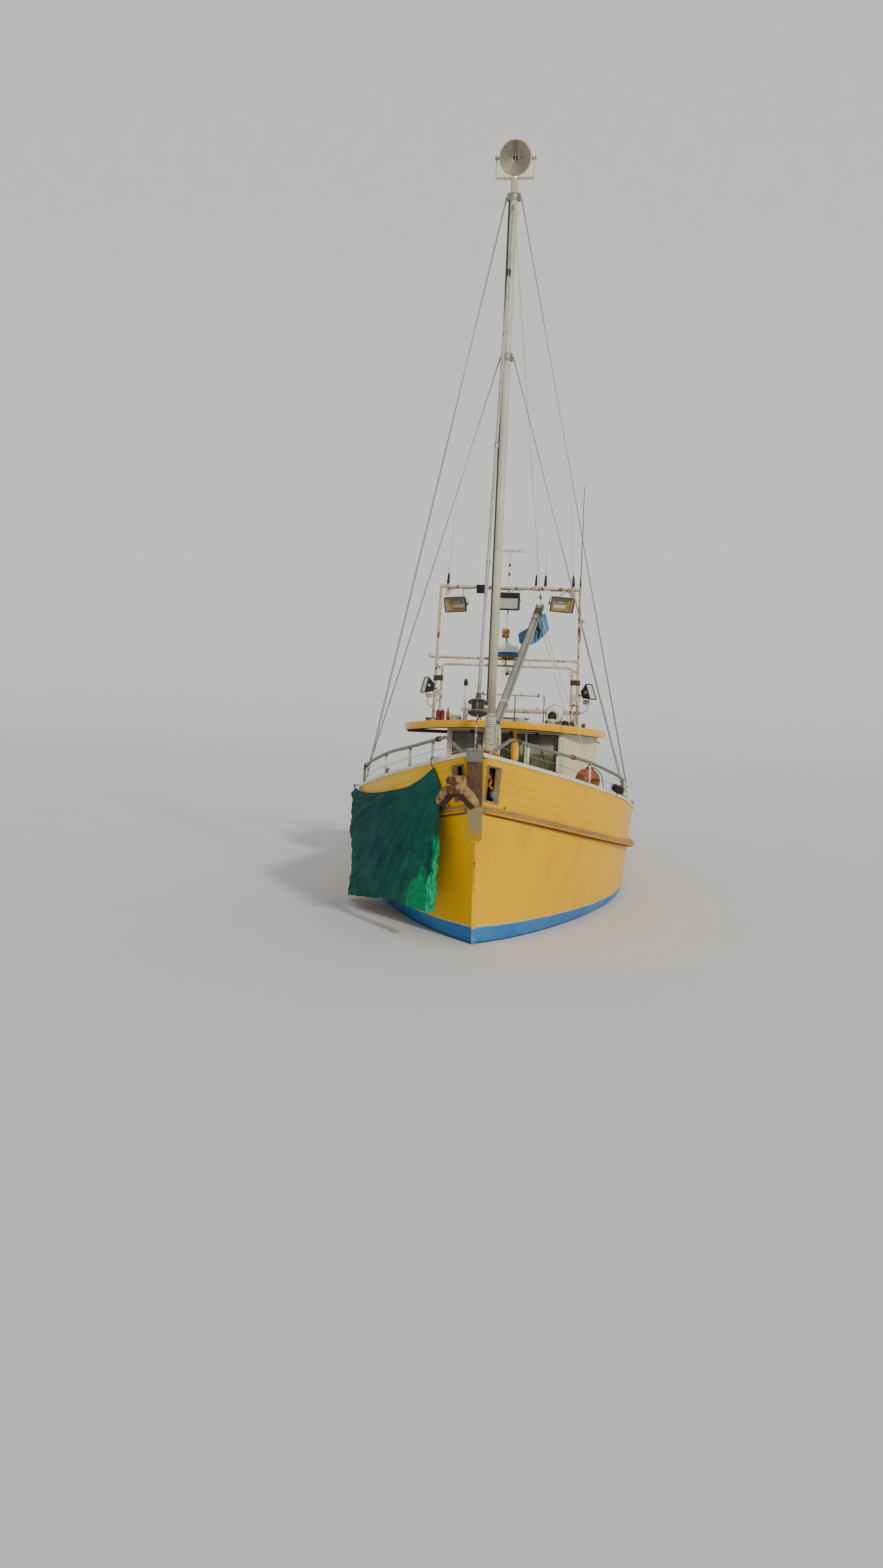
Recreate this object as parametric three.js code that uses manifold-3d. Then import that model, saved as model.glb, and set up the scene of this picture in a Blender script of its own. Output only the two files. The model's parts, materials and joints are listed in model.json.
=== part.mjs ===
// Fishing trawler, about 17 m over all. Millimetres.
// +X to the bow, +Y to port, +Z up; the origin is on the centreline amidships, at the waterline.
import * as THREE from "three";
import { mergeVertices } from "three/addons/utils/BufferGeometryUtils.js";
import Module from "manifold-3d";

const wasm = await Module();
wasm.setup();

// ---------------------------------------------------------------- sizes
const GAP = 0.3; // between touching pieces
const HULL = { bowX: 8070, sternX: -8300, keelHalf: 80 };
const BULWARK = { bowTopX: 8390, sternTopX: -8420, thick: 75 };
const CAP = { width: 160, thick: 55, overhang: 25, bowX: 8475 };
const STRAKE = { height: 118 };
const DECK = { edgeThick: 40, camber: 60, foreX: 7700, aftX: -8150 };
// the wheelhouse stands to port of the centreline, with a sheltered side deck under its roof to starboard
const WHEELHOUSE = { frontX: 2200, cornerX: 950, aftX: -1200, frontPort: 1190, starboard: 1030, half: 1880, wall: 50 };
const ROOF = { half: 2030, aftX: -1500, edgeZ: 2985, thick: 145, camber: 125 };
const MAST = { x: 5450, topZ: 11690, r: 65, tangZ: 11412, midTangZ: 8962 };
const GANTRY = { x: 950, footY: 1465, topY: 1402, topZ: 5930, r: 29, barZ: 4497, bar2Z: 4360, innerY: 1312 };
const BOOM = { z: 3000, headX: 1400, headY: 620, headZ: 5515, side: 120 };
const HOLD = { x: [-5100, -3100], y: 1200, bottom: -150 };
const HATCH = { x: [-4700, -3500], y: 600, height: 420, thick: 60 };
const ENGINE = { x: [-1000, 900], y: 480, z: [-880, 260] };
const DOOR = { y: [-860, -140], z: [1140, 2840], thick: 42 };
const PROP = { x: -6440, z: -1080, r: 540, hub: 95 };
const RUDDER = { stockX: -7060, z: [-1640, -420], r: 45 };

// Lines of the hull. Columns: x, value.
const deckZ = [[8070, 2070], [7600, 1953], [6800, 1766], [5800, 1560], [4400, 1332], [2900, 1150], [1400, 1012], [-100, 920], [-1600, 872], [-3600, 856], [-5600, 912], [-8300, 1080]];
const deckY = [[8070, 105], [7600, 510], [6800, 1110], [5800, 1690], [4400, 2225], [2900, 2460], [1400, 2530], [-100, 2550], [-2600, 2535], [-5100, 2400], [-8300, 2060]];
const waterY = [[7330, 28], [6700, 560], [5900, 1030], [4900, 1510], [3700, 1950], [2400, 2290], [1200, 2450], [-100, 2500], [-2600, 2460], [-5100, 2240], [-8200, 1720]];
const capZ = [[8520, 2826], [8000, 2713], [7100, 2541], [5900, 2313], [4400, 2033], [2900, 1790], [1400, 1642], [-100, 1550], [-1600, 1504], [-3600, 1492], [-5600, 1560], [-8420, 1740]];
const capY = [[8475, 120], [8000, 500], [7100, 1050], [5900, 1700], [4400, 2300], [2900, 2530], [1400, 2600], [-100, 2620], [-2600, 2600], [-5100, 2470], [-8420, 2110]];
const rabbetZ = [[6870, -1050], [6200, -1240], [5000, -1350], [3000, -1400], [0, -1420], [-2000, -1320], [-4000, -1020], [-5200, -740], [-6100, -520], [-7000, -320], [-8220, -80]];
const keelBottomZ = [[6450, -1420], [5000, -1600], [0, -1750], [-6100, -1850]];
// How full the sections are below the water. Columns: x, share of the water half-breadth low down, and higher up.
const fullness = [[7200, 0.3, 0.62], [6000, 0.32, 0.66], [4000, 0.42, 0.76], [1500, 0.56, 0.87], [-1500, 0.6, 0.9], [-4500, 0.5, 0.84], [-8220, 0.55, 0.85]];
// Stem. Columns: z, inner x, outer x, half-width.
const BOW_HALF = { mid: 28, high: 36, low: 44 }; // the planking's half-breadth where it meets the stem
const stemRows = [[-1050, 6870, 6990, 50], [-750, 7080, 7170, 44], [-400, 7222, 7300, 36], [0, 7330, 7400, 28], [1000, 7620, 7700, 28], [1530, 7842.9, 7890, 30], [1600, 7872.3, 7930, 98], [2070, 8070, 8170, 98], [2690, 8372, 8500, 102], [2780, 8412, 8550, 102]];

// ---------------------------------------------------------------- helpers
const V = (x, y, z) => new THREE.Vector3(x, y, z);
// Smooth value between the rows of a table, without overshoot.
function along(table, x, col = 1) {
  const rows = [...table].sort((a, b) => a[0] - b[0]), n = rows.length;
  if (x <= rows[0][0]) return rows[0][col];
  if (x >= rows[n - 1][0]) return rows[n - 1][col];
  const h = [], d = [];
  for (let i = 0; i < n - 1; i++) { h.push(rows[i + 1][0] - rows[i][0]); d.push((rows[i + 1][col] - rows[i][col]) / h[i]); }
  const m = rows.map((_, i) => {
    if (i === 0) return d[0];
    if (i === n - 1) return d[n - 2];
    if (d[i - 1] * d[i] <= 0) return 0;
    const a = 2 * h[i] + h[i - 1], b = h[i] + 2 * h[i - 1];
    return (a + b) / (a / d[i - 1] + b / d[i]);
  });
  let i = 0;
  while (x > rows[i + 1][0]) i++;
  const t = (x - rows[i][0]) / h[i], t2 = t * t, t3 = t2 * t;
  return rows[i][col] * (2 * t3 - 3 * t2 + 1) + m[i] * h[i] * (t3 - 2 * t2 + t) + rows[i + 1][col] * (3 * t2 - 2 * t3) + m[i + 1] * h[i] * (t3 - t2);
}
const lerp = (a, b, t) => a + (b - a) * t;
function toSolid(geometry, matrix) {
  const g = geometry.clone();
  if (matrix) g.applyMatrix4(matrix);
  g.deleteAttribute("normal");
  g.deleteAttribute("uv");
  const m = mergeVertices(g, 1e-3);
  const triVerts = new Uint32Array(m.index.array);
  return new wasm.Manifold(new wasm.Mesh({ numProp: 3, vertProperties: new Float32Array(m.attributes.position.array), triVerts }));
}
function fromTriangles(points, faces) {
  const g = new THREE.BufferGeometry();
  g.setAttribute("position", new THREE.BufferAttribute(new Float32Array(points.flat()), 3));
  let volume = 0;
  for (const [a, b, c] of faces) volume += V(...points[a]).dot(V(...points[b]).cross(V(...points[c])));
  g.setIndex((volume < 0 ? faces.map(([a, b, c]) => [a, c, b]) : faces).flat());
  return toSolid(g);
}
// Closed body through rings of the same number of points; the ends are closed by ear cutting seen along an axis.
function loft(rings, capAxis = 0, rungs = false) {
  const n = rings[0].length, points = rings.flat(), faces = [];
  for (let r = 0; r < rings.length - 1; r++)
    for (let i = 0; i < n; i++) {
      const a = r * n + i, b = r * n + ((i + 1) % n), c = a + n, d = b + n;
      if (rungs && i >= n / 2 && i < n - 1) faces.push([a, b, c], [b, d, c]);
      else faces.push([a, b, d], [a, d, c]);
    }
  const keep = [0, 1, 2].filter((k) => k !== capAxis);
  const cap = (base, flip) => {
    if (rungs) { // mirrored rings are closed by level strips from port to starboard
      for (let i = 0; i < n / 2 - 1; i++) {
        const a = base + i, b = base + i + 1, c = base + n - 2 - i, d = base + n - 1 - i;
        faces.push(...(flip ? [[a, b, c], [a, c, d]] : [[a, c, b], [a, d, c]]));
      }
      return;
    }
    const flat = rings[base / n].map((p) => new THREE.Vector2(p[keep[0]], p[keep[1]]));
    const reversed = THREE.ShapeUtils.isClockWise(flat);
    for (const t of THREE.ShapeUtils.triangulateShape(flat, [])) {
      const f = t.map((k) => base + k);
      // an outline may come back turned round; the side of each cap is set by the ring's own direction
      const area = (flat[t[1]].x - flat[t[0]].x) * (flat[t[2]].y - flat[t[0]].y) - (flat[t[1]].y - flat[t[0]].y) * (flat[t[2]].x - flat[t[0]].x);
      const ringWay = reversed ? -1 : 1, same = Math.sign(area) === ringWay;
      faces.push(same === flip ? f : [f[0], f[2], f[1]]);
    }
  };
  cap(0, false);
  cap((rings.length - 1) * n, true);
  return fromTriangles(points, faces);
}
// Upright prism over a plan outline.
function prism(plan, z0, z1) { return loft([plan.map(([x, y]) => [x, y, z0]), plan.map(([x, y]) => [x, y, z1])], 2); }
// Plate across the boat from an outline in the x-z plane.
function plate(outline, y0, y1) { return loft([outline.map(([x, z]) => [x, y0, z]), outline.map(([x, z]) => [x, y1, z])], 1); }
// Plate along the boat from an outline in the y-z plane.
function frame(outline, x0, x1) { return loft([outline.map(([y, z]) => [x0, y, z]), outline.map(([y, z]) => [x1, y, z])], 0); }
function box(x0, x1, y0, y1, z0, z1) {
  return toSolid(new THREE.BoxGeometry(x1 - x0, y1 - y0, z1 - z0), new THREE.Matrix4().makeTranslation((x0 + x1) / 2, (y0 + y1) / 2, (z0 + z1) / 2));
}
function turnTo(direction, up = V(0, 1, 0)) { return new THREE.Quaternion().setFromUnitVectors(up, direction.clone().normalize()); }
function rod(a, b, r, sides = 8, r2 = r) {
  const A = V(...a), B = V(...b), d = B.clone().sub(A);
  return toSolid(new THREE.CylinderGeometry(r2, r, d.length(), sides), new THREE.Matrix4().compose(A.clone().add(B).multiplyScalar(0.5), turnTo(d), V(1, 1, 1)));
}
function ball(c, r, w = 8, h = 6, scale = [1, 1, 1]) {
  return toSolid(new THREE.SphereGeometry(r, w, h), new THREE.Matrix4().compose(V(...c), new THREE.Quaternion(), V(...scale)));
}
// Turned shape: profile rows are [radius, distance along the axis], closed on the axis.
function turned(profile, centre, axis, sides = 16) {
  const g = new THREE.LatheGeometry(profile.map(([r, h]) => new THREE.Vector2(r, h)), sides);
  let s = toSolid(g, new THREE.Matrix4().compose(V(...centre), turnTo(V(...axis)), V(1, 1, 1)));
  return s.volume() < 0 ? toSolid(new THREE.LatheGeometry([...profile].reverse().map(([r, h]) => new THREE.Vector2(r, h)), sides), new THREE.Matrix4().compose(V(...centre), turnTo(V(...axis)), V(1, 1, 1))) : s;
}
// Pipe along a smooth curve.
function pipe(points, r, sides = 8, steps = 16) {
  const shape = new THREE.Shape(Array.from({ length: sides }, (_, i) => new THREE.Vector2(r * Math.cos((2 * Math.PI * i) / sides), r * Math.sin((2 * Math.PI * i) / sides))));
  const path = new THREE.CatmullRomCurve3(points.map((p) => V(...p)), false, "centripetal");
  return toSolid(new THREE.ExtrudeGeometry(shape, { steps, extrudePath: path, bevelEnabled: false }));
}
const union = (...list) => list.reduce((a, b) => a.add(b));
const mirrored = (rows) => rows.map(([x, y, ...rest]) => [x, -y, ...rest]);

const root = new THREE.Group();
const FINISH = {
  // colour, roughness, metalness
  hull: [0xf2b51a, 0.5, 0], blue: [0x2f62a6, 0.55, 0], cream: [0xece5cf, 0.5, 0], white: [0xe8e6de, 0.5, 0], yellow: [0xf4b91c, 0.45, 0],
  deck: [0x8a9190, 0.8, 0], wornwood: [0x8d8577, 0.85, 0], darkwood: [0x4a3324, 0.85, 0], galvanised: [0x9a9c98, 0.5, 0.7], rust: [0x9c7a55, 0.85, 0.2],
  silver: [0xc9c6bb, 0.4, 0.5], grey: [0x9b9892, 0.5, 0.2], wire: [0xb9b9b5, 0.4, 0.8], rustpipe: [0xc9bda4, 0.6, 0.3], lamp: [0xd8cfae, 0.4, 0.3], dark: [0x26282a, 0.6, 0.1],
  cloth: [0x0f6f55, 0.85, 0], orange: [0xd8552a, 0.6, 0], antifoul: [0x2c5c8f, 0.8, 0], bronze: [0xa8803a, 0.4, 0.9], net: [0x2c6b4a, 0.9, 0], seat: [0x2a3442, 0.7, 0], red: [0x9b2f26, 0.6, 0.1],
};
const materials = Object.fromEntries(Object.entries(FINISH).map(([k, [color, roughness, metalness]]) => [k, new THREE.MeshStandardMaterial({ color, roughness, metalness })]));
function add(name, solid, material) {
  const m = solid.getMesh(), g = new THREE.BufferGeometry(), n = m.numProp, p = new Float32Array(m.numVert * 3);
  for (let i = 0; i < m.numVert; i++) p.set(m.vertProperties.subarray(i * n, i * n + 3), i * 3);
  g.setAttribute("position", new THREE.BufferAttribute(p, 3));
  g.setIndex(new THREE.BufferAttribute(new Uint32Array(m.triVerts), 1));
  g.computeVertexNormals();
  const mesh = new THREE.Mesh(g, materials[material]);
  mesh.name = name;
  root.add(mesh);
  return mesh;
}

// ---------------------------------------------------------------- hull
const SHARES = [0, 0.03, 0.075, 0.13, 0.2, 0.28, 0.37, 0.48, 0.6, 0.72, 0.86, 1]; // stations as shares of each line's own length
const sternXs = { deck: HULL.sternX, mid: -8270, water: -8235, high: -8228, low: -8222, keel: -8220 };
const bow = { deck: [HULL.bowX, 2070], mid: [7620, 1000], water: [7330, 0], high: [7222, -400], low: [7080, -750], keel: [6870, -1050] };
const at = (bowX, sternX, share) => lerp(bowX, sternX, share);
function hullPoint(level, share) {
  const ends = level === "strake" ? "deck" : level;
  const x = at(bow[ends][0], sternXs[ends], share), blend = Math.max(0, 1 - share / 0.13);
  const rz = along(rabbetZ, x), wy = along(waterY, x), dy = along(deckY, x), dz = along(deckZ, x);
  if (level === "deck") return [x, dy, dz];
  if (level === "strake") {
    const d = hullPoint("deck", share), m = hullPoint("mid", share), t = STRAKE.height / Math.max(400, d[2] - m[2]);
    return d.map((v, k) => lerp(v, m[k], t));
  }
  if (level === "water") return [x, wy, 0];
  if (level === "mid") {
    const z = lerp(dz * 0.48, bow.mid[1], blend * blend);
    return [x, share === 0 ? BOW_HALF.mid : wy * 0.46 + dy * 0.54 + 25 * (1 - blend), z];
  }
  if (level === "keel") return [x, share === 0 ? 50 : HULL.keelHalf, rz];
  const [k, f] = level === "low" ? [1, 0.28] : [2, 0.62];
  const z = lerp(rz * (1 - f), bow[level][1], blend * blend);
  return [x, share === 0 ? BOW_HALF[level] : Math.max(HULL.keelHalf + 5, along(waterY, Math.min(x + (7330 - bow[level][0]) * blend, 7330)) * along(fullness, x, k)), z];
}
const LEVELS = ["deck", "strake", "mid", "water", "high", "low", "keel"];
const hullRings = SHARES.map((s) => {
  const port = LEVELS.map((l) => hullPoint(l, s));
  return [...port, ...mirrored([...port].reverse())];
});
const deckEdge = SHARES.map((s) => hullPoint("deck", s));
let hull = loft(hullRings, 0, true)
  .subtract(box(HOLD.x[0], HOLD.x[1], -HOLD.y, HOLD.y, HOLD.bottom, 2000))
  .subtract(box(ENGINE.x[0] - 250, ENGINE.x[1] + 250, -ENGINE.y - 220, ENGINE.y + 220, ENGINE.z[0] - 120, 2000));
add("hull", hull, "hull");
add("stem", loft(stemRows.map(([z, xi, xo, h]) => [[xi + GAP, -h, z], [xo, -h, z], [xo, h, z], [xi + GAP, h, z]]), 2), "hull");

// Keel: its top follows the rabbet, and a bar under the propeller carries the rudder's heel.
const keelTop = SHARES.map((s) => hullPoint("keel", s)).filter(([x]) => x > -6100).map(([x, , z]) => [x, z - GAP]);
const topAt = (x) => {
  const ks = SHARES.map((s) => hullPoint("keel", s));
  for (let i = 0; i < ks.length - 1; i++) if (x <= ks[i][0] && x >= ks[i + 1][0]) return lerp(ks[i][2], ks[i + 1][2], (x - ks[i][0]) / (ks[i + 1][0] - ks[i][0])) - GAP;
};
const keelOutline = [[6990, -1050 - GAP], ...keelTop, [-6100, topAt(-6100)], [-6100, -1730], [-7330, -1730], [-7330, -1850], [-6100, -1850], [0, -1750], [5000, -1600], [6450, -1420], [6800, -1250]];
add("keel", plate(keelOutline, -78, 78), "antifoul");

// Deck: planked, cambered to a ridge on the centreline.
const deckShares = [[DECK.foreX, 0], ...deckEdge.filter(([x]) => x < DECK.foreX - 50 && x > DECK.aftX + 50).map(([x]) => [x, 0]), [DECK.aftX, 0]].map(([x]) => x);
const edgeAt = (x) => {
  for (let i = 0; i < deckEdge.length - 1; i++)
    if (x <= deckEdge[i][0] && x >= deckEdge[i + 1][0]) {
      const t = (x - deckEdge[i][0]) / (deckEdge[i + 1][0] - deckEdge[i][0]);
      return [lerp(deckEdge[i][1], deckEdge[i + 1][1], t), lerp(deckEdge[i][2], deckEdge[i + 1][2], t)];
    }
};
const deckHalf = (x) => edgeAt(x)[0] - BULWARK.thick - 4;
const deckSection = (x, low, rise) => {
  const [, z] = edgeAt(x), h = deckHalf(x);
  return [[x, h, z + low], [x, h, z + DECK.edgeThick + rise], [x, 0, z + DECK.edgeThick + DECK.camber + rise], [x, -h, z + DECK.edgeThick + rise], [x, -h, z + low]];
};
const deckCut = loft(deckShares.map((x) => {
  const [, z] = edgeAt(x), h = deckHalf(x);
  return [[x, h, z - 1500], [x, h, z + DECK.edgeThick + GAP], [x, 0, z + DECK.edgeThick + DECK.camber + GAP], [x, -h, z + DECK.edgeThick + GAP], [x, -h, z - 1500]];
}));
const onDeck = (s) => s.subtract(deckCut);
const deckTop = (x, y = 0) => { const [, z] = edgeAt(x); return z + DECK.edgeThick + DECK.camber * (1 - Math.abs(y) / deckHalf(x)); };
add("main_deck", loft(deckShares.map((x) => deckSection(x, GAP, 0))).subtract(box(HATCH.x[0], HATCH.x[1], -HATCH.y, HATCH.y, 0, 2000)), "deck");

// Bulwarks: walls on the hull's edge, from the stem to the stern corners.
const bulwarkShares = SHARES;
const bulwarkOuter = bulwarkShares.map((s) => {
  const [x0, y0, z0] = hullPoint("deck", s), x1 = at(BULWARK.bowTopX, BULWARK.sternTopX, s);
  return { low: [x0, y0, z0 + GAP], high: [x1, along(capY, x1) - CAP.overhang, along(capZ, x1) - CAP.thick - GAP] };
});
const bulwarkWall = loft(bulwarkOuter.map(({ low, high }, i) => {
  const t = BULWARK.thick, y0 = i === 0 ? 110.5 : 0;
  const lo = Math.max(low[1], y0), hi = Math.max(high[1], y0);
  return [[low[0], lo, low[2]], [high[0], hi, high[2]], [high[0], Math.max(hi - t, i === 0 ? 28 : hi - t), high[2]], [low[0], Math.max(lo - t, i === 0 ? 28 : lo - t), low[2]]];
}));
// Opening beside the stem on each side, for the anchor gear.
const hawse = plate([[8105, 2150], [8352, 2665], [8142, 2665], [7900, 2150]], -2000, 2000);
const bulwarkPort = bulwarkWall.subtract(hawse);
add("bulwark_port", bulwarkPort, "hull");
const mirrorY = (s) => s.mirror([0, 1, 0]);
add("bulwark_starboard", mirrorY(bulwarkPort), "hull");
const sternLow = bulwarkOuter.at(-1).low, sternHigh = bulwarkOuter.at(-1).high, inset = BULWARK.thick + 2;
const sternWall = loft([-1, 1].map((side) => [[sternLow[0] + 2, side * (sternLow[1] - inset), sternLow[2]], [sternHigh[0] + 2, side * (sternHigh[1] - inset), sternHigh[2]],
  [sternHigh[0] + 70, side * (sternHigh[1] - inset), sternHigh[2]], [sternLow[0] + 70, side * (sternLow[1] - inset), sternLow[2]]]), 1);

// Cap rail: a flat timber along the bulwark's top.
const capRow = bulwarkShares.map((s) => {
  const x = at(CAP.bowX, BULWARK.sternTopX, s), z = along(capZ, x), y = along(capY, x);
  return [x, y, z];
});
// the cap's underside stays clear of the bulwark's own top line
const capSection = ([x, y, z], i, rise = 0, drop = CAP.thick) => {
  const inner = Math.max(y - CAP.width, 12);
  return [[x, y, z - drop], [x, y, z + rise], [x, inner, z + rise], [x, inner, z - drop]];
};
const capSolid = loft(capRow.map((r, i) => capSection(r, i)));
const wallTop = (grow) => loft(bulwarkOuter.map(({ low, high }) => [[low[0], low[1] + grow, low[2]], [high[0], high[1] + grow, high[2] + GAP], [high[0], high[1] - BULWARK.thick - grow, high[2] + GAP], [low[0], low[1] - BULWARK.thick - grow, low[2]]]));
const capBelow = capSolid.translate([0, 0, -GAP]);
add("bulwark_stern", sternWall.subtract(capBelow).subtract(mirrorY(capBelow)), "hull");
const capPort = capSolid.subtract(wallTop(1)).subtract(box(8380, 8700, -200, 111, 2000, 3200));
const biggest = (s) => s.decompose().sort((a, b) => b.volume() - a.volume())[0];
add("cap_rail_port", biggest(capPort), "white");
add("cap_rail_starboard", mirrorY(biggest(capPort)), "white");
const [capEndX, capEndY, capEndZ] = capRow.at(-1);
add("cap_rail_stern", box(capEndX - 20, capEndX + 140, -(capEndY - CAP.width - 1), capEndY - CAP.width - 1, capEndZ - CAP.thick + 1, capEndZ), "white");

// Rubbing strakes along the deck line. Proud of the hull by these amounts. Columns: x, proud.
const strakeProud = [[8070, 60], [7000, 95], [5000, 115], [0, 120], [-8300, 110]];
const strakeEnds = ["deck", "strake"].map((level) => SHARES.map((s) => hullPoint(level, s)));
for (const row of strakeEnds) row[0] = row[0].map((v, k) => lerp(v, row[1][k], 0.008)); // just aft of the stem
const strakeRings = strakeEnds[0].map((d, i) => {
  const low = strakeEnds[1][i], p = along(strakeProud, d[0]), on = (t, proud) => [lerp(d[0], low[0], t), lerp(d[1], low[1], t) + proud, lerp(d[2], low[2], t)];
  return [on(1, GAP), on(1, p - 35), on(0.82, p), on(0.3, p), on(0, p - 20), on(0, GAP)];
});
const strakePort = loft(strakeRings);
add("rubbing_strake_port", strakePort, "wornwood");
add("rubbing_strake_starboard", mirrorY(strakePort), "wornwood");

// ---------------------------------------------------------------- bow
add("stemhead_fitting", union(
  plate([[8552.5, 2690], [8572, 2692], [8632, 2835], [8420, 2850], [8420, 2835], [8585, 2822]], -108, 108),
  plate([[8415, 2780.5], [8585, 2780.5], [8600, 2845], [8430, 2860]], -100, 100),
  plate([[8535, 2850], [8595, 2850], [8580, 2905], [8550, 2905]], -12, 12),
), "galvanised");
const crown = [8510, -232, 2371];
add("anchor", union(
  toSolid(new THREE.BoxGeometry(190, 275, 235), new THREE.Matrix4().compose(V(...crown), new THREE.Quaternion().setFromEuler(new THREE.Euler(0.05, 0.1, 0.06)), V(1, 1, 1))),
  rod([8480, -235, 2371], [8215, -225, 2440], 38, 8),
  pipe([[8490, -150, 2310], [8450, -30, 2210], [8370, 55, 2085]], 52, 6, 5),
  pipe([[8490, -310, 2310], [8410, -410, 2220], [8340, -500, 2095]], 52, 6, 5),
  rod([8470, -150, 2250], [8460, -310, 2245], 60, 8),
), "rust");
// Pipe rails over the bow, one each side. Columns: x, height above the cap.
const railRows = [[7950, 290], [7600, 295], [6880, 307], [5930, 338], [5000, 322], [4400, 305]];
const capTopAt = (x) => {
  for (let i = 0; i < capRow.length - 1; i++) if (x <= capRow[i][0] && x >= capRow[i + 1][0]) return lerp(capRow[i][2], capRow[i + 1][2], (x - capRow[i][0]) / (capRow[i + 1][0] - capRow[i][0]));
};
const capYAt = (x) => {
  for (let i = 0; i < capRow.length - 1; i++) if (x <= capRow[i][0] && x >= capRow[i + 1][0]) return lerp(capRow[i][1], capRow[i + 1][1], (x - capRow[i][0]) / (capRow[i + 1][0] - capRow[i][0]));
};
const RAIL_R = 24, railTopZ = (x, h) => along(capZ, x) + h;
const railPoints = railRows.map(([x, h]) => [x, capYAt(x) - 85, railTopZ(x, h)]);
const footAt = (x) => [x, capYAt(x) - 85, capTopAt(x) + 1];
const stanchionXs = [7600, 6880, 5930];
const railPort = union(
  pipe(railPoints, RAIL_R, 8, 14),
  rod(footAt(8320), railPoints[0], RAIL_R, 8),
  ball(railPoints[0], RAIL_R * 1.02, 8, 6),
  ...stanchionXs.map((x) => { const row = railRows.find((r) => r[0] === x); return rod(footAt(x), [x, capYAt(x) - 85, railTopZ(x, row[1])], 21, 8); }),
  rod(footAt(railRows.at(-1)[0]), railPoints.at(-1), RAIL_R, 8),
  ball(railPoints.at(-1), RAIL_R * 1.02, 8, 6),
);
const capTopCut = loft(capRow.map((r, i) => capSection(r, i, GAP, 900)));
const onCap = (s) => s.subtract(capTopCut);
add("bow_rail_port", biggest(onCap(railPort)), "galvanised");
add("bow_rail_starboard", mirrorY(biggest(onCap(railPort))), "galvanised");

// Windlass: two cheeks with a horizontal drum.
const WX = 6450, WZ = deckTop(6450) + 360;
add("windlass_frame", onDeck(union(
  box(WX - 230, WX + 230, -330, 330, deckTop(WX + 230) - 60, deckTop(WX) + 60),
  plate([[WX - 170, deckTop(WX) + 20], [WX + 170, deckTop(WX) + 20], [WX + 70, WZ + 70], [WX - 70, WZ + 70]], -300, -262),
  plate([[WX - 170, deckTop(WX) + 20], [WX + 170, deckTop(WX) + 20], [WX + 70, WZ + 70], [WX - 70, WZ + 70]], 262, 300),
)).subtract(rod([WX, -400, WZ], [WX, 400, WZ], 36, 16)), "grey");
add("windlass_drum", turned([[0, -450], [85, -450], [105, -440], [60, -400], [60, -330], [95, -312], [30, -308], [30, -250], [150, -246], [150, -225], [85, -220], [85, 220], [150, 225], [150, 246], [30, 250], [30, 308], [95, 312], [60, 330], [60, 400], [105, 440], [85, 450], [0, 450]], [WX, 0, WZ], [0, 1, 0], 16), "rust");
add("net_float", union(ball([4800, 1610, 2320], 205, 14, 10), rod([4800, 1610, 2510], [4800, 1610, 2565], 22, 8)), "orange");

// ---------------------------------------------------------------- mast and rigging
const LIFT_Z = 11340; // upper end of the topping lift, on the line of the gooseneck's pin
const mastTube = union(
  rod([MAST.x, 0, deckTop(MAST.x) - 90], [MAST.x, 0, MAST.topZ], MAST.r, 12, MAST.r - 5),
  onDeck(box(MAST.x - 150, MAST.x + 150, -150, 150, deckTop(MAST.x) - 40, deckTop(MAST.x) + 45)),
  box(MAST.x - 30, MAST.x + 30, -105, 105, MAST.tangZ - 30, MAST.tangZ + 30),
  box(MAST.x - 25, MAST.x + 25, -95, 95, MAST.midTangZ - 22, MAST.midTangZ + 23),
  rod([MAST.x - 40, 0, BOOM.z - 150], [MAST.x - 130, 0, BOOM.z - 150], 30, 8),
  box(MAST.x - 150, MAST.x - 40, -16, 16, LIFT_Z + 26, LIFT_Z + 42),
);
const GOOSE = { x: MAST.x - 125 };
const mastGoose = union(
  box(GOOSE.x - 45, GOOSE.x + 100, -50, 50, BOOM.z - 125, BOOM.z - 95),
  box(GOOSE.x - 45, GOOSE.x + 100, -50, 50, BOOM.z + 95, BOOM.z + 125),
).subtract(rod([GOOSE.x, 0, BOOM.z - 200], [GOOSE.x, 0, BOOM.z + 200], 17, 12));
add("mast", onDeck(biggest(union(mastTube, mastGoose).subtract(rod([GOOSE.x, 0, BOOM.z - 200], [GOOSE.x, 0, BOOM.z + 200], 17, 12)))), "silver");
// Searchlight at the masthead: the yoke turns on the mast, the lamp tilts in the yoke.
const LAMP = { x: MAST.x, z: 12005, r: 242, down: 20 };
add("searchlight_yoke", union(
  rod([MAST.x, 0, MAST.topZ + 3], [MAST.x, 0, MAST.topZ + 27], 45, 12),
  box(MAST.x - 30, MAST.x + 30, -304, 304, MAST.topZ + 5, MAST.topZ + 26),
  box(MAST.x - 30, MAST.x + 30, -304, -288, MAST.topZ + 5, LAMP.z + 40),
  box(MAST.x - 30, MAST.x + 30, 288, 304, MAST.topZ + 5, LAMP.z + 40),
).subtract(rod([MAST.x, -340, LAMP.z], [MAST.x, 340, LAMP.z], 13, 12)), "dark");
add("searchlight", union(
  turned([[0, -175], [85, -175], [155, -128], [225, -12], [LAMP.r, 68], [LAMP.r + 8, 78], [LAMP.r + 8, 112], [225, 118], [0, 128]], [LAMP.x, 0, LAMP.z], [Math.cos(THREE.MathUtils.degToRad(LAMP.down)), 0, -Math.sin(THREE.MathUtils.degToRad(LAMP.down))], 24),
  rod([LAMP.x, -318, LAMP.z], [LAMP.x, 318, LAMP.z], 11, 8),
), "lamp");
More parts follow.
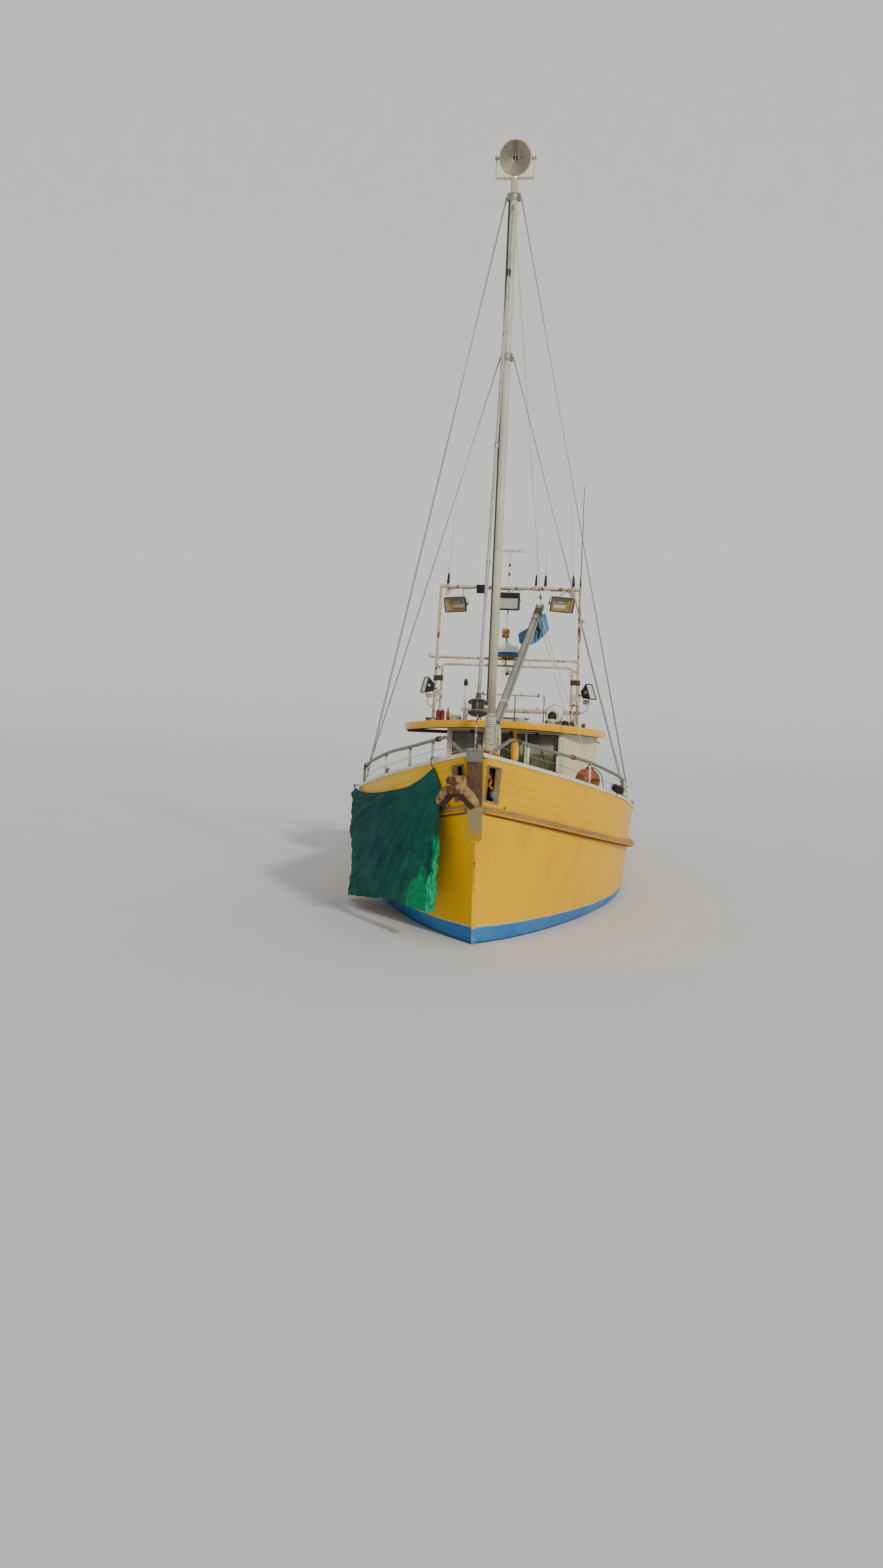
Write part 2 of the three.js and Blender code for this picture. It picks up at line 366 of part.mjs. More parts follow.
// Forestay from the stemhead to the masthead, with the roller furler round it.
const STAY = { low: [8565, 0, 2915], high: [MAST.x + 78, 0, 11250] };
const stayAt = (t) => [lerp(STAY.low[0], STAY.high[0], t), 0, lerp(STAY.low[2], STAY.high[2], t)];
add("forestay", union(rod(stayAt(0), stayAt(0.034), 14, 6), rod(stayAt(0.034), stayAt(0.992), 5, 6), rod(stayAt(0.985), stayAt(1), 12, 6)), "wire");
const FURLER_AT = 0.0594; // share of the stay where the drum sits
const stayDir = V(STAY.high[0] - STAY.low[0], 0, STAY.high[2] - STAY.low[2]).normalize(), stayAxis = [stayDir.x, 0, stayDir.z];
add("furler", turned([[11, -110], [60, -110], [60, -70], [125, -66], [135, -50], [125, -38], [75, -20], [75, 10], [125, 26], [135, 40], [125, 54], [60, 60], [45, 120], [32, 130], [32, 7450], [11, 7450], [11, -110]], stayAt(FURLER_AT), stayAxis, 12), "silver");
// Shrouds: wire pairs with turnbuckles to chainplates. Columns: name, y of the tang's face, z at the mast, chain x, second chain x.
const shroudRows = [["upper", 105, MAST.tangZ, 3450, 3150], ["lower", 95, MAST.midTangZ, 4230, 4010]];
const sides = [["port", 1], ["starboard", -1]];
for (const [side, s] of sides)
  for (const [which, y, z, x1, x2] of shroudRows) {
    const stay = (x, dx) => {
      const low = [x, s * (capYAt(x) - 60), capTopAt(x) + 4], high = [MAST.x + dx, s * (y + 10), z];
      const p = (t) => [0, 1, 2].map((k) => lerp(low[k], high[k], t));
      return union(rod(p(0), p(0.034), 16, 6), rod(p(0.03), p(1), 7, 6));
    };
    const span = (a, b) => [Math.min(s * a, s * b), Math.max(s * a, s * b)];
    const foot = box(Math.min(x1, x2) - 40, Math.max(x1, x2) + 40, ...span(capYAt(x1) - 90, capYAt(x1) - 30), capTopAt(Math.min(x1, x2)) - 30, capTopAt(Math.max(x1, x2)) + 16);
    const end = box(MAST.x - 32, MAST.x + 32, ...span(y + 0.5, y + 20), z - 14, z + 14);
    add(`shroud_${which}_${side}`, biggest(union(stay(x1, 20), stay(x2, -20), foot, end).subtract(s > 0 ? capTopCut : mirrorY(capTopCut))), "wire");
  }
// Boom: the gooseneck swings on an upright pin, the boom tops up on a cross pin in it.
const HEAD = V(BOOM.headX, BOOM.headY, BOOM.headZ), PIN = V(GOOSE.x, 0, BOOM.z);
const out = HEAD.clone().sub(PIN), flat = V(out.x, out.y, 0).normalize(), swing = Math.atan2(flat.y, flat.x);
const PIVOT = PIN.clone().add(flat.clone().multiplyScalar(95));
const swingTurn = new THREE.Matrix4().makeTranslation(PIN.x, 0, PIN.z).multiply(new THREE.Matrix4().makeRotationZ(swing));
const placed = (s, m) => s.transform(m.elements);
const crossPin = (r, l) => rod([95, -l, 0], [95, l, 0], r, 12);
add("boom_gooseneck", placed(union(
  rod([0, 0, -160], [0, 0, 160], 15, 12), rod([0, 0, -90], [0, 0, 90], 38, 12), box(0, 120, -34, 34, -30, 30),
  rod([0, 0, 127], [0, 0, 160], 26, 12),
).subtract(crossPin(12, 60)), swingTurn), "galvanised");
const boomLength = HEAD.clone().sub(PIVOT).length(), rise = Math.asin((HEAD.z - PIVOT.z) / boomLength);
const boomTurn = new THREE.Matrix4().makeTranslation(PIVOT.x, PIVOT.y, PIVOT.z).multiply(new THREE.Matrix4().makeRotationZ(swing)).multiply(new THREE.Matrix4().makeRotationY(-rise));
const hb = BOOM.side / 2;
add("boom", placed(union(
  box(150, boomLength - 20, -hb, hb, -hb, hb), box(-30, 190, -hb, -42, -42, 42), box(-30, 190, 42, hb, -42, 42), rod([0, -hb - 8, 0], [0, hb + 8, 0], 10, 12),
  box(boomLength - 60, boomLength + 20, -16, 16, -110, 90),
), boomTurn), "grey");
// the lift ends just past the boom's tip, so that the boom tops up and down inside it
const tip = new THREE.Vector4(boomLength + 48, 0, 45, 1).applyMatrix4(boomTurn);
const liftLow = [tip.x, tip.y, tip.z], liftHigh = [GOOSE.x, 0, LIFT_Z];
add("topping_lift", union(rod(liftLow, liftHigh, 6, 6), rod(liftLow, [0, 1, 2].map((k) => lerp(liftLow[k], liftHigh[k], 0.03)), 17, 6)), "wire");

// ---------------------------------------------------------------- wheelhouse
const W = WHEELHOUSE;
const outer = [[W.frontX, -W.starboard], [W.frontX, W.frontPort], [W.cornerX, W.half], [W.aftX, W.half], [W.aftX, -W.starboard]];
const inner = [[W.frontX - 50, -W.starboard + 50], [W.frontX - 50, W.frontPort - 15], [W.cornerX - 26, W.half - 50], [W.aftX + 50, W.half - 50], [W.aftX + 50, -W.starboard + 50]];
const roofStations = [-2030, -1870, -1500, -1050, -520, 0, 520, 1050, 1500, 1870, 2030];
const roofFront = [[0, 2720], [520, 2670], [1050, 2470], [1500, 2120], [1870, 1560], [2030, 1020]]; // columns: y, x
const crownAt = (y) => ROOF.camber * (1 - (y / ROOF.half) ** 2);
const frontAt = (y) => { const a = Math.abs(y); for (let i = 0; i < roofFront.length - 1; i++) if (a <= roofFront[i + 1][0]) return lerp(roofFront[i][1], roofFront[i + 1][1], (a - roofFront[i][0]) / (roofFront[i + 1][0] - roofFront[i][0])); return 1020; };
add("wheelhouse_roof", loft(roofStations.map((y) => {
  const z = ROOF.edgeZ + crownAt(y), x = frontAt(y);
  return [[ROOF.aftX, y, z], [x, y, z], [x, y, z + ROOF.thick], [ROOF.aftX, y, z + ROOF.thick]];
}), 1), "yellow");
const roofBelow = loft(roofStations.map((y) => { const z = ROOF.edgeZ + crownAt(y) - GAP; return [[-3000, y, z], [4000, y, z], [4000, y, 8000], [-3000, y, 8000]]; }), 1);
const roofAbove = loft(roofStations.map((y) => { const z = ROOF.edgeZ + crownAt(y) + ROOF.thick + GAP; return [[-3000, y, 500], [4000, y, 500], [4000, y, z], [-3000, y, z]]; }), 1);
const onRoof = (s) => s.subtract(roofAbove);
const roofTop = (y) => ROOF.edgeZ + ROOF.thick + crownAt(y);
const wallBetween = (k, trimA = 0.4, trimB = 0.4) => {
  const a = outer[k], b = outer[(k + 1) % 5], c = inner[(k + 1) % 5], d = inner[k];
  const cut = (p, q, t) => { const l = Math.hypot(q[0] - p[0], q[1] - p[1]); return [p[0] + ((q[0] - p[0]) * t) / l, p[1] + ((q[1] - p[1]) * t) / l]; };
  return [cut(a, b, trimA), cut(b, a, trimB), cut(c, d, trimB), cut(d, c, trimA)];
};
const fitted = (s) => s.subtract(deckCut).subtract(roofBelow);
const WALL_Z = [880, 3400];
const SILL = 2080, HEAD_Z = 3015;
let front = prism(wallBetween(0), ...WALL_Z);
for (const [y0, y1] of [[-925, -345], [-225, 460], [520, 1100]]) front = front.subtract(box(2000, 2400, y0, y1, SILL, HEAD_Z));
add("wheelhouse_front", fitted(front), "cream");
const sidePlan = [wallBetween(1, 0.4, 0), wallBetween(2, 0, 0.4)];
// the angled and the straight panel of a side are one wall
const sideWall = prism([sidePlan[0][0], outer[2], sidePlan[1][1], sidePlan[1][2], inner[2], sidePlan[0][3]], ...WALL_Z);
const sideCut = sideWall.subtract(box(-900, -180, 1700, 2000, 2090, 2760)).subtract(box(-60, 660, 1700, 2000, 2090, 2760));
add("wheelhouse_port_wall", fitted(sideCut), "cream");
let starboardWall = prism(wallBetween(4), ...WALL_Z);
for (const [x0, x1] of [[-900, -180], [-60, 660], [860, 1900]]) starboardWall = starboardWall.subtract(box(x0, x1, -1200, -900, 2090, 2760));
add("wheelhouse_starboard_wall", fitted(starboardWall), "cream");
const aft = prism(wallBetween(3), ...WALL_Z).subtract(box(-1400, -1100, DOOR.y[0], DOOR.y[1], DOOR.z[0], DOOR.z[1])).subtract(box(-1400, -1100, 250, 1250, 2090, 2760));
add("wheelhouse_aft_wall", fitted(aft), "cream");
const doorHinge = [W.aftX - 12, DOOR.y[0] + 8];
add("wheelhouse_door", union(
  box(W.aftX - 2, W.aftX + DOOR.thick - 2, DOOR.y[0] + 14, DOOR.y[1] - 8, DOOR.z[0] + 8, DOOR.z[1] - 8)
    .subtract(box(W.aftX - 60, W.aftX + 90, DOOR.y[0] + 150, DOOR.y[1] - 150, 2150, 2680)),
  rod([doorHinge[0], doorHinge[1], 1400], [doorHinge[0], doorHinge[1], 1520], 9, 8), rod([doorHinge[0], doorHinge[1], 2450], [doorHinge[0], doorHinge[1], 2570], 9, 8),
  box(W.aftX - 14, W.aftX, DOOR.y[0] + 8, DOOR.y[0] + 50, 1400, 1520), box(W.aftX - 14, W.aftX, DOOR.y[0] + 8, DOOR.y[0] + 50, 2450, 2570),
  box(W.aftX - 45, W.aftX, DOOR.y[1] - 75, DOOR.y[1] - 55, 1950, 2000),
), "cream");
add("helm_console", onDeck(union(
  box(1480, 2120, -950, 1050, 950, 1960), plate([[1480, 1960], [2120, 1955], [2120, 2120], [1600, 2060]], -940, 1040),
  box(1700, 2050, 560, 980, 2040, 2420), rod([1480, -350, 1800], [1400, -350, 1850], 18, 8),
  turned([[0, -8], [210, -8], [210, 8], [0, 8]], [1395, -350, 1853], [-1, 0, 0.6], 14),
)), "white");
add("helm_seat", onDeck(union(rod([800, -350, 950], [800, -350, 1560], 45, 10), rod([800, -350, 980], [800, -350, 1105], 200, 12, 180), box(590, 1010, -590, -110, 1560, 1640), plate([[590, 1600], [660, 1600], [600, 2150], [540, 2150]], -570, -130))), "seat");
add("engine", box(ENGINE.x[0], ENGINE.x[1], -ENGINE.y, ENGINE.y, ENGINE.z[0] - 120 + GAP, ENGINE.z[1]), "grey");

// ---------------------------------------------------------------- gantry on the roof
const G = GANTRY;
const postY = (z) => lerp(G.footY, G.topY, (z - 3190) / (G.topZ - 3190));
for (const [side, s] of sides) {
  const post = union(
    rod([G.x, s * G.footY, 3100], [G.x, s * G.topY, G.topZ - 31], G.r, 8),
    rod([G.x, s * (G.innerY + 30), 3100], [G.x, s * G.innerY, G.bar2Z - 60], 22, 8),
    box(G.x - 70, G.x + 70, s > 0 ? G.innerY - 40 : -G.footY - 70, s > 0 ? G.footY + 70 : -G.innerY + 40, 3120, roofTop(G.footY) + 25),
    rod([G.x, s * (G.innerY - 2), 4290], [G.x, s * postY(4290), 4290], 12, 6), rod([G.x, s * (G.innerY + 10), 3600], [G.x, s * postY(3600), 3600], 12, 6),
  );
  add(`gantry_post_${side}`, onRoof(post), "rustpipe");
}
add("gantry_top_bar", union(
  rod([G.x, -G.topY - 20, G.topZ], [G.x, G.topY + 20, G.topZ], G.r, 8),
  frame([[-G.topY + G.r + 14, G.topZ - 10], [-G.topY + G.r + 14, G.topZ - 150], [-G.topY + G.r + 30, G.topZ - 150], [-G.topY + 190, G.topZ - 10]], G.x - 6, G.x + 6),
  frame([[G.topY - G.r - 14, G.topZ - 10], [G.topY - G.r - 14, G.topZ - 150], [G.topY - G.r - 30, G.topZ - 150], [G.topY - 190, G.topZ - 10]], G.x - 6, G.x + 6),
), "rustpipe");
const barY = postY(G.barZ) - G.r - 4, DOME_Z = 4498; // underside of the radar dome
add("gantry_lower_bars", union(
  rod([G.x, -barY, G.barZ], [G.x, barY, G.barZ], G.r - 3, 8),
  rod([G.x, -G.innerY - 5, G.bar2Z], [G.x, G.innerY + 5, G.bar2Z], 22, 8),
  ...[-1, 1].map((s) => rod([G.x, s * G.innerY, G.bar2Z], [G.x, s * G.innerY, G.bar2Z - 57], 22, 8)),
  ...[-1180, -330, 330, 1180].map((y) => rod([G.x, y, G.bar2Z], [G.x, y, G.barZ], 11, 6)),
  box(G.x - 10, G.x + 330, -110, 110, DOME_Z - 13, DOME_Z - 1), box(G.x - 10, G.x + 35, -110, 110, DOME_Z - 13, G.barZ + 20),
), "rustpipe");
add("radar_dome", turned([[0, 0], [200, 0], [222, 40], [222, 100], [200, 190], [150, 240], [0, 262]], [G.x + 265, 25, DOME_Z], [0, 0, 1], 20), "white");
// Floodlights under the top bar. Columns: name, y, z, turn outboard in degrees, half-width, half-height.
const floodRows = [["starboard", -1062, 5572, -32, 275, 158], ["centre", -35, 5665, 0, 245, 182], ["port", 1022, 5628, 32, 275, 158]];
for (const [name, y, z, angle, halfW, halfH] of floodRows) {
  const housing = loft([[-110, 95, 80], [70, halfW, halfH], [95, halfW, halfH]].map(([x, hw, hh]) => [[x, -hw, -hh], [x, hw, -hh], [x, hw, hh], [x, -hw, hh]]));
  const turn = new THREE.Matrix4().compose(V(G.x + 40, y, z), new THREE.Quaternion().setFromEuler(new THREE.Euler(0, 0.25, THREE.MathUtils.degToRad(angle), "ZYX")), V(1, 1, 1));
  const hang = rod([G.x + 20, y, z + 60], [G.x + 5, y, G.topZ - 31], 14, 6);
  add(`floodlight_${name}`, union(placed(housing, turn), hang, box(G.x - 30, G.x + 30, y - 45, y + 45, G.topZ - 44, G.topZ - 30)), "lamp");
}

// ---------------------------------------------------------------- working deck aft
const coamingZ = deckTop(-4100) + HATCH.height;
const ring = (x0, x1, y, t, z0, z1) => box(x0 - t, x1 + t, -y - t, y + t, z0, z1).subtract(box(x0, x1, -y, y, z0 - 10, z1 + 10));
add("hatch_coaming", onDeck(ring(HATCH.x[0], HATCH.x[1], HATCH.y, HATCH.thick, 850, coamingZ)), "grey");
const lidHinge = [HATCH.x[1] + HATCH.thick + 35, coamingZ + 22];
add("hatch_lid", union(
  box(HATCH.x[0] - 75, HATCH.x[1] + 75, -HATCH.y - 75, HATCH.y + 75, coamingZ + 6, coamingZ + 46),
  ring(HATCH.x[0] - 66, HATCH.x[1] + 66, HATCH.y + 66, 9, coamingZ - 50, coamingZ + 20).subtract(box(HATCH.x[1] + 20, HATCH.x[1] + 200, -2000, 2000, coamingZ - 100, coamingZ + 6)),
), "wornwood");
const WIN = { x: -2350, z: deckTop(-2350) + 620 };
const cheek = [[WIN.x - 380, deckTop(WIN.x) - 10], [WIN.x + 380, deckTop(WIN.x) - 10], [WIN.x + 130, WIN.z + 150], [WIN.x - 130, WIN.z + 150]];
add("winch_frame", onDeck(union(
  box(WIN.x - 420, WIN.x + 420, -1010, 1010, 880, deckTop(WIN.x) + 70), plate(cheek, -960, -915), plate(cheek, 915, 960), plate(cheek, -22, 22),
  box(WIN.x + 350, WIN.x + 560, -230, 230, deckTop(WIN.x) - 30, WIN.z - 60),
)).subtract(rod([WIN.x, -1200, WIN.z], [WIN.x, 1200, WIN.z], 50, 16)), "grey");
const half = [[0, -1150], [95, -1150], [130, -1140], [80, -1090], [80, -1010], [125, -985], [45, -975], [45, -900], [330, -880], [330, -860], [120, -850], [120, -80], [330, -70], [330, -50], [45, -34]];
add("winch_drum", turned([...half, ...half.slice().reverse().map(([r, h]) => [r, -h])], [WIN.x, 0, WIN.z], [0, 1, 0], 16), "red");
const ND = { x: -6750, z: deckTop(-6750) + 760, r: 620 };
const ndCheek = [[ND.x - 420, deckTop(ND.x) - 20], [ND.x + 420, deckTop(ND.x) - 20], [ND.x + 110, ND.z + 130], [ND.x - 110, ND.z + 130]];
add("net_drum_frame", onDeck(union(
  plate(ndCheek, -1330, -1290), plate(ndCheek, 1290, 1330), box(ND.x - 420, ND.x - 330, -1300, 1300, 900, deckTop(ND.x) + 75), box(ND.x + 330, ND.x + 420, -1300, 1300, 900, deckTop(ND.x) + 75),
)).subtract(rod([ND.x, -1400, ND.z], [ND.x, 1400, ND.z], 56, 16)), "grey");
add("net_drum", turned([[0, -1370], [50, -1370], [50, -1270], [ND.r, -1262], [ND.r, -1235], [330, -1225], [400, -900], [430, 0], [400, 900], [330, 1225], [ND.r, 1235], [ND.r, 1262], [50, 1270], [50, 1370], [0, 1370]], [ND.x, 0, ND.z], [0, 1, 0], 18), "net");
// Stern gallows: two raked posts and a beam over the transom.
const SG = { x: -7820, y: 1620, topZ: 3550 };
for (const [side, s] of sides)
  add(`gallows_post_${side}`, onDeck(union(
    rod([SG.x, s * SG.y, 1000], [SG.x - 60, s * (SG.y - 60), SG.topZ - 66], 60, 10), box(SG.x - 150, SG.x + 110, s > 0 ? SG.y - 130 : -SG.y - 130, s > 0 ? SG.y + 130 : -SG.y + 130, 980, deckTop(SG.x, SG.y) + 40),
    rod([SG.x + 700, s * (SG.y + 20), 1000], [SG.x - 20, s * (SG.y - 35), 2650], 34, 8), box(SG.x + 640, SG.x + 780, s > 0 ? SG.y - 60 : -SG.y - 90, s > 0 ? SG.y + 90 : -SG.y + 60, 960, deckTop(SG.x + 700, SG.y) + 30),
  )), "galvanised");
add("gallows_beam", union(
  rod([SG.x - 60, -SG.y - 80, SG.topZ], [SG.x - 60, SG.y + 80, SG.topZ], 60, 10),
  ...[-1150, 1150].map((y) => frame([[y - 70, SG.topZ - 40], [y + 70, SG.topZ - 40], [y + 30, SG.topZ - 260], [y - 30, SG.topZ - 260]], SG.x - 75, SG.x - 45)),
), "galvanised");

// ---------------------------------------------------------------- under the water
const hubPos = [PROP.x, 0, PROP.z];
const blade = (angle) => {
  const g = loft([[60, 95, 34], [260, 190, 24], [430, 190, 14], [PROP.r, 70, 8]].map(([r, w, t], i) => {
    const pitch = THREE.MathUtils.degToRad([52, 38, 28, 22][i]), c = Math.cos(pitch), s = Math.sin(pitch);
    return [[-w, -t], [w, -t], [w, t], [-w, t]].map(([a, b]) => [b * c + a * s, a * c - b * s, r]);
  }), 2);
  return placed(g, new THREE.Matrix4().makeTranslation(...hubPos).multiply(new THREE.Matrix4().makeRotationX(angle)));
};
add("propeller", union(turned([[0, -150], [40, -140], [75, -80], [PROP.hub, 0], [PROP.hub, 110], [0, 110]], hubPos, [1, 0, 0], 12), ...[0, 1, 2, 3].map((k) => blade((k * Math.PI) / 2)), rod([PROP.x + 100, 0, PROP.z], [-6105.5, 0, PROP.z], 40, 10)), "bronze");
const bladeOutline = [[RUDDER.stockX + 160, -1640], [RUDDER.stockX + 175, -520], [RUDDER.stockX + 60, -430], [RUDDER.stockX - 560, -420], [RUDDER.stockX - 640, -1560], [RUDDER.stockX - 560, -1640]];
add("rudder", union(plate(bladeOutline, -22, 22), rod([RUDDER.stockX, 0, -1725], [RUDDER.stockX, 0, topAt(RUDDER.stockX) - 25], RUDDER.r, 10)), "antifoul");

// ---------------------------------------------------------------- cover cloth over the starboard bow
// It hangs plumb from the rubbing strake. Columns: x at the top, x at the bottom, top z, bottom z.
const clothRows = [[7790, 7700, 2520, 575], [7400, 7400, 2354, 478], [7000, 7000, 2212, 470], [6500, 6500, 2112, 440], [5800, 5800, 2010, 340], [5000, 5000, 1940, 205], [4150, 4150, 1955, 60]];
const skinAt = (x, z) => {
  // starboard half-breadth of the boat's side at x and z
  const dz = along(deckZ, x), dy = along(deckY, x), wy = along(waterY, Math.min(x, 7330)), cy = along(capY, x), cz = along(capZ, x);
  return z > dz ? lerp(dy, cy, (z - dz) / (cz - dz)) : lerp(wy, dy, Math.max(0, z) / dz);
};
const clothRings = clothRows.map(([xt, xb, zt, zb]) => {
  const xAt = (z) => lerp(xb, xt, (z - zb) / (zt - zb));
  let dz = zt - 500; // where the row meets the deck line
  for (let k = 0; k < 20; k++) dz = along(deckZ, xAt(dz));
  const zs = [zt, dz + 30, dz - STRAKE.height - 30, lerp(dz - STRAKE.height - 30, zb, 0.5), zb];
  const hang = along(deckY, xAt(dz)) + along(strakeProud, xAt(dz)) + 38;
  const out = zs.map((z, i) => (i === 0 ? skinAt(xAt(z), z) + 45 : hang));
  return [...zs.map((z, i) => [xAt(z), -out[i], z]), ...zs.map((z, i) => [xAt(z), -out[i] - 22, z]).reverse()];
});
add("green_cover", loft(clothRings), "cloth");

export default root;
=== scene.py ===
import json
import math
import random

import bmesh
import bpy
import numpy as np
from mathutils import Matrix, Quaternion, Vector, noise

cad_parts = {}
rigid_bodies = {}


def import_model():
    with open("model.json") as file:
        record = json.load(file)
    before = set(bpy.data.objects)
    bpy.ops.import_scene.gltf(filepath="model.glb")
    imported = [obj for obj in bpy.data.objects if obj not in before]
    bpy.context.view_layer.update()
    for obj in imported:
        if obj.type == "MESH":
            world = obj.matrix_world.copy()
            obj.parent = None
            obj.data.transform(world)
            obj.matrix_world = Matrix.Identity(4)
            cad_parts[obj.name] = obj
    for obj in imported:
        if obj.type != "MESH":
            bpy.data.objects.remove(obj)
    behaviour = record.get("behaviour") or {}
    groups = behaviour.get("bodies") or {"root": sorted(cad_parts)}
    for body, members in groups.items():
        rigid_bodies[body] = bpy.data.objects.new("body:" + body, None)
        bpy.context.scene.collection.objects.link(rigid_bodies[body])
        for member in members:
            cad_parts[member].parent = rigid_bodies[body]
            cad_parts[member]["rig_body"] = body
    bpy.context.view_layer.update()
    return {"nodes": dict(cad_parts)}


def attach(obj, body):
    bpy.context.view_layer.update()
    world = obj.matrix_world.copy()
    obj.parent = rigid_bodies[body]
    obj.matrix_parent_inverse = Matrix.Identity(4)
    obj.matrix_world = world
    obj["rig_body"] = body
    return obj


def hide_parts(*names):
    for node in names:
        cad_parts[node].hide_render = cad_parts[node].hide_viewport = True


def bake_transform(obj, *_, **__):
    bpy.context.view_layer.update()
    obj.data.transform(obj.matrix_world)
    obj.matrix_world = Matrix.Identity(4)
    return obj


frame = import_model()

COLLECTION = bpy.context.scene.collection
R = math.radians
BODY_OF = {o.name: o["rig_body"] for o in frame["nodes"].values()}


# ================================================================ node materials
class Mat:
    """A node material: object coordinates in metres, helpers for the usual nodes."""

    def __init__(self, name, **sockets):
        self.m = bpy.data.materials.new(name)
        self.m.use_nodes = True
        self.t = self.m.node_tree
        self.t.nodes.clear()
        self.out = self.t.nodes.new("ShaderNodeOutputMaterial")
        self.b = self.t.nodes.new("ShaderNodeBsdfPrincipled")
        self.t.links.new(self.b.outputs[0], self.out.inputs[0])
        self.tc = self.t.nodes.new("ShaderNodeTexCoord")
        self.P = self.tc.outputs["Object"]
        self.UV = self.tc.outputs["UV"]
        for k, v in sockets.items():
            self.set(k.replace("_", " "), v)

    def put(self, socket, value):
        if isinstance(value, bpy.types.NodeSocket):
            self.t.links.new(value, socket)
        elif hasattr(value, "__len__"):
            socket.default_value = tuple(value) + ((1.0,) if len(value) == 3 and socket.type == "RGBA" else ())
        else:
            socket.default_value = value

    def set(self, name, value):
        self.put(self.b.inputs[name], value)
        return self

    def node(self, kind, **props):
        n = self.t.nodes.new(kind)
        for k, v in props.items():
            setattr(n, k, v)
        return n

    def map(self, scale=(1, 1, 1), loc=(0, 0, 0), rot=(0, 0, 0), vec=None):
        n = self.node("ShaderNodeMapping")
        self.put(n.inputs[0], self.P if vec is None else vec)
        n.inputs["Scale"].default_value = scale
        n.inputs["Location"].default_value = loc
        n.inputs["Rotation"].default_value = rot
        return n.outputs[0]

    def noise(self, scale=5, detail=3, rough=0.5, vec=None, dist=0.0, colour=False):
        n = self.node("ShaderNodeTexNoise")
        self.put(n.inputs["Vector"], self.P if vec is None else vec)
        n.inputs["Scale"].default_value = scale
        n.inputs["Detail"].default_value = detail
        n.inputs["Roughness"].default_value = rough
        n.inputs["Distortion"].default_value = dist
        return n.outputs["Color" if colour else "Fac"]

    def cells(self, scale=5, feature="F1", vec=None, out="Distance", random=1.0):
        n = self.node("ShaderNodeTexVoronoi", feature=feature)
        self.put(n.inputs["Vector"], self.P if vec is None else vec)
        n.inputs["Scale"].default_value = scale
        n.inputs["Randomness"].default_value = random
        return n.outputs[out]

    def wave(self, scale=5, dist=0.0, detail=2, vec=None, direction="X", profile="SIN", kind="BANDS"):
        n = self.node("ShaderNodeTexWave", wave_type=kind, wave_profile=profile)
        if kind == "BANDS":
            n.bands_direction = direction
        self.put(n.inputs["Vector"], self.P if vec is None else vec)
        n.inputs["Scale"].default_value = scale
        n.inputs["Distortion"].default_value = dist
        n.inputs["Detail"].default_value = detail
        return n.outputs["Fac"]

    def ramp(self, fac, stops, smooth=False):
        n = self.node("ShaderNodeValToRGB")
        e = n.color_ramp.elements
        n.color_ramp.interpolation = "EASE" if smooth else "LINEAR"
        while len(e) < len(stops):
            e.new(0.5)
        for i, (p, c) in enumerate(stops):
            e[i].position = p
            c = (c, c, c) if not hasattr(c, "__len__") else c
            e[i].color = (*c, 1)
        self.put(n.inputs[0], fac)
        return n.outputs[0]

    def mix(self, fac, a, b, mode="MIX"):
        n = self.node("ShaderNodeMix", data_type="RGBA", blend_type=mode)
        self.put(n.inputs[0], fac)
        self.put(n.inputs[6], a)
        self.put(n.inputs[7], b)
        return n.outputs[2]

    def math(self, op, a, b=0.0, c=0.0, clamp=False):
        n = self.node("ShaderNodeMath", operation=op, use_clamp=clamp)
        for i, v in enumerate((a, b, c)):
            if i < len(n.inputs):
                self.put(n.inputs[i], v)
        return n.outputs[0]

    def between(self, x, lo, hi, a=0.0, b=1.0):
        n = self.node("ShaderNodeMapRange", interpolation_type="SMOOTHSTEP")
        for i, v in enumerate((x, lo, hi, a, b)):
            self.put(n.inputs[i], v)
        return n.outputs[0]

    def split(self, vec=None):
        n = self.node("ShaderNodeSeparateXYZ")
        self.put(n.inputs[0], self.P if vec is None else vec)
        return n.outputs[0], n.outputs[1], n.outputs[2]

    def bump(self, height, strength=0.3, distance=0.01, under=None):
        n = self.node("ShaderNodeBump")
        n.inputs["Strength"].default_value = strength
        n.inputs["Distance"].default_value = distance
        self.put(n.inputs["Height"], height)
        if under is not None:
            self.t.links.new(under, n.inputs["Normal"])
        self.t.links.new(n.outputs[0], self.b.inputs["Normal"])
        return n.outputs[0]


def srgb(r, g, b):
    """A measured tone as a linear colour, a little fuller than measured, for a soft studio light pales it."""
    lin = [c / 255 / 12.92 if c <= 10 else ((c / 255 + 0.055) / 1.055) ** 2.4 for c in (r, g, b)]
    grey = 0.2126 * lin[0] + 0.7152 * lin[1] + 0.0722 * lin[2]
    return tuple(min(1.0, max(0.002, grey + (c - grey) * 1.3)) for c in lin)


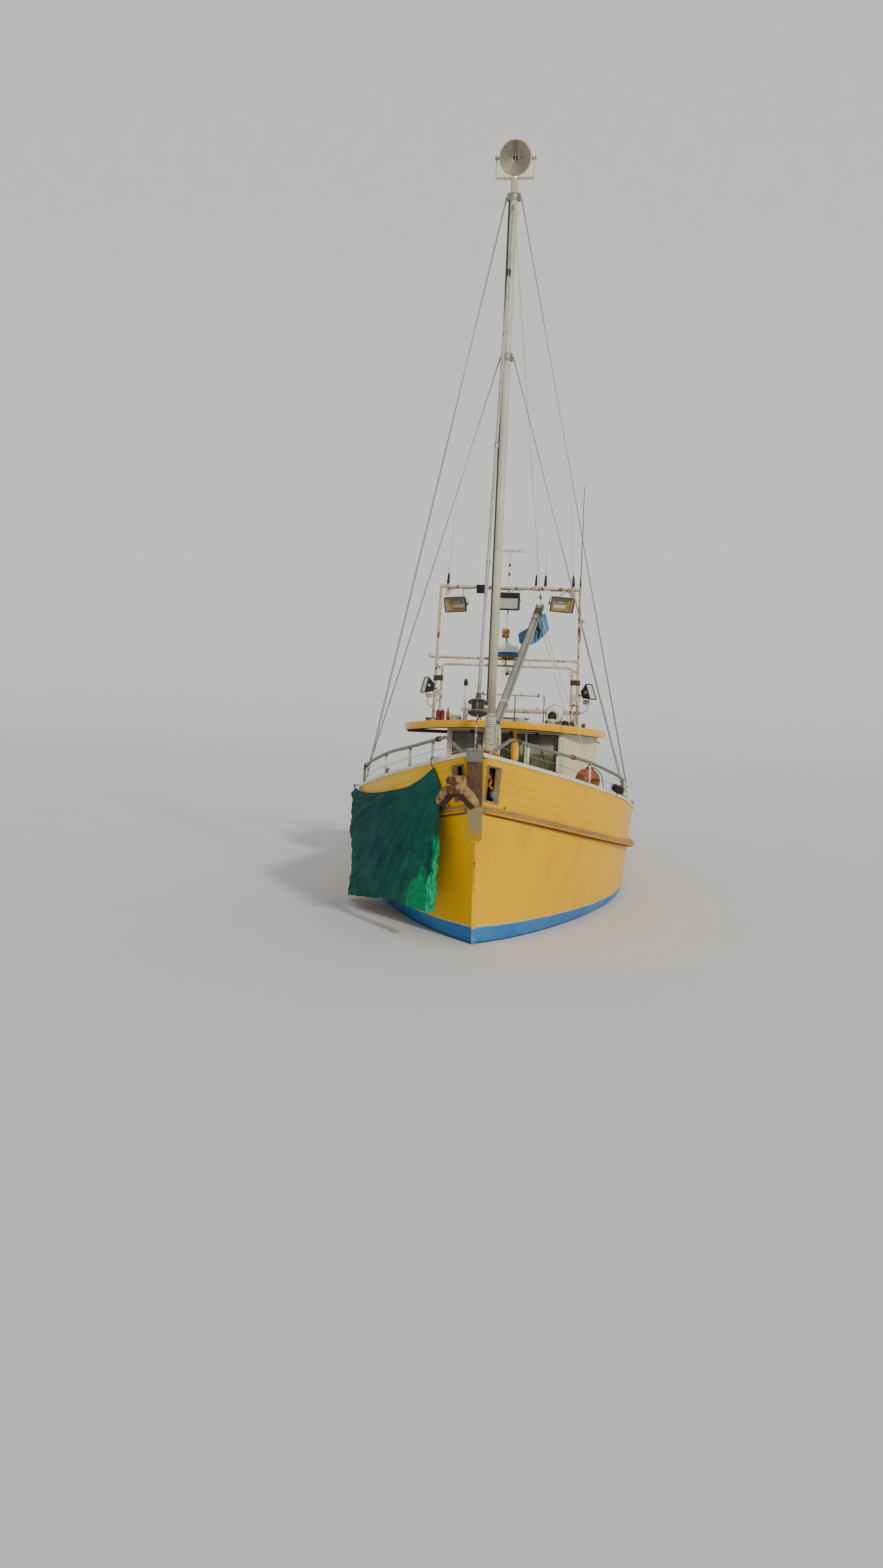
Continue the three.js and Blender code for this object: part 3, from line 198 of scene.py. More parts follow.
def paint(name, base, second=None, rough=0.5, spots=0.0, spot_colour=srgb(112, 66, 34), streaks=0.3, streak_colour=srgb(90, 80, 62),
          grain=0.15, tone=1.6, metal=0.0, coat=0.0, brush=0.0):
    """Old paint: two tones, hanging dirt streaks, rust or wear spots, and a slightly uneven surface."""
    m = Mat(name, Metallic=metal)
    m.set("Coat Weight", coat)
    second = second or tuple(c * 0.82 for c in base)
    broad = m.noise(tone, 4, 0.6)
    col = m.mix(m.ramp(broad, [(0.35, 0), (0.68, 1)]), base, second)
    fine = m.noise(38, 5, 0.65)
    col = m.mix(m.ramp(fine, [(0.35, 0.0), (0.75, 0.28)]), col, tuple(c * 0.72 for c in base))
    if streaks:
        hang = m.noise(1.0, 4, 0.6, vec=m.map((16, 16, 1.1)))
        gate = m.noise(0.7, 2, 0.5)
        s = m.math("MULTIPLY", m.ramp(hang, [(0.56, 0), (0.72, 1)]), m.ramp(gate, [(0.42, 0), (0.62, streaks)]))
        col = m.mix(s, col, streak_colour)
    height = fine
    if spots:
        chip = m.noise(9, 6, 0.72)
        where = m.noise(1.3, 2, 0.5)
        c = m.math("ADD", chip, m.math("MULTIPLY", m.math("SUBTRACT", where, 0.5), 0.5))
        edge = 0.78 - spots * 0.3
        mask = m.ramp(c, [(edge, 0), (edge + 0.03, 1)])
        halo = m.ramp(c, [(edge - 0.09, 0), (edge + 0.02, 0.55)])
        col = m.mix(halo, col, tuple(0.55 * a + 0.45 * b for a, b in zip(base, spot_colour)))
        col = m.mix(mask, col, m.mix(m.noise(60, 3, 0.6), spot_colour, tuple(c * 0.45 for c in spot_colour)))
        height = m.math("SUBTRACT", fine, m.math("MULTIPLY", mask, 0.6))
    m.set("Base Color", col)
    m.set("Roughness", m.ramp(fine, [(0.3, max(0.05, rough - 0.08)), (0.8, min(1, rough + 0.16))]))
    m.bump(height, grain, 0.004)
    return m.m


def timber(name, base, dark, rough=0.8, axis="X", seam=None, gap_colour=(0.02, 0.016, 0.012), grey=0.0, worn=0.5):
    """Bare or worn timber with its grain along an axis, and seams between planks where seam gives their width."""
    m = Mat(name)
    stretch = {"X": (1.2, 26, 26), "Y": (26, 1.2, 26), "Z": (26, 26, 1.2)}[axis]
    grain = m.noise(1.0, 6, 0.68, vec=m.map(stretch), dist=0.6)
    col = m.mix(m.ramp(grain, [(0.32, 0), (0.7, 1)]), base, dark)
    col = m.mix(m.ramp(m.noise(1.4, 3, 0.6), [(0.4, 0), (0.7, worn)]), col, tuple(0.5 * (a + b) + grey for a, b in zip(base, dark)))
    crack = m.noise(1.0, 8, 0.75, vec=m.map(tuple(s * 1.7 for s in stretch)))
    cr = m.ramp(crack, [(0.62, 0), (0.68, 1)])
    col = m.mix(m.math("MULTIPLY", cr, 0.7), col, tuple(c * 0.35 for c in dark))
    h = m.math("SUBTRACT", grain, m.math("MULTIPLY", cr, 0.8))
    if seam:
        x, y, z = m.split()
        across = y if axis == "X" else x
        f = m.math("FRACT", m.math("DIVIDE", across, seam))
        d = m.math("ABSOLUTE", m.math("SUBTRACT", f, 0.5))
        line = m.ramp(d, [(0.5 - 0.006 / seam, 0), (0.5 - 0.002 / seam, 1)])
        col = m.mix(line, col, gap_colour)
        h = m.math("SUBTRACT", h, m.math("MULTIPLY", line, 3))
    m.set("Base Color", col)
    m.set("Roughness", m.ramp(grain, [(0.2, rough - 0.1), (0.8, min(1, rough + 0.12))]))
    m.bump(h, 0.5, 0.003)
    return m.m


def metal_mat(name, base, rough=0.45, metal=0.85, rust=0.0, scale=14, spangle=0.25):
    """Bare or galvanised metal with a spangle, dull patches and rust."""
    m = Mat(name)
    s = m.cells(scale * 4, out="Color")
    grey = m.node("ShaderNodeRGBToBW")
    m.put(grey.inputs[0], s)
    n = m.noise(scale, 5, 0.62)
    col = m.mix(m.ramp(n, [(0.3, 0), (0.7, 1)]), base, tuple(c * 0.72 for c in base))
    col = m.mix(m.math("MULTIPLY", grey.outputs[0], spangle), col, tuple(min(1, c * 1.35) for c in base))
    met = metal
    if rust:
        r = m.noise(5.5, 8, 0.72)
        edge = 0.72 - rust * 0.35
        mask = m.ramp(r, [(edge - 0.05, 0), (edge + 0.06, 1)])
        col = m.mix(mask, col, m.mix(m.noise(40, 4, 0.7), srgb(122, 66, 30), srgb(66, 34, 20)))
        met = m.math("MULTIPLY", m.math("SUBTRACT", 1.0, mask), metal)
    m.set("Metallic", met)
    m.set("Base Color", col)
    m.set("Roughness", m.ramp(n, [(0.3, max(0.1, rough - 0.1)), (0.8, min(1, rough + 0.2))]))
    m.bump(n, 0.25, 0.002)
    return m.m


def rope_mat(name, base, dark, turns=26.0, rough=0.9, strands=3):
    """Laid rope: strands wind round the tube. UV holds metres along and turns round."""
    m = Mat(name)
    u, v, _ = m.split(m.UV)
    phase = m.math("FRACT", m.math("ADD", m.math("MULTIPLY", u, turns), m.math("MULTIPLY", v, strands)))
    ridge = m.math("ABSOLUTE", m.math("SUBTRACT", phase, 0.5))
    fibre = m.noise(220, 3, 0.7)
    broad = m.noise(3.0, 3, 0.6)
    # the grooves between strands are painted darker as shade
    col = m.mix(m.ramp(ridge, [(0.05, 0), (0.45, 1)]), base, dark)
    col = m.mix(m.ramp(broad, [(0.4, 0), (0.75, 0.6)]), col, tuple(c * 0.6 for c in base))
    col = m.mix(m.math("MULTIPLY", fibre, 0.35), col, tuple(min(1, c * 1.4) for c in base))
    m.set("Base Color", col)
    m.set("Roughness", rough)
    m.bump(m.math("ADD", m.math("MULTIPLY", ridge, -1.0), m.math("MULTIPLY", fibre, 0.25)), 0.7, 0.004)
    return m.m


def weave_mat(name, base, dark, scale=240.0, rough=0.85, sheen=0.2, light=None):
    """Woven cloth seen from a little way off: threads across each other and a dull sheen."""
    m = Mat(name)
    m.set("Sheen Weight", sheen)
    a = m.wave(scale, 0.4, 1, direction="X")
    b = m.wave(scale, 0.4, 1, direction="Z")
    threads = m.math("MAXIMUM", a, b)
    broad = m.noise(2.2, 5, 0.65)
    col = m.mix(m.ramp(broad, [(0.3, 0), (0.72, 1)]), base, dark)
    if light:
        col = m.mix(m.ramp(m.noise(7.5, 6, 0.7), [(0.56, 0), (0.8, 0.8)]), col, light)
    col = m.mix(m.math("MULTIPLY", threads, 0.2), col, tuple(c * 0.5 for c in dark))
    m.set("Base Color", col)
    m.set("Roughness", m.ramp(broad, [(0.2, rough - 0.1), (0.8, rough + 0.08)]))
    m.bump(m.math("ADD", threads, m.math("MULTIPLY", m.noise(60, 5, 0.7), 2.0)), 0.35, 0.002)
    return m.m


def glass_mat(name, tint, rough=0.06, dark=0.35):
    """Glazing with a film of salt and dust on it."""
    m = Mat(name)
    n = m.noise(3.0, 5, 0.7)
    film = m.noise(1.0, 4, 0.6, vec=m.map((9, 9, 1.2)))
    m.set("Base Color", m.mix(m.ramp(n, [(0.3, 0), (0.8, 1)]), tint, tuple(c * 0.5 for c in tint)))
    m.set("Roughness", m.ramp(film, [(0.4, rough), (0.8, rough + 0.25)]))
    m.set("IOR", 1.5)
    m.set("Transmission Weight", 1.0 - dark)
    m.bump(film, 0.04, 0.002)
    return m.m


# ---------------------------------------------------------------- the finishes
YELLOW, YELLOW2 = (1.0, 0.575, 0.001), (0.97, 0.505, 0.001)
CREAM = srgb(236, 228, 200)
MATS = {}


def hull_material(name, planks):
    """Gloss yellow with a blue boot-top at the water, its ragged edge, weed, streaks, and plank seams where planks is true.
    UV holds metres along the side and metres up from the deck line."""
    m = Mat(name)
    x, y, z = m.split()
    broad = m.noise(0.55, 4, 0.6)
    col = m.mix(m.ramp(broad, [(0.35, 0), (0.7, 1)]), YELLOW, YELLOW2)
    roller = m.noise(1.0, 4, 0.6, vec=m.map((2.2, 2.2, 0.5)))
    col = m.mix(m.ramp(roller, [(0.5, 0), (0.75, 0.4)]), col, srgb(228, 150, 18))
    fine = m.noise(55, 5, 0.7)
    col = m.mix(m.ramp(fine, [(0.45, 0), (0.85, 0.16)]), col, srgb(190, 122, 20))
    # scuffs and drips
    drip = m.noise(1.0, 5, 0.65, vec=m.map((13, 13, 0.75)))
    gate = m.noise(0.35, 2, 0.5)
    dirty = m.math("MULTIPLY", m.ramp(drip, [(0.6, 0), (0.74, 1)]), m.ramp(gate, [(0.45, 0), (0.65, 0.5)]))
    col = m.mix(dirty, col, srgb(168, 112, 36))
    height = m.math("MULTIPLY", fine, 0.25)
    if planks:
        u, v, _ = m.split(m.UV)
        wob = m.math("MULTIPLY", m.math("SUBTRACT", m.noise(0.9, 2, 0.5), 0.5), 0.02)
        f = m.math("FRACT", m.math("DIVIDE", m.math("ADD", v, wob), 0.135))
        d = m.math("ABSOLUTE", m.math("SUBTRACT", f, 0.5))
        line = m.ramp(d, [(0.462, 0), (0.492, 1)])
        faint = m.ramp(m.noise(1.2, 3, 0.6), [(0.3, 0.25), (0.62, 0.85)])
        line = m.math("MULTIPLY", line, faint)
        col = m.mix(m.math("MULTIPLY", line, 0.75), col, srgb(150, 96, 18))
        butts = m.math("ABSOLUTE", m.math("SUBTRACT", m.math("FRACT", m.math("ADD", m.math("DIVIDE", u, 3.4), m.math("MULTIPLY", m.math("FLOOR", m.math("DIVIDE", v, 0.135)), 0.37))), 0.5))
        butt = m.math("MULTIPLY", m.ramp(butts, [(0.4982, 0), (0.4992, 1)]), 0.6)
        col = m.mix(butt, col, srgb(140, 88, 22))
        height = m.math("SUBTRACT", height, m.math("MULTIPLY", line, 1.4))
    else:
        # boot-top: its upper edge rises to the bow
        edge = m.math("ADD", 0.155, m.math("MULTIPLY", m.between(x, 1.0, 7.6), 0.10))
        rag = m.math("MULTIPLY", m.math("SUBTRACT", m.noise(2.3, 6, 0.75), 0.5), 0.05)
        above = m.math("SUBTRACT", z, m.math("ADD", edge, rag))
        white = m.math("MULTIPLY", m.ramp(m.math("ABSOLUTE", m.math("SUBTRACT", above, 0.008)), [(0.006, 1), (0.02, 0)]), m.ramp(m.noise(9, 4, 0.7), [(0.35, 0), (0.55, 0.85)]))
        blue = m.mix(m.ramp(m.noise(1.6, 6, 0.7), [(0.3, 0), (0.7, 1)]), srgb(64, 112, 168), srgb(92, 138, 186))
        scratch = m.noise(1.0, 6, 0.8, vec=m.map((3.5, 3.5, 26)), dist=1.2)
        blue = m.mix(m.ramp(scratch, [(0.6, 0), (0.72, 0.55)]), blue, srgb(150, 178, 204))
        blue = m.mix(m.ramp(m.noise(12, 6, 0.75), [(0.58, 0), (0.7, 0.5)]), blue, srgb(36, 66, 112))
        weed = m.math("ADD", m.math("SUBTRACT", 0.03, z), m.math("MULTIPLY", m.math("SUBTRACT", m.noise(5, 5, 0.7), 0.5), 0.05))
        blue = m.mix(m.ramp(weed, [(0.0, 0), (0.02, 0.85)]), blue, m.mix(m.noise(24, 5, 0.7), srgb(62, 52, 22), srgb(40, 44, 26)))
        deep = m.mix(m.ramp(m.noise(3.2, 6, 0.72), [(0.35, 0), (0.65, 1)]), srgb(40, 76, 110), srgb(46, 70, 62))
        blue = m.mix(m.ramp(z, [(0.0, 1), (0.001, 0)]), blue, blue)
        under = m.between(z, -0.16, -0.03, 1.0, 0.0)
        blue = m.mix(under, blue, deep)
        is_blue = m.between(above, -0.003, 0.003, 1.0, 0.0)
        col = m.mix(is_blue, col, blue)
        col = m.mix(white, col, srgb(214, 206, 176))
        # the hull's own rubbed plank lines, very faint
        u, v, _ = m.split(m.UV)
        f = m.math("ABSOLUTE", m.math("SUBTRACT", m.math("FRACT", m.math("DIVIDE", v, 0.17)), 0.5))
        line = m.math("MULTIPLY", m.ramp(f, [(0.46, 0), (0.495, 1)]), m.ramp(m.noise(1.0, 3, 0.6), [(0.42, 0), (0.66, 0.5)]))
        height = m.math("SUBTRACT", height, m.math("MULTIPLY", line, 0.7))
        height = m.math("ADD", height, m.math("MULTIPLY", m.math("MULTIPLY", is_blue, m.noise(30, 6, 0.75)), 0.8))
    big = m.noise(0.8, 2, 0.5)
    height = m.math("ADD", height, m.math("MULTIPLY", big, 2.2))
    m.set("Base Color", col)
    m.set("Roughness", m.ramp(m.noise(3.0, 4, 0.65), [(0.3, 0.30), (0.8, 0.5)]))
    m.set("Specular IOR Level", 0.12)
    m.set("Coat Weight", 0.02)
    m.set("Coat Roughness", 0.22)
    m.bump(height, 0.16, 0.01)
    return m.m


MATS["hull"] = hull_material("hull_paint", False)
MATS["bulwark"] = hull_material("bulwark_paint", True)
MATS["yellow"] = paint("yellow_paint", YELLOW, YELLOW2, rough=0.38, streaks=0.25, streak_colour=srgb(150, 100, 30), coat=0.1)
MATS["fascia"] = paint("fascia_paint", srgb(252, 196, 40), srgb(246, 178, 26), rough=0.34, streaks=0.35, streak_colour=srgb(176, 120, 30), coat=0.15)
MATS["antifouling"] = paint("antifouling", srgb(46, 84, 124), srgb(40, 66, 72), rough=0.85, streaks=0.3, streak_colour=srgb(70, 66, 36), spots=0.25, spot_colour=srgb(70, 74, 48), tone=3)
MATS["deck"] = timber("deck_planks", srgb(150, 152, 146), srgb(112, 114, 108), 0.8, "X", 0.11, (0.03, 0.03, 0.03), worn=0.6)
MATS["drum_metal"] = paint("drum_metal", srgb(112, 104, 90), srgb(78, 72, 62), rough=.45, spots=.4, streaks=.5, metal=.35, tone=6)
MATS["white"] = paint("white_paint", srgb(240, 236, 220), srgb(222, 214, 192), rough=0.5, spots=0.3, spot_colour=srgb(120, 86, 52), streaks=0.35)
MATS["worn_timber"] = timber("worn_timber", srgb(150, 140, 124), srgb(104, 94, 80), 0.85, "X", None, grey=0.03)
# dark timber for the breasthook and locker board behind the hawse openings: it paints the shade inside them
MATS["locker_shade_timber"] = timber("locker_shade_timber", srgb(96, 76, 58), srgb(48, 34, 26), 0.85, "Z", None)
MATS["frame_timber"] = timber("frame_timber", srgb(168, 150, 120), srgb(112, 96, 74), 0.85, "Z", None)
MATS["galvanised"] = metal_mat("galvanised_steel", srgb(150, 148, 140), 0.5, 0.75, 0.22)
MATS["rusty"] = paint("rusty_iron", srgb(164, 132, 96), srgb(120, 88, 58), rough=0.85, spots=0.8, spot_colour=srgb(104, 58, 30), streaks=0.4, grain=0.5, tone=6)
MATS["grey"] = paint("grey_paint", srgb(132, 138, 138), srgb(112, 116, 116), rough=0.55, spots=0.45, streaks=0.4)
MATS["orange"] = paint("orange_plastic", srgb(166, 98, 64), srgb(128, 70, 44), rough=0.5, streaks=0.3, spots=0.2, spot_colour=srgb(120, 70, 46), tone=5)
MATS["mast"] = paint("mast_paint", srgb(222, 214, 194), srgb(190, 184, 168), rough=0.45, spots=0.25, spot_colour=srgb(134, 96, 58), streaks=0.6, streak_colour=srgb(126, 110, 84), tone=1.1)
MATS["mast_grey"] = metal_mat("mast_sheath", srgb(176, 174, 166), 0.42, 0.6, 0.08)
MATS["dark"] = paint("dark_metal", srgb(34, 34, 36), srgb(24, 24, 24), rough=0.6, streaks=0.2, streak_colour=srgb(80, 72, 60), spots=0.2, spot_colour=srgb(90, 60, 40))
MATS["black_rubber"] = paint("black_rubber", srgb(30, 30, 30), srgb(44, 42, 40), rough=0.85, streaks=0.2, spots=0.0, tone=5)
MATS["lamp"] = paint("lamp_metal", srgb(214, 196, 152), srgb(190, 166, 118), rough=0.45, spots=0.45, streaks=0.5, streak_colour=srgb(120, 84, 48), tone=4)
MATS["chrome"] = metal_mat("lamp_rim", srgb(226, 218, 196), 0.3, 0.55, 0.12)
MATS["wire"] = metal_mat("wire_rope", srgb(180, 178, 170), 0.45, 0.8, 0.1, scale=60)
MATS["steel"] = metal_mat("fitting_steel", srgb(192, 190, 182), 0.35, 0.9, 0.1)
MATS["silver"] = paint("silver_alloy", srgb(206, 202, 190), srgb(176, 172, 160), rough=0.42, streaks=0.4, metal=0.25)
MATS["boom"] = paint("boom_paint", srgb(168, 164, 154), srgb(146, 142, 132), rough=0.45, spots=0.3, spot_colour=srgb(120, 96, 66), streaks=0.2)
MATS["boom_dark"] = paint("boom_edge", srgb(84, 80, 74), srgb(62, 58, 54), rough=0.6, spots=0.3)
MATS["roof"] = paint("roof_top", srgb(168, 176, 178), srgb(140, 150, 154), rough=0.7, streaks=0.3, spots=0.25, spot_colour=srgb(120, 110, 90))
MATS["cream"] = paint("cream_paint", CREAM, srgb(224, 214, 184), rough=0.4, spots=0.16, spot_colour=srgb(146, 100, 56), streaks=0.45, streak_colour=srgb(150, 124, 82), coat=0.05)
MATS["trim"] = paint("window_trim", srgb(206, 200, 184), srgb(178, 170, 150), rough=0.5, spots=0.3, streaks=0.3)
MATS["seat"] = paint("seat_leather", srgb(34, 42, 54), srgb(26, 32, 42), rough=0.5, streaks=0.0, grain=0.4, tone=8)
MATS["engine"] = paint("engine_iron", srgb(96, 118, 108), srgb(70, 88, 82), rough=0.55, spots=0.3)
MATS["gantry"] = paint("gantry_paint", srgb(220, 210, 182), srgb(196, 184, 154), rough=0.5, spots=0.62, spot_colour=srgb(122, 70, 34), streaks=0.6, streak_colour=srgb(140, 96, 56), tone=4)
MATS["plastic"] = paint("white_plastic", srgb(240, 238, 228), srgb(226, 222, 208), rough=0.3, streaks=0.25, coat=0.2)
MATS["blue"] = paint("blue_band", srgb(44, 88, 140), srgb(34, 70, 118), rough=0.4, streaks=0.2)
MATS["red"] = paint("red_paint", srgb(126, 46, 40), srgb(98, 36, 32), rough=0.5, spots=0.5, streaks=0.4, tone=4)
MATS["glass_old"] = glass_mat("old_glass", srgb(120, 128, 118), 0.1, 0.3)
MATS["net"] = rope_mat("net_twine", srgb(44, 116, 84), srgb(16, 54, 42), 40)
MATS["net_dark"] = rope_mat("net_float_line", srgb(30, 58, 54), srgb(12, 26, 28), 30)
MATS["bronze"] = metal_mat("bronze", srgb(160, 122, 66), 0.38, 0.95, 0.0)
MATS["rope"] = rope_mat("rope_pale", srgb(236, 230, 210), srgb(170, 160, 134), 22)
MATS["rope_dark"] = rope_mat("rope_dark", srgb(96, 84, 64), srgb(50, 42, 32), 26)
MATS["rope_brown"] = rope_mat("rope_brown", srgb(158, 104, 56), srgb(98, 58, 30), 26)
MATS["rope_blue"] = rope_mat("rope_blue", srgb(58, 108, 132), srgb(30, 60, 84), 26)
MATS["rope_orange"] = rope_mat("rope_orange", srgb(196, 134, 74), srgb(136, 82, 44), 26)
MATS["cloth_blue"] = weave_mat("blue_cloth", srgb(120, 158, 190), srgb(64, 100, 136), 150)
MATS["cloth_black"] = weave_mat("black_cloth", srgb(34, 38, 46), srgb(18, 20, 26), 150)
MATS["glass_dark"] = glass_mat("window_glass", srgb(226, 230, 216), 0.04, 0.04)
MATS["lens"] = glass_mat("lamp_lens", srgb(226, 226, 214), 0.08, 0.1)
MATS["fender"] = paint("fender_yellow", srgb(236, 190, 34), srgb(214, 158, 24), rough=0.55, streaks=0.3, spots=0.25, spot_colour=srgb(104, 76, 40), tone=5)
MATS["fish_box"] = paint("white_box", srgb(226, 222, 206), srgb(200, 194, 176), rough=0.55, streaks=0.4, spots=0.25, spot_colour=srgb(120, 92, 60))
MATS["green_bundle"] = rope_mat("green_bundle", srgb(40, 66, 40), srgb(16, 28, 18), 18)


# ================================================================ mesh helpers
def mesh_object(name, verts, faces, material, smooth=True, uvs=None, body="boat"):
    """A mesh in the frame's own coordinates. uvs gives one pair for each vertex."""
    me = bpy.data.meshes.new(name)
    me.from_pydata([tuple(map(float, v)) for v in verts], [], [tuple(int(i) for i in f) for f in faces])
    if uvs is not None:
        layer = me.uv_layers.new(name="UVMap")
        idx = np.empty(len(me.loops), np.int32)
        me.loops.foreach_get("vertex_index", idx)
        layer.data.foreach_set("uv", np.asarray(uvs, np.float32)[idx].ravel())
    me.materials.append(MATS[material] if isinstance(material, str) else material)
    me.polygons.foreach_set("use_smooth", [smooth] * len(me.polygons))
    me.update()
    me.validate()
    o = bpy.data.objects.new(name, me)
    COLLECTION.objects.link(o)
    if body:
        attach(o, body)
    return o


class Build:
    """Collects many small shapes with their finishes into one joined mesh."""

    def __init__(self, name, body="boat"):
        self.name, self.body = name, body
        self.v, self.f, self.m, self.s, self.uv, self.mats = [], [], [], [], [], []

    def add(self, verts, faces, material, smooth=False, uvs=None):
        base = len(self.v)
        if material not in self.mats:
            self.mats.append(material)
        k = self.mats.index(material)
        self.v += [tuple(map(float, p)) for p in verts]
        self.uv += [tuple(q) for q in uvs] if uvs is not None else [(0.0, 0.0)] * len(verts)
        self.f += [tuple(base + i for i in f) for f in faces]
        self.m += [k] * len(faces)
        self.s += [smooth] * len(faces) if isinstance(smooth, bool) else list(smooth)

    def take(self, bm, material, smooth=False, matrix=None):
        bm.verts.ensure_lookup_table()
        bm.verts.index_update()
        vs = [(matrix @ v.co if matrix else v.co) for v in bm.verts]
        self.add(vs, [[v.index for v in f.verts] for f in bm.faces], material, smooth)
        bm.free()

    def make(self, bevel=0.0, replaces=(), smooth_angle=None, segments=2):
        me = bpy.data.meshes.new(self.name)
        me.from_pydata(self.v, [], self.f)
        layer = me.uv_layers.new(name="UVMap")
        idx = np.empty(len(me.loops), np.int32)
        me.loops.foreach_get("vertex_index", idx)
        layer.data.foreach_set("uv", np.asarray(self.uv, np.float32)[idx].ravel())
        for k in self.mats:
            me.materials.append(MATS[k])
        me.polygons.foreach_set("material_index", self.m)
        me.polygons.foreach_set("use_smooth", self.s)
        me.update()
        me.validate()
        o = bpy.data.objects.new(self.name, me)
        COLLECTION.objects.link(o)
        if bevel:
            b = o.modifiers.new("edges", "BEVEL")
            b.width, b.segments, b.limit_method, b.angle_limit, b.harden_normals = bevel, segments, "ANGLE", R(40), False
        if self.body:
            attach(o, self.body)
        if replaces:
            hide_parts(*replaces)
        return o

    # -- shapes
    def box(self, lo, hi, material, matrix=None, bevel=0.0):
        bm = bmesh.new()
        bmesh.ops.create_cube(bm, size=1.0)
        size = Vector(hi) - Vector(lo)
        mid = (Vector(hi) + Vector(lo)) / 2
        for v in bm.verts:
            v.co = Vector((v.co.x * size.x, v.co.y * size.y, v.co.z * size.z))
        if bevel:
            bmesh.ops.bevel(bm, geom=bm.edges[:], offset=min(bevel, min(map(abs, size)) * 0.45), segments=2, profile=0.5, affect="EDGES")
        for v in bm.verts:
            v.co += mid
        self.take(bm, material, bool(bevel), matrix)

    def obox(self, centre, size, material, rot=(0, 0, 0), bevel=0.004, quat=None):
        q = quat or Matrix.Rotation(rot[2], 4, "Z").to_quaternion() @ Matrix.Rotation(rot[1], 4, "Y").to_quaternion() @ Matrix.Rotation(rot[0], 4, "X").to_quaternion()
        m = Matrix.Translation(Vector(centre)) @ q.to_matrix().to_4x4()
        h = Vector(size) / 2
        self.box(-h, h, material, m, bevel)

    def tube(self, points, r, material, sides=10, caps=True, closed=False, flat=None):
        """A tube along points; r may be a number or one for each point. UV: metres along, turns round."""
        pts = [Vector(p) for p in points]
        n = len(pts)
        rs = list(r) if hasattr(r, "__len__") else [r] * n
        tang = []
        for i in range(n):
            a, b = pts[i - 1] if i > 0 or closed else pts[i], pts[(i + 1) % n] if i < n - 1 or closed else pts[i]
            t = b - a
            tang.append(t.normalized() if t.length > 1e-9 else Vector((0, 0, 1)))
        up = Vector((0, 0, 1)) if abs(tang[0].z) < 0.9 else Vector((1, 0, 0))
        nx = tang[0].cross(up).normalized()
        verts, uvs, length = [], [], 0.0
        for i in range(n):
            if i:
                ax = tang[i - 1].cross(tang[i])
                if ax.length > 1e-8:
                    nx = Quaternion(ax.normalized(), tang[i - 1].angle(tang[i])) @ nx
                length += (pts[i] - pts[i - 1]).length
            nx = (nx - tang[i] * nx.dot(tang[i])).normalized()
            ny = tang[i].cross(nx)
            for k in range(sides + 1):
                a = 2 * math.pi * k / sides
                d = nx * math.cos(a) + ny * math.sin(a) * (flat or 1.0)
                verts.append(pts[i] + d * rs[i])
                uvs.append((length, k / sides))
        w = sides + 1
        faces = []
        rings = n if closed else n - 1
        for i in range(rings):
            j = (i + 1) % n
            for k in range(sides):
                faces.append((i * w + k, i * w + k + 1, j * w + k + 1, j * w + k))
        smooth = [True] * len(faces)
        if caps and not closed:
            faces.append([k for k in range(sides)][::-1])
            faces.append([(n - 1) * w + k for k in range(sides)])
            smooth += [False, False]
        self.add(verts, faces, material, smooth, uvs)

    def rod(self, a, b, r, material, sides=12, r2=None):
        a, b = Vector(a), Vector(b)
        self.tube([a, b], [r, r if r2 is None else r2], material, sides)

    def turned(self, profile, centre, axis, material, sides=32, smooth=True):
        """Surface of revolution; profile rows are (radius, distance along the axis)."""
        ax = Vector(axis).normalized()
        q = Vector((0, 0, 1)).rotation_difference(ax)
        c = Vector(centre)
        verts, faces, uvs = [], [], []
        for r, h in profile:
            for k in range(sides):
                a = 2 * math.pi * k / sides
                verts.append(c + q @ Vector((r * math.cos(a), r * math.sin(a), h)))
                uvs.append((h, k / sides))
        for i in range(len(profile) - 1):
            for k in range(sides):
                k2 = (k + 1) % sides
                faces.append((i * sides + k, i * sides + k2, (i + 1) * sides + k2, (i + 1) * sides + k))
        flat = []
        if profile[0][0] > 1e-6:
            faces.append(list(range(sides))[::-1])
            flat.append(1)
        if profile[-1][0] > 1e-6:
            faces.append([(len(profile) - 1) * sides + k for k in range(sides)])
            flat.append(1)
        bm = bmesh.new()
        vs = [bm.verts.new(v) for v in verts]
        for f in faces:
            try:
                bm.faces.new([vs[i] for i in f])
            except ValueError:
                pass
        bmesh.ops.remove_doubles(bm, verts=bm.verts, dist=1e-6)
        bmesh.ops.recalc_face_normals(bm, faces=bm.faces)
        self.take(bm, material, smooth)

    def ball(self, c, r, material, scale=(1, 1, 1), seg=20):
        bm = bmesh.new()
        bmesh.ops.create_uvsphere(bm, u_segments=seg, v_segments=seg // 2 + 2, radius=r)
        for v in bm.verts:
            v.co = Vector((v.co.x * scale[0], v.co.y * scale[1], v.co.z * scale[2])) + Vector(c)
        self.take(bm, material, True)

    def torus(self, c, axis, R0, r, material, seg=28, sides=10):
        ax = Vector(axis).normalized()
        q = Vector((0, 0, 1)).rotation_difference(ax)
        pts = [Vector(c) + q @ Vector((R0 * math.cos(2 * math.pi * k / seg), R0 * math.sin(2 * math.pi * k / seg), 0)) for k in range(seg)]
        self.tube(pts, r, material, sides, closed=True)

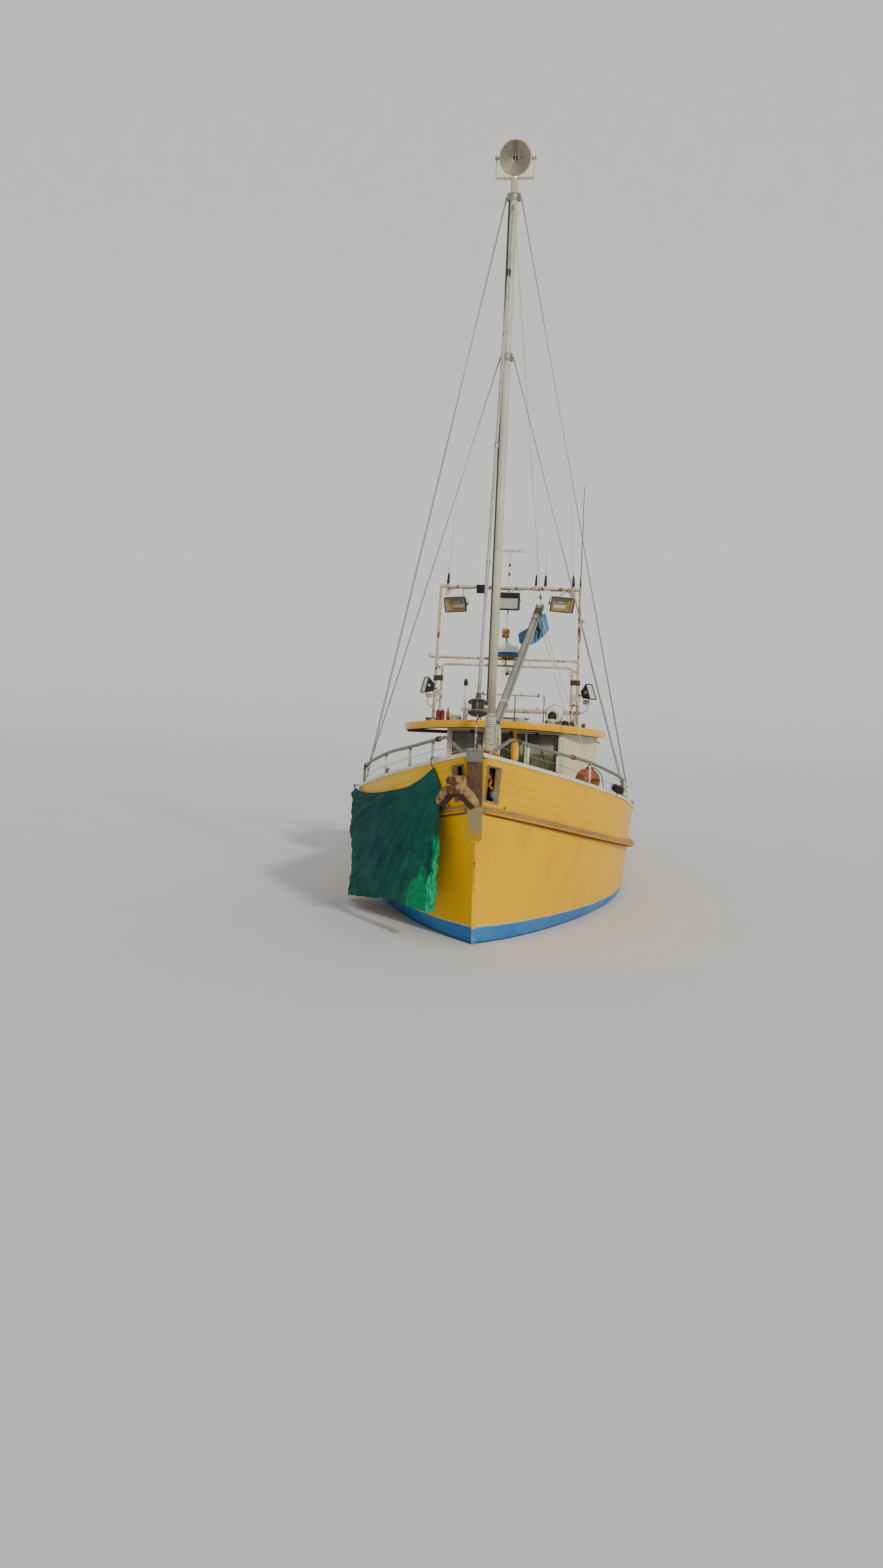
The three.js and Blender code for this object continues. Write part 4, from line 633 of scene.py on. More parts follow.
    def plate(self, outline, thick, material, bevel=0.0):
        """A flat plate from an outline of 3-D points, thickened along its own normal."""
        pts = [Vector(p) for p in outline]
        n = Vector((0, 0, 0))
        for i in range(1, len(pts) - 1):
            n += (pts[i] - pts[0]).cross(pts[i + 1] - pts[0])
        n = n.normalized() * (thick / 2)
        k = len(pts)
        bm = bmesh.new()
        a = [bm.verts.new(p - n) for p in pts]
        b = [bm.verts.new(p + n) for p in pts]
        bm.faces.new(a[::-1])
        bm.faces.new(b)
        for i in range(k):
            bm.faces.new((a[i], a[(i + 1) % k], b[(i + 1) % k], b[i]))
        bmesh.ops.recalc_face_normals(bm, faces=bm.faces)
        if bevel:
            bmesh.ops.bevel(bm, geom=bm.edges[:], offset=bevel, segments=2, profile=0.5, affect="EDGES")
        self.take(bm, material, bool(bevel))


def curve_points(points, steps=8):
    """Centripetal smooth line through points."""
    p = [Vector(q) for q in points]
    if len(p) < 3:
        return [p[0].lerp(p[-1], i / steps) for i in range(steps + 1)]
    out = []
    for i in range(len(p) - 1):
        a, b, c, d = p[max(i - 1, 0)], p[i], p[i + 1], p[min(i + 2, len(p) - 1)]
        for k in range(steps):
            t = k / steps
            out.append(0.5 * ((2 * b) + (c - a) * t + (2 * a - 5 * b + 4 * c - d) * t * t + (3 * b - a - 3 * c + d) * t ** 3))
    return out + [p[-1]]


def sagging(a, b, sag, steps=14, side=(0, 0, 0)):
    a, b, s = Vector(a), Vector(b), Vector(side)
    return [a.lerp(b, i / steps) + (Vector((0, 0, -sag)) + s) * (4 * (i / steps) * (1 - i / steps)) for i in range(steps + 1)]


def coil(centre, axis, R0, r, turns, height, per=18, wobble=0.04, seed=1, grow=0.0):
    """Points of a rope coil: turns round the axis, one above the other."""
    rnd = random.Random(seed)
    q = Vector((0, 0, 1)).rotation_difference(Vector(axis).normalized())
    n = int(turns * per)
    pts = []
    ph = [rnd.uniform(0, 6.28) for _ in range(4)]
    for i in range(n + 1):
        t = i / per
        a = 2 * math.pi * t
        rr = R0 * (1 + wobble * math.sin(a * 0.37 + ph[0]) + wobble * 0.7 * math.sin(a * 1.9 + ph[1])) + grow * t
        h = height * (t / turns - 0.5) + r * 0.35 * math.sin(a * 0.53 + ph[2])
        pts.append(Vector(centre) + q @ Vector((rr * math.cos(a), rr * math.sin(a), h)))
    return pts


def finish_node(name, material, bevel=0.004, angle=30, body=None):
    """A plain solid that is kept: its own finish, soft edges and smooth round faces."""
    o = frame["nodes"][name]
    o.data.materials.clear()
    o.data.materials.append(MATS[material])
    w = o.modifiers.new("weld", "WELD")
    w.merge_threshold = 1e-5
    b = o.modifiers.new("edges", "BEVEL")
    b.width, b.segments, b.limit_method, b.angle_limit = bevel, 2, "ANGLE", R(angle)
    b.use_clamp_overlap = True
    b.harden_normals = False
    n = o.modifiers.new("normals", "WEIGHTED_NORMAL")
    n.keep_sharp = True
    o.data.polygons.foreach_set("use_smooth", [True] * len(o.data.polygons))
    return o


# ================================================================ camera, light and floor
def make_camera():
    data = bpy.data.cameras.new("camera")
    data.lens, data.sensor_width, data.clip_end = 24.19, 36.0, 400
    cam = bpy.data.objects.new("camera", data)
    COLLECTION.objects.link(cam)
    right, up, look = Vector((-0.107999, 0.993279, 0.041631)), Vector((-0.057337, -0.048029, 0.997199)), Vector((-0.992496, -0.10531, -0.062138))
    m = Matrix.Identity(4)
    for i in range(3):
        m[i][0], m[i][1], m[i][2] = right[i], up[i], -look[i]
    m.translation = Vector((22.44378, 1.04750, 3.24671))
    cam.matrix_world = m
    bpy.context.scene.camera = cam


def make_stage():
    w = bpy.data.worlds.new("studio")
    bpy.context.scene.world = w
    w.use_nodes = True
    bg = w.node_tree.nodes["Background"]
    tc = w.node_tree.nodes.new("ShaderNodeTexCoord")
    sep = w.node_tree.nodes.new("ShaderNodeSeparateXYZ")
    ramp = w.node_tree.nodes.new("ShaderNodeValToRGB")
    w.node_tree.links.new(tc.outputs["Generated"], sep.inputs[0])
    w.node_tree.links.new(sep.outputs[2], ramp.inputs[0])
    w.node_tree.links.new(ramp.outputs[0], bg.inputs[0])
    e = ramp.color_ramp.elements
    e[0].position, e[0].color = 0.0, (0.86, 0.86, 0.85, 1)
    e[1].position, e[1].color = 0.6, (0.80, 0.86, 0.95, 1)
    bg.inputs[1].default_value = 0.54
    m = Mat("floor")
    m.set("Specular IOR Level", 0.2)
    m.set("Base Color", m.mix(m.noise(0.4, 2, 0.5), (0.80, 0.80, 0.79), (0.77, 0.77, 0.77)))
    m.set("Roughness", 0.9)
    profile = [(160.0, 0.0), (-60.0, 0.0)] + [(-60.0 - 40 * math.sin(R(a)), 40 - 40 * math.cos(R(a))) for a in range(6, 91, 6)] + [(-100.0, 110.0)]
    v = [(x, y, z) for x, z in profile for y in (-200.0, 200.0)]
    f = [(2 * k, 2 * k + 1, 2 * k + 3, 2 * k + 2) for k in range(len(profile) - 1)]
    me = bpy.data.meshes.new("floor")
    me.from_pydata(v, [], f)
    me.polygons.foreach_set("use_smooth", [True] * len(f))
    me.materials.append(m.m)
    floor = bpy.data.objects.new("floor", me)
    COLLECTION.objects.link(floor)
    for name, direction, strength, angle, colour in (
            ("key", (0.721, 0.524, 0.454), 1.85, 5, (1.0, 0.95, 0.84)),
            ("fill", (0.80, -0.9, 0.35), 0.12, 60, (0.88, 0.93, 1.0))):
        d = bpy.data.lights.new(name, "SUN")
        d.energy, d.angle, d.color = strength, R(angle), colour
        o = bpy.data.objects.new(name, d)
        COLLECTION.objects.link(o)
        o.rotation_euler = Vector(direction).to_track_quat("Z", "Y").to_euler()


make_camera()
make_stage()

# ================================================================ the hull's lines (metres)
M = 0.001
DECK_Z = [[8070, 2070], [7600, 1953], [6800, 1766], [5800, 1560], [4400, 1332], [2900, 1150], [1400, 1012], [-100, 920], [-1600, 872], [-3600, 856], [-5600, 912], [-8300, 1080]]
DECK_Y = [[8070, 105], [7600, 510], [6800, 1110], [5800, 1690], [4400, 2225], [2900, 2460], [1400, 2530], [-100, 2550], [-2600, 2535], [-5100, 2400], [-8300, 2060]]
WATER_Y = [[7330, 28], [6700, 560], [5900, 1030], [4900, 1510], [3700, 1950], [2400, 2290], [1200, 2450], [-100, 2500], [-2600, 2460], [-5100, 2240], [-8200, 1720]]
CAP_Z = [[8520, 2826], [8000, 2713], [7100, 2541], [5900, 2313], [4400, 2033], [2900, 1790], [1400, 1642], [-100, 1550], [-1600, 1504], [-3600, 1492], [-5600, 1560], [-8420, 1740]]
CAP_Y = [[8475, 120], [8000, 500], [7100, 1050], [5900, 1700], [4400, 2300], [2900, 2530], [1400, 2600], [-100, 2620], [-2600, 2600], [-5100, 2470], [-8420, 2110]]
RABBET_Z = [[6870, -1050], [6200, -1240], [5000, -1350], [3000, -1400], [0, -1420], [-2000, -1320], [-4000, -1020], [-5200, -740], [-6100, -520], [-7000, -320], [-8220, -80]]
FULLNESS = [[7200, .3, .62], [6000, .32, .66], [4000, .42, .76], [1500, .56, .87], [-1500, .6, .9], [-4500, .5, .84], [-8220, .55, .85]]
PROUD = [[8070, 60], [7000, 95], [5000, 115], [0, 120], [-8300, 110]]
STERN_X = {"deck": -8300, "mid": -8270, "water": -8235, "high": -8228, "low": -8222, "keel": -8220}
BOW = {"deck": (8070, 2070), "mid": (7620, 1000), "water": (7330, 0), "high": (7222, -400), "low": (7080, -750), "keel": (6870, -1050)}


def along(table, x, col=1):
    t = table if table[0][0] < table[-1][0] else table[::-1]
    xs = [r[0] for r in t]
    ys = [r[col] for r in t]
    if x <= xs[0]:
        return ys[0]
    if x >= xs[-1]:
        return ys[-1]
    n = len(xs)
    h = [xs[i + 1] - xs[i] for i in range(n - 1)]
    d = [(ys[i + 1] - ys[i]) / h[i] for i in range(n - 1)]
    i = max(k for k in range(n - 1) if xs[k] <= x)

    def slope(k):
        if k == 0:
            return d[0]
        if k == n - 1:
            return d[-1]
        if d[k - 1] * d[k] <= 0:
            return 0.0
        a, b = 2 * h[k] + h[k - 1], h[k] + 2 * h[k - 1]
        return (a + b) / (a / d[k - 1] + b / d[k])
    m0, m1 = slope(i), slope(i + 1)
    t_ = (x - xs[i]) / h[i]
    return ((2 * t_ ** 3 - 3 * t_ ** 2 + 1) * ys[i] + (t_ ** 3 - 2 * t_ ** 2 + t_) * h[i] * m0 + (3 * t_ ** 2 - 2 * t_ ** 3) * ys[i + 1] + (t_ ** 3 - t_ ** 2) * h[i] * m1)


def lerp(a, b, t):
    return a + (b - a) * t


SHARES = [0, .03, .075, .13, .2, .28, .37, .48, .6, .72, .86, 1]
BOW_HALF = {"mid": 28, "high": 36, "low": 44}
TABLES = {}


def hull_point(level, s):
    """A point of the port side in mm at a share s of the length, 0 at the stem: smooth through the stations."""
    if level not in TABLES:
        pts = [station_point(level, q) for q in SHARES]
        TABLES[level] = [[q, p[1], p[2]] for q, p in zip(SHARES, pts)]
    t = TABLES[level]
    return lerp(BOW[level][0], STERN_X[level], s), along(t, s, 1), along(t, s, 2)


def station_point(level, s):
    x = lerp(BOW[level][0], STERN_X[level], s)
    blend = max(0.0, 1 - s / 0.13)
    dy, dz = along(DECK_Y, x), along(DECK_Z, x)
    wy, rz = along(WATER_Y, x), along(RABBET_Z, x)
    if level == "deck":
        return x, dy, dz
    if level == "mid":
        return x, (BOW_HALF["mid"] if s == 0 else wy * .46 + dy * .54 + 25 * (1 - blend)), lerp(dz * .48, 1000, blend ** 2)
    if level == "water":
        return x, wy, 0.0
    if level == "keel":
        return x, (50 if s == 0 else 80), rz
    k, f = (1, .28) if level == "high" else (2, .62)
    y = BOW_HALF[level] if s == 0 else max(85, along(WATER_Y, min(x + (7330 - BOW[level][0]) * blend, 7330)) * along(FULLNESS, x, k))
    return x, y, lerp(rz * (1 - f), BOW[level][1], blend ** 2)


def strake_point(s, t, out):
    """On the chord from the deck line (t 0) to the strake's lower line (t 1), out mm proud of it."""
    a, b = hull_point("deck", s), hull_point("mid", s)
    k = 118 / max(400, a[2] - b[2]) * t
    return [lerp(a[0], b[0], k) * M, (lerp(a[1], b[1], k) + out) * M, lerp(a[2], b[2], k) * M]


def wale(s, v, inner=False):
    """Bulwark: v 0 at the deck line, 1 under the cap rail."""
    lo = hull_point("deck", s)
    x1 = lerp(8390, -8420, s)
    hi = (x1, max(110.5, along(CAP_Y, x1) - 25), along(CAP_Z, x1) - 55.3)
    y0, y1 = max(lo[1], 105), hi[1]
    if inner:
        y0, y1 = max(28, y0 - 75), max(36, y1 - 75)
    return [lerp(lo[0], hi[0], v) * M, lerp(y0, y1, v) * M, lerp(lo[2] + .3, hi[2], v) * M]


NST = 110
STATIONS = [(i / NST) ** 1.45 for i in range(NST + 1)]


def grid_faces(rows, cols, flip=False, skip=None):
    out = []
    for i in range(rows - 1):
        for j in range(cols - 1):
            if skip and skip(i, j):
                continue
            q = (i * cols + j, i * cols + j + 1, (i + 1) * cols + j + 1, (i + 1) * cols + j)
            out.append(q[::-1] if flip else q)
    return out


def fix_normals(o):
    bm = bmesh.new()
    bm.from_mesh(o.data)
    bmesh.ops.remove_doubles(bm, verts=bm.verts, dist=2e-5)
    bmesh.ops.recalc_face_normals(bm, faces=bm.faces)
    bm.to_mesh(o.data)
    bm.free()
    return o


def smooth_by_angle(o, angle=35):
    bm = bmesh.new()
    bm.from_mesh(o.data)
    for e in bm.edges:
        e.smooth = not (len(e.link_faces) == 2 and e.calc_face_angle(0) > R(angle))
    for f in bm.faces:
        f.smooth = True
    bm.to_mesh(o.data)
    bm.free()
    return o


def hull_section(s):
    """Fine points of the port side from the deck line to the keel, metres."""
    knots = [Vector(hull_point(k, s)) * M for k in ("deck", "mid", "water", "high", "low", "keel")]
    counts = (9, 7, 4, 5, 5)
    p = [2 * knots[0] - knots[1]] + knots + [2 * knots[-1] - knots[-2]]
    out = []
    for i in range(5):
        a, b, c, d = p[i], p[i + 1], p[i + 2], p[i + 3]
        l0, l1, l2 = max((b - a).length, 1e-4) ** .5, max((c - b).length, 1e-4) ** .5, max((d - c).length, 1e-4) ** .5
        t0, t1, t2, t3 = 0, l0, l0 + l1, l0 + l1 + l2
        for k in range(counts[i]):
            t = lerp(t1, t2, k / counts[i])
            A1 = a * ((t1 - t) / (t1 - t0)) + b * ((t - t0) / (t1 - t0))
            A2 = b * ((t2 - t) / (t2 - t1)) + c * ((t - t1) / (t2 - t1))
            A3 = c * ((t3 - t) / (t3 - t2)) + d * ((t - t2) / (t3 - t2))
            B1 = A1 * ((t2 - t) / (t2 - t0)) + A2 * ((t - t0) / (t2 - t0))
            B2 = A2 * ((t3 - t) / (t3 - t1)) + A3 * ((t - t1) / (t3 - t1))
            out.append(B1 * ((t2 - t) / (t2 - t1)) + B2 * ((t - t1) / (t2 - t1)))
    return out + [knots[-1]]


def make_hull():
    sections = [hull_section(s) for s in STATIONS]
    n = len(sections[0])
    v, uv, f = [], [], []
    for side in (1, -1):
        base = len(v)
        for sec in sections:
            g = 0.0
            for k, p in enumerate(sec):
                if k:
                    g += (p - sec[k - 1]).length
                v.append((p.x, p.y * side, p.z))
                uv.append((p.x, g))
        f += [tuple(base + i for i in q) for q in grid_faces(len(sections), n, flip=side < 0)]
    half = len(sections) * n
    last = (len(sections) - 1) * n
    for k in range(n - 1):                                    # transom
        f.append((last + k, last + k + 1, half + last + k + 1, half + last + k))
    for i in range(len(sections) - 1):                        # bottom strip over the keel, and the stem's back
        f.append((i * n + n - 1, (i + 1) * n + n - 1, half + (i + 1) * n + n - 1, half + i * n + n - 1))
    for k in range(n - 1):
        f.append((k + 1, k, half + k, half + k + 1))
    o = mesh_object("hull_planking", v, f, "hull", uvs=uv)
    fix_normals(o)
    smooth_by_angle(o, 40)
    m = o.modifiers.new("thickness", "SOLIDIFY")
    m.thickness, m.offset = 0.045, -1
    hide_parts("hull")

    b = Build("fish_hold_lining")
    for lo, hi in (((-5.1, -1.2, -.15), (-3.1, 1.2, -.13)), ((-5.1, -1.2, -.13), (-5.08, 1.2, .85)), ((-3.12, -1.2, -.13), (-3.1, 1.2, .85)),
                   ((-5.08, -1.2, -.13), (-3.12, -1.18, .85)), ((-5.08, 1.18, -.13), (-3.12, 1.2, .85))):
        b.box(lo, hi, "white", bevel=.003)
    for k in range(7):
        b.box((-5.08 + k * .31, -1.17, -.13), (-5.02 + k * .31, -1.13, .83), "worn_timber", bevel=.004)
        b.box((-5.08 + k * .31, 1.13, -.13), (-5.02 + k * .31, 1.17, .83), "worn_timber", bevel=.004)
    b.make()


make_hull()


def make_bulwark(side):
    ss = sorted(set(STATIONS + [0.0004, 0.0127, 0.0065]))
    vs = [0, .06, .12, .3, .5, .7, .86, .94, 1]
    gap = lambda i, j: ss[i] >= .0004 - 1e-9 and ss[i + 1] <= .0127 + 1e-9 and vs[j] >= .12 - 1e-9 and vs[j + 1] <= .86 + 1e-9
    nv, ns = len(vs), len(ss)
    v, uv = [], []
    for inner in (False, True):
        for s in ss:
            for t in vs:
                p = wale(s, t, inner)
                v.append((p[0], p[1] * side, p[2]))
                uv.append((p[0], t * (wale(s, 1)[2] - wale(s, 0)[2])))
    off = ns * nv
    f = grid_faces(ns, nv, skip=gap) + [tuple(off + i for i in q) for q in grid_faces(ns, nv, True, gap)]
    for j in range(nv - 1):
        for i in (0, ns - 1):
            f.append((i * nv + j, i * nv + j + 1, off + i * nv + j + 1, off + i * nv + j))
    for i in range(ns - 1):
        for j in (0, nv - 1):
            f.append((i * nv + j, (i + 1) * nv + j, off + (i + 1) * nv + j, off + i * nv + j))
    i0, i1 = ss.index(.0004), ss.index(.0127)
    j0, j1 = vs.index(.12), vs.index(.86)
    for j in range(j0, j1):
        for i in (i0, i1):
            f.append((i * nv + j, i * nv + j + 1, off + i * nv + j + 1, off + i * nv + j))
    for i in range(i0, i1):
        for j in (j0, j1):
            f.append((i * nv + j, (i + 1) * nv + j, off + (i + 1) * nv + j, off + i * nv + j))
    name = "port" if side > 0 else "starboard"
    o = mesh_object("bulwark_planking_" + name, v, f, "bulwark", uvs=uv)
    fix_normals(o)
    smooth_by_angle(o, 40)
    m = o.modifiers.new("edges", "BEVEL")
    m.width, m.segments, m.limit_method, m.angle_limit = .006, 2, "ANGLE", R(50)
    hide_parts("bulwark_" + name)

    b = Build("bulwark_frames_" + name)
    for k in range(29):
        s = .05 + k * .0328
        if k in (28,):
            continue
        for part in ("post",):
            q = []
            for v_ in (0.0, 1.0):
                for ds, dy in ((-.0023, .002), (.0023, .002), (.0023, -.062), (-.0023, -.062)):
                    p = wale(s + ds, v_, True)
                    q.append((p[0], (p[1] + dy) * side, p[2] + (.05 if v_ == 0 else 0)))
            b.add(q, [(0, 1, 2, 3), (7, 6, 5, 4), (0, 4, 5, 1), (1, 5, 6, 2), (2, 6, 7, 3), (3, 7, 4, 0)], "yellow")
    o = b.make()
    fix_normals(o)
    m = o.modifiers.new("edges", "BEVEL")
    m.width, m.segments = .006, 2


def sweep(name, section, stations, side, material, uv_scale=1.0, mats=None, caps=True):
    """A closed section (a function of s giving points) swept along the side; mats gives a finish for each row of faces."""
    rows = [section(s) for s in stations]
    n = len(rows[0])
    v, uv = [], []
    for r in rows:
        g = 0.0
        for k, p in enumerate(r):
            if k:
                g += (Vector(p) - Vector(r[k - 1])).length
            v.append((p[0], p[1] * side, p[2]))
            uv.append((p[0], g))
    f, mi = [], []
    for i in range(len(rows) - 1):
        for k in range(n):
            k2 = (k + 1) % n
            f.append((i * n + k, i * n + k2, (i + 1) * n + k2, (i + 1) * n + k))
            mi.append(mats[k] if mats else 0)
    if caps:
        f += [tuple(range(n)), tuple((len(rows) - 1) * n + k for k in range(n))[::-1]]
        mi += [0, 0]
    names = material if isinstance(material, (list, tuple)) else [material]
    o = mesh_object(name, v, f, names[0], uvs=uv)
    for extra in names[1:]:
        o.data.materials.append(MATS[extra])
    o.data.polygons.foreach_set("material_index", mi)
    fix_normals(o)
    smooth_by_angle(o, 32)
    return o


def rounded(corners, r, seg=3):
    """Rounds the corners of a closed section given as (y, z) pairs."""
    out = []
    n = len(corners)
    for i in range(n):
        p0, p1, p2 = Vector(corners[i - 1]), Vector(corners[i]), Vector(corners[(i + 1) % n])
        a, b = (p0 - p1), (p2 - p1)
        q = min(r, a.length * .45, b.length * .45)
        a, b = p1 + a.normalized() * q, p1 + b.normalized() * q
        for k in range(seg + 1):
            t = k / seg
            out.append(a * (1 - t) ** 2 + p1 * 2 * t * (1 - t) + b * t ** 2)
    return out


def make_cap(side):
    name = "port" if side > 0 else "starboard"

    def section(s):
        x = lerp(8475, -8420, s)
        y, z = along(CAP_Y, x), along(CAP_Z, x)
        inner = max(y - 160, 12)
        if x > 8380:
            inner = max(inner, 111)
        if y - inner < 9:
            inner = y - 9
        out = rounded([(y, z - 55), (y, z), (inner, z), (inner, z - 55)], 14)
        return [(x * M, p[0] * M, p[1] * M) for p in out]
    st = sorted(STATIONS + [.00561, .00563, .002])
    o = sweep("cap_rail_planks_" + name, section, st, side, "white")
    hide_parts("cap_rail_" + name)


def make_strake(side):
    name = "port" if side > 0 else "starboard"

    def section(s):
        p = along(PROUD, lerp(8070, -8300, s))
        pts = [(1, .3), (1.0, p - 38), (.97, p - 22), (.86, p - 4), (.80, p), (.60, p + 1), (.585, p - 3), (.57, p + 1), (.30, p), (.16, p - 2), (.05, p - 12), (0, p - 22), (0, .3)]
        return [strake_point(s, a, b) for a, b in pts]
    mats = [2, 2, 2, 1, 1, 1, 1, 0, 0, 0, 0, 3, 3]
    o = sweep("rubbing_strake_timber_" + name, section, STATIONS, side, ["strake_grey", "strake_yellow", "strake_dark", "strake_top"], mats=mats)
    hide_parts("rubbing_strake_" + name)


def strake_finish(name, base, dark, speck, amount=.5, paint_left=None):
    """Rubbed timber of the strake: greyed paint with small dark spots and scrapes along it."""
    m = Mat(name)
    grain = m.noise(1.0, 6, .7, vec=m.map((3.2, 3.2, 60)), dist=.5)
    col = m.mix(m.ramp(grain, [(.3, 0), (.72, 1)]), base, dark)
    scrape = m.noise(1.0, 7, .78, vec=m.map((1.8, 1.8, 34)), dist=1.0)
    mask = m.ramp(scrape, [(.62 - amount * .16, 0), (.70 - amount * .16, 1)])
    if paint_left:
        col = m.mix(mask, col, paint_left)
    spots = m.cells(26)
    dots = m.math("MULTIPLY", m.ramp(spots, [(.10, 1), (.17, 0)]), m.ramp(m.noise(3.0, 3, .6), [(.42, 0), (.58, 1)]))
    col = m.mix(dots, col, speck)
    col = m.mix(m.ramp(m.noise(2.1, 5, .7), [(.5, 0), (.74, .6)]), col, tuple(c * .55 for c in dark))
    m.set("Base Color", col)
    m.set("Roughness", m.ramp(grain, [(.2, .55), (.8, .9)]))
    m.bump(m.math("SUBTRACT", grain, m.math("MULTIPLY", dots, .8)), .5, .004)
    return m.m


MATS["strake_grey"] = strake_finish("strake_grey", srgb(158, 148, 118), srgb(120, 106, 78), srgb(64, 50, 38), .8, srgb(202, 160, 62))
MATS["strake_yellow"] = strake_finish("strake_yellow", srgb(238, 176, 40), srgb(214, 146, 34), srgb(96, 66, 38), .45, srgb(150, 120, 72))
MATS["strake_dark"] = strake_finish("strake_dark", srgb(104, 72, 44), srgb(66, 46, 32), srgb(40, 30, 24), .5, srgb(150, 104, 46))
MATS["strake_top"] = strake_finish("strake_top", srgb(196, 158, 76), srgb(150, 120, 70), srgb(70, 54, 40), .7, srgb(148, 138, 112))

for side in (1, -1):
    make_bulwark(side)
    make_cap(side)
    make_strake(side)


def make_roof():
    front = [[0, 2720], [520, 2670], [1050, 2470], [1500, 2120], [1870, 1560], [2030, 1020]]
    ny = 48
    ys = [2.03 * math.sin(math.pi / 2 * (i / (ny / 2) - 1)) for i in range(ny + 1)]
    xs = [0, .02, .1, .25, .45, .7, .9, .98, 1]
    drop = .145

    def z_top(y):
        return 2.985 + drop + .125 * (1 - (y / 2.03) ** 2)

    def x_of(y, t):
        return lerp(-1.5, along(front, abs(y) * 1000) * M, t)
    r = .018
    v, f, uv, mi = [], [], [], []
    nx = len(xs)
    rings = []

    def ring(inset, dz):
        """The roof's outline, inset and at a height below the top surface."""
        out = []
        outline = [(x_of(y, 1), y) for y in ys] + [(x_of(2.03, t), 2.03) for t in (.85, .6, .35, .12)] + [(-1.5, y) for y in ys[::-4]] + [(x_of(-2.03, t), -2.03) for t in (.12, .35, .6, .85)]
        n = len(outline)
        for i in range(n):
            a, b = Vector(outline[i - 1]), Vector(outline[(i + 1) % n])
            t = (b - a).normalized()
            p = Vector(outline[i]) + Vector((-t.y, t.x)) * inset
            out.append((p.x, p.y, z_top(max(-2.03, min(2.03, p.y))) - dz))
        return out
    profile = [(.16, -.0, 1), (.06, .0, 1), (r, .0, 0), (.004, .006, 0), (0, r, 0), (0, drop - r, 0), (.004, drop - .006, 0), (r, drop, 2), (.3, drop, 2)]
    for inset, dz, _ in profile:
        rings.append(ring(inset, dz))
    n = len(rings[0])
    for q in rings:
        v += q
    for i in range(len(rings) - 1):
        for k in range(n):
            f.append((i * n + k, i * n + (k + 1) % n, (i + 1) * n + (k + 1) % n, (i + 1) * n + k))
            mi.append([1, 1, 0, 0, 0, 0, 0, 2][i])
    o_v = len(v)
    # the crowned top and the underside as grids inside the first and last rings
    for q, z_off, m_ in ((rings[0], 0, 1), (rings[-1], -drop, 2)):
        bm_v = [Vector(p) for p in q]
        f.append(tuple(q_ + (0 if m_ == 1 else (len(rings) - 1) * n) for q_ in range(n)))
        mi.append(m_)
    o = mesh_object("wheelhouse_roof_skin", v, f, "fascia")
    o.data.materials.append(MATS["roof"])
    o.data.materials.append(MATS["cream"])
    o.data.polygons.foreach_set("material_index", mi)
    bm = bmesh.new()
    bm.from_mesh(o.data)
    big = [g for g in bm.faces if len(g.verts) > 6]
    for g in big:
        mat = g.material_index
        new = bmesh.ops.triangulate(bm, faces=[g])["faces"]
        for h in new:
            h.material_index = mat
    cuts = [-1.8 + .15 * k for k in range(25)]
    for c in cuts:
        geom = [g for g in bm.faces if g.material_index in (1, 2)]
        geom = geom + list({e for g in geom for e in g.edges}) + list({w for g in geom for w in g.verts})
        bmesh.ops.bisect_plane(bm, geom=geom, plane_co=(0, c, 0), plane_no=(0, 1, 0))
    for w in bm.verts:
        fs = {g.material_index for g in w.link_faces}
        if fs == {1}:
            w.co.z = z_top(w.co.y)
        elif fs == {2}:
            w.co.z = z_top(w.co.y) - drop
    bmesh.ops.recalc_face_normals(bm, faces=bm.faces)
    bm.to_mesh(o.data)
    bm.free()
    smooth_by_angle(o, 30)
    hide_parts("wheelhouse_roof")
    return z_top


roof_z = make_roof()


# ================================================================ pieces that keep their own solids
def stem_finish():
    """Stem: dark bare timber up between the openings, a galvanised shield under the strake, yellow below it and blue at the water."""
    m = Mat("stem_finish")
    x, y, z = m.split()
    rag = m.math("MULTIPLY", m.math("SUBTRACT", m.noise(6, 5, .7), .5), .05)
    zz = m.math("ADD", z, rag)
    yellow = m.mix(m.noise(3, 4, .6), YELLOW, YELLOW2)
    blue = m.mix(m.ramp(m.noise(5, 6, .7), [(.35, 0), (.65, 1)]), srgb(66, 112, 164), srgb(120, 150, 184))
    steel = m.mix(m.ramp(m.noise(9, 6, .7), [(.4, 0), (.62, 1)]), srgb(150, 148, 140), srgb(186, 160, 92))
    grain = m.noise(1.0, 6, .7, vec=m.map((30, 30, 1.6)), dist=.5)
    wood = m.mix(m.ramp(grain, [(.3, 0), (.7, 1)]), srgb(126, 104, 82), srgb(62, 48, 38))
    steel = m.mix(m.between(zz, 1.55, 1.80, 1.0, 0.0), steel, m.mix(m.noise(12, 5, .7), YELLOW2, srgb(150, 120, 60)))
    col = m.mix(m.between(zz, .235, .25), blue, yellow)
    col = m.mix(m.between(zz, 1.555, 1.575), col, steel)
    col = m.mix(m.between(z, 2.05, 2.08), col, wood)
    m.set("Base Color", col)
    m.set("Metallic", m.math("MULTIPLY", m.math("MULTIPLY", m.between(zz, 1.555, 1.575), m.between(z, 2.05, 2.08, 1.0, 0.0)), .45))
    m.set("Roughness", m.ramp(grain, [(.2, .4), (.8, .75)]))
    m.bump(m.math("ADD", grain, m.noise(30, 5, .7)), .3, .004)
    return m.m


MATS["stem"] = stem_finish()
MATS["green_paint"] = paint("winch_green", srgb(58, 92, 70), srgb(44, 72, 56), rough=.5, spots=.6, streaks=.4, tone=3)
MATS["varnish"] = timber("varnished_timber", srgb(150, 92, 48), srgb(104, 58, 28), .35, "Z", None)
MATS["worn_paint"] = paint("hatch_paint", srgb(196, 196, 184), srgb(166, 164, 150), rough=.65, spots=.45, streaks=.3, tone=3)

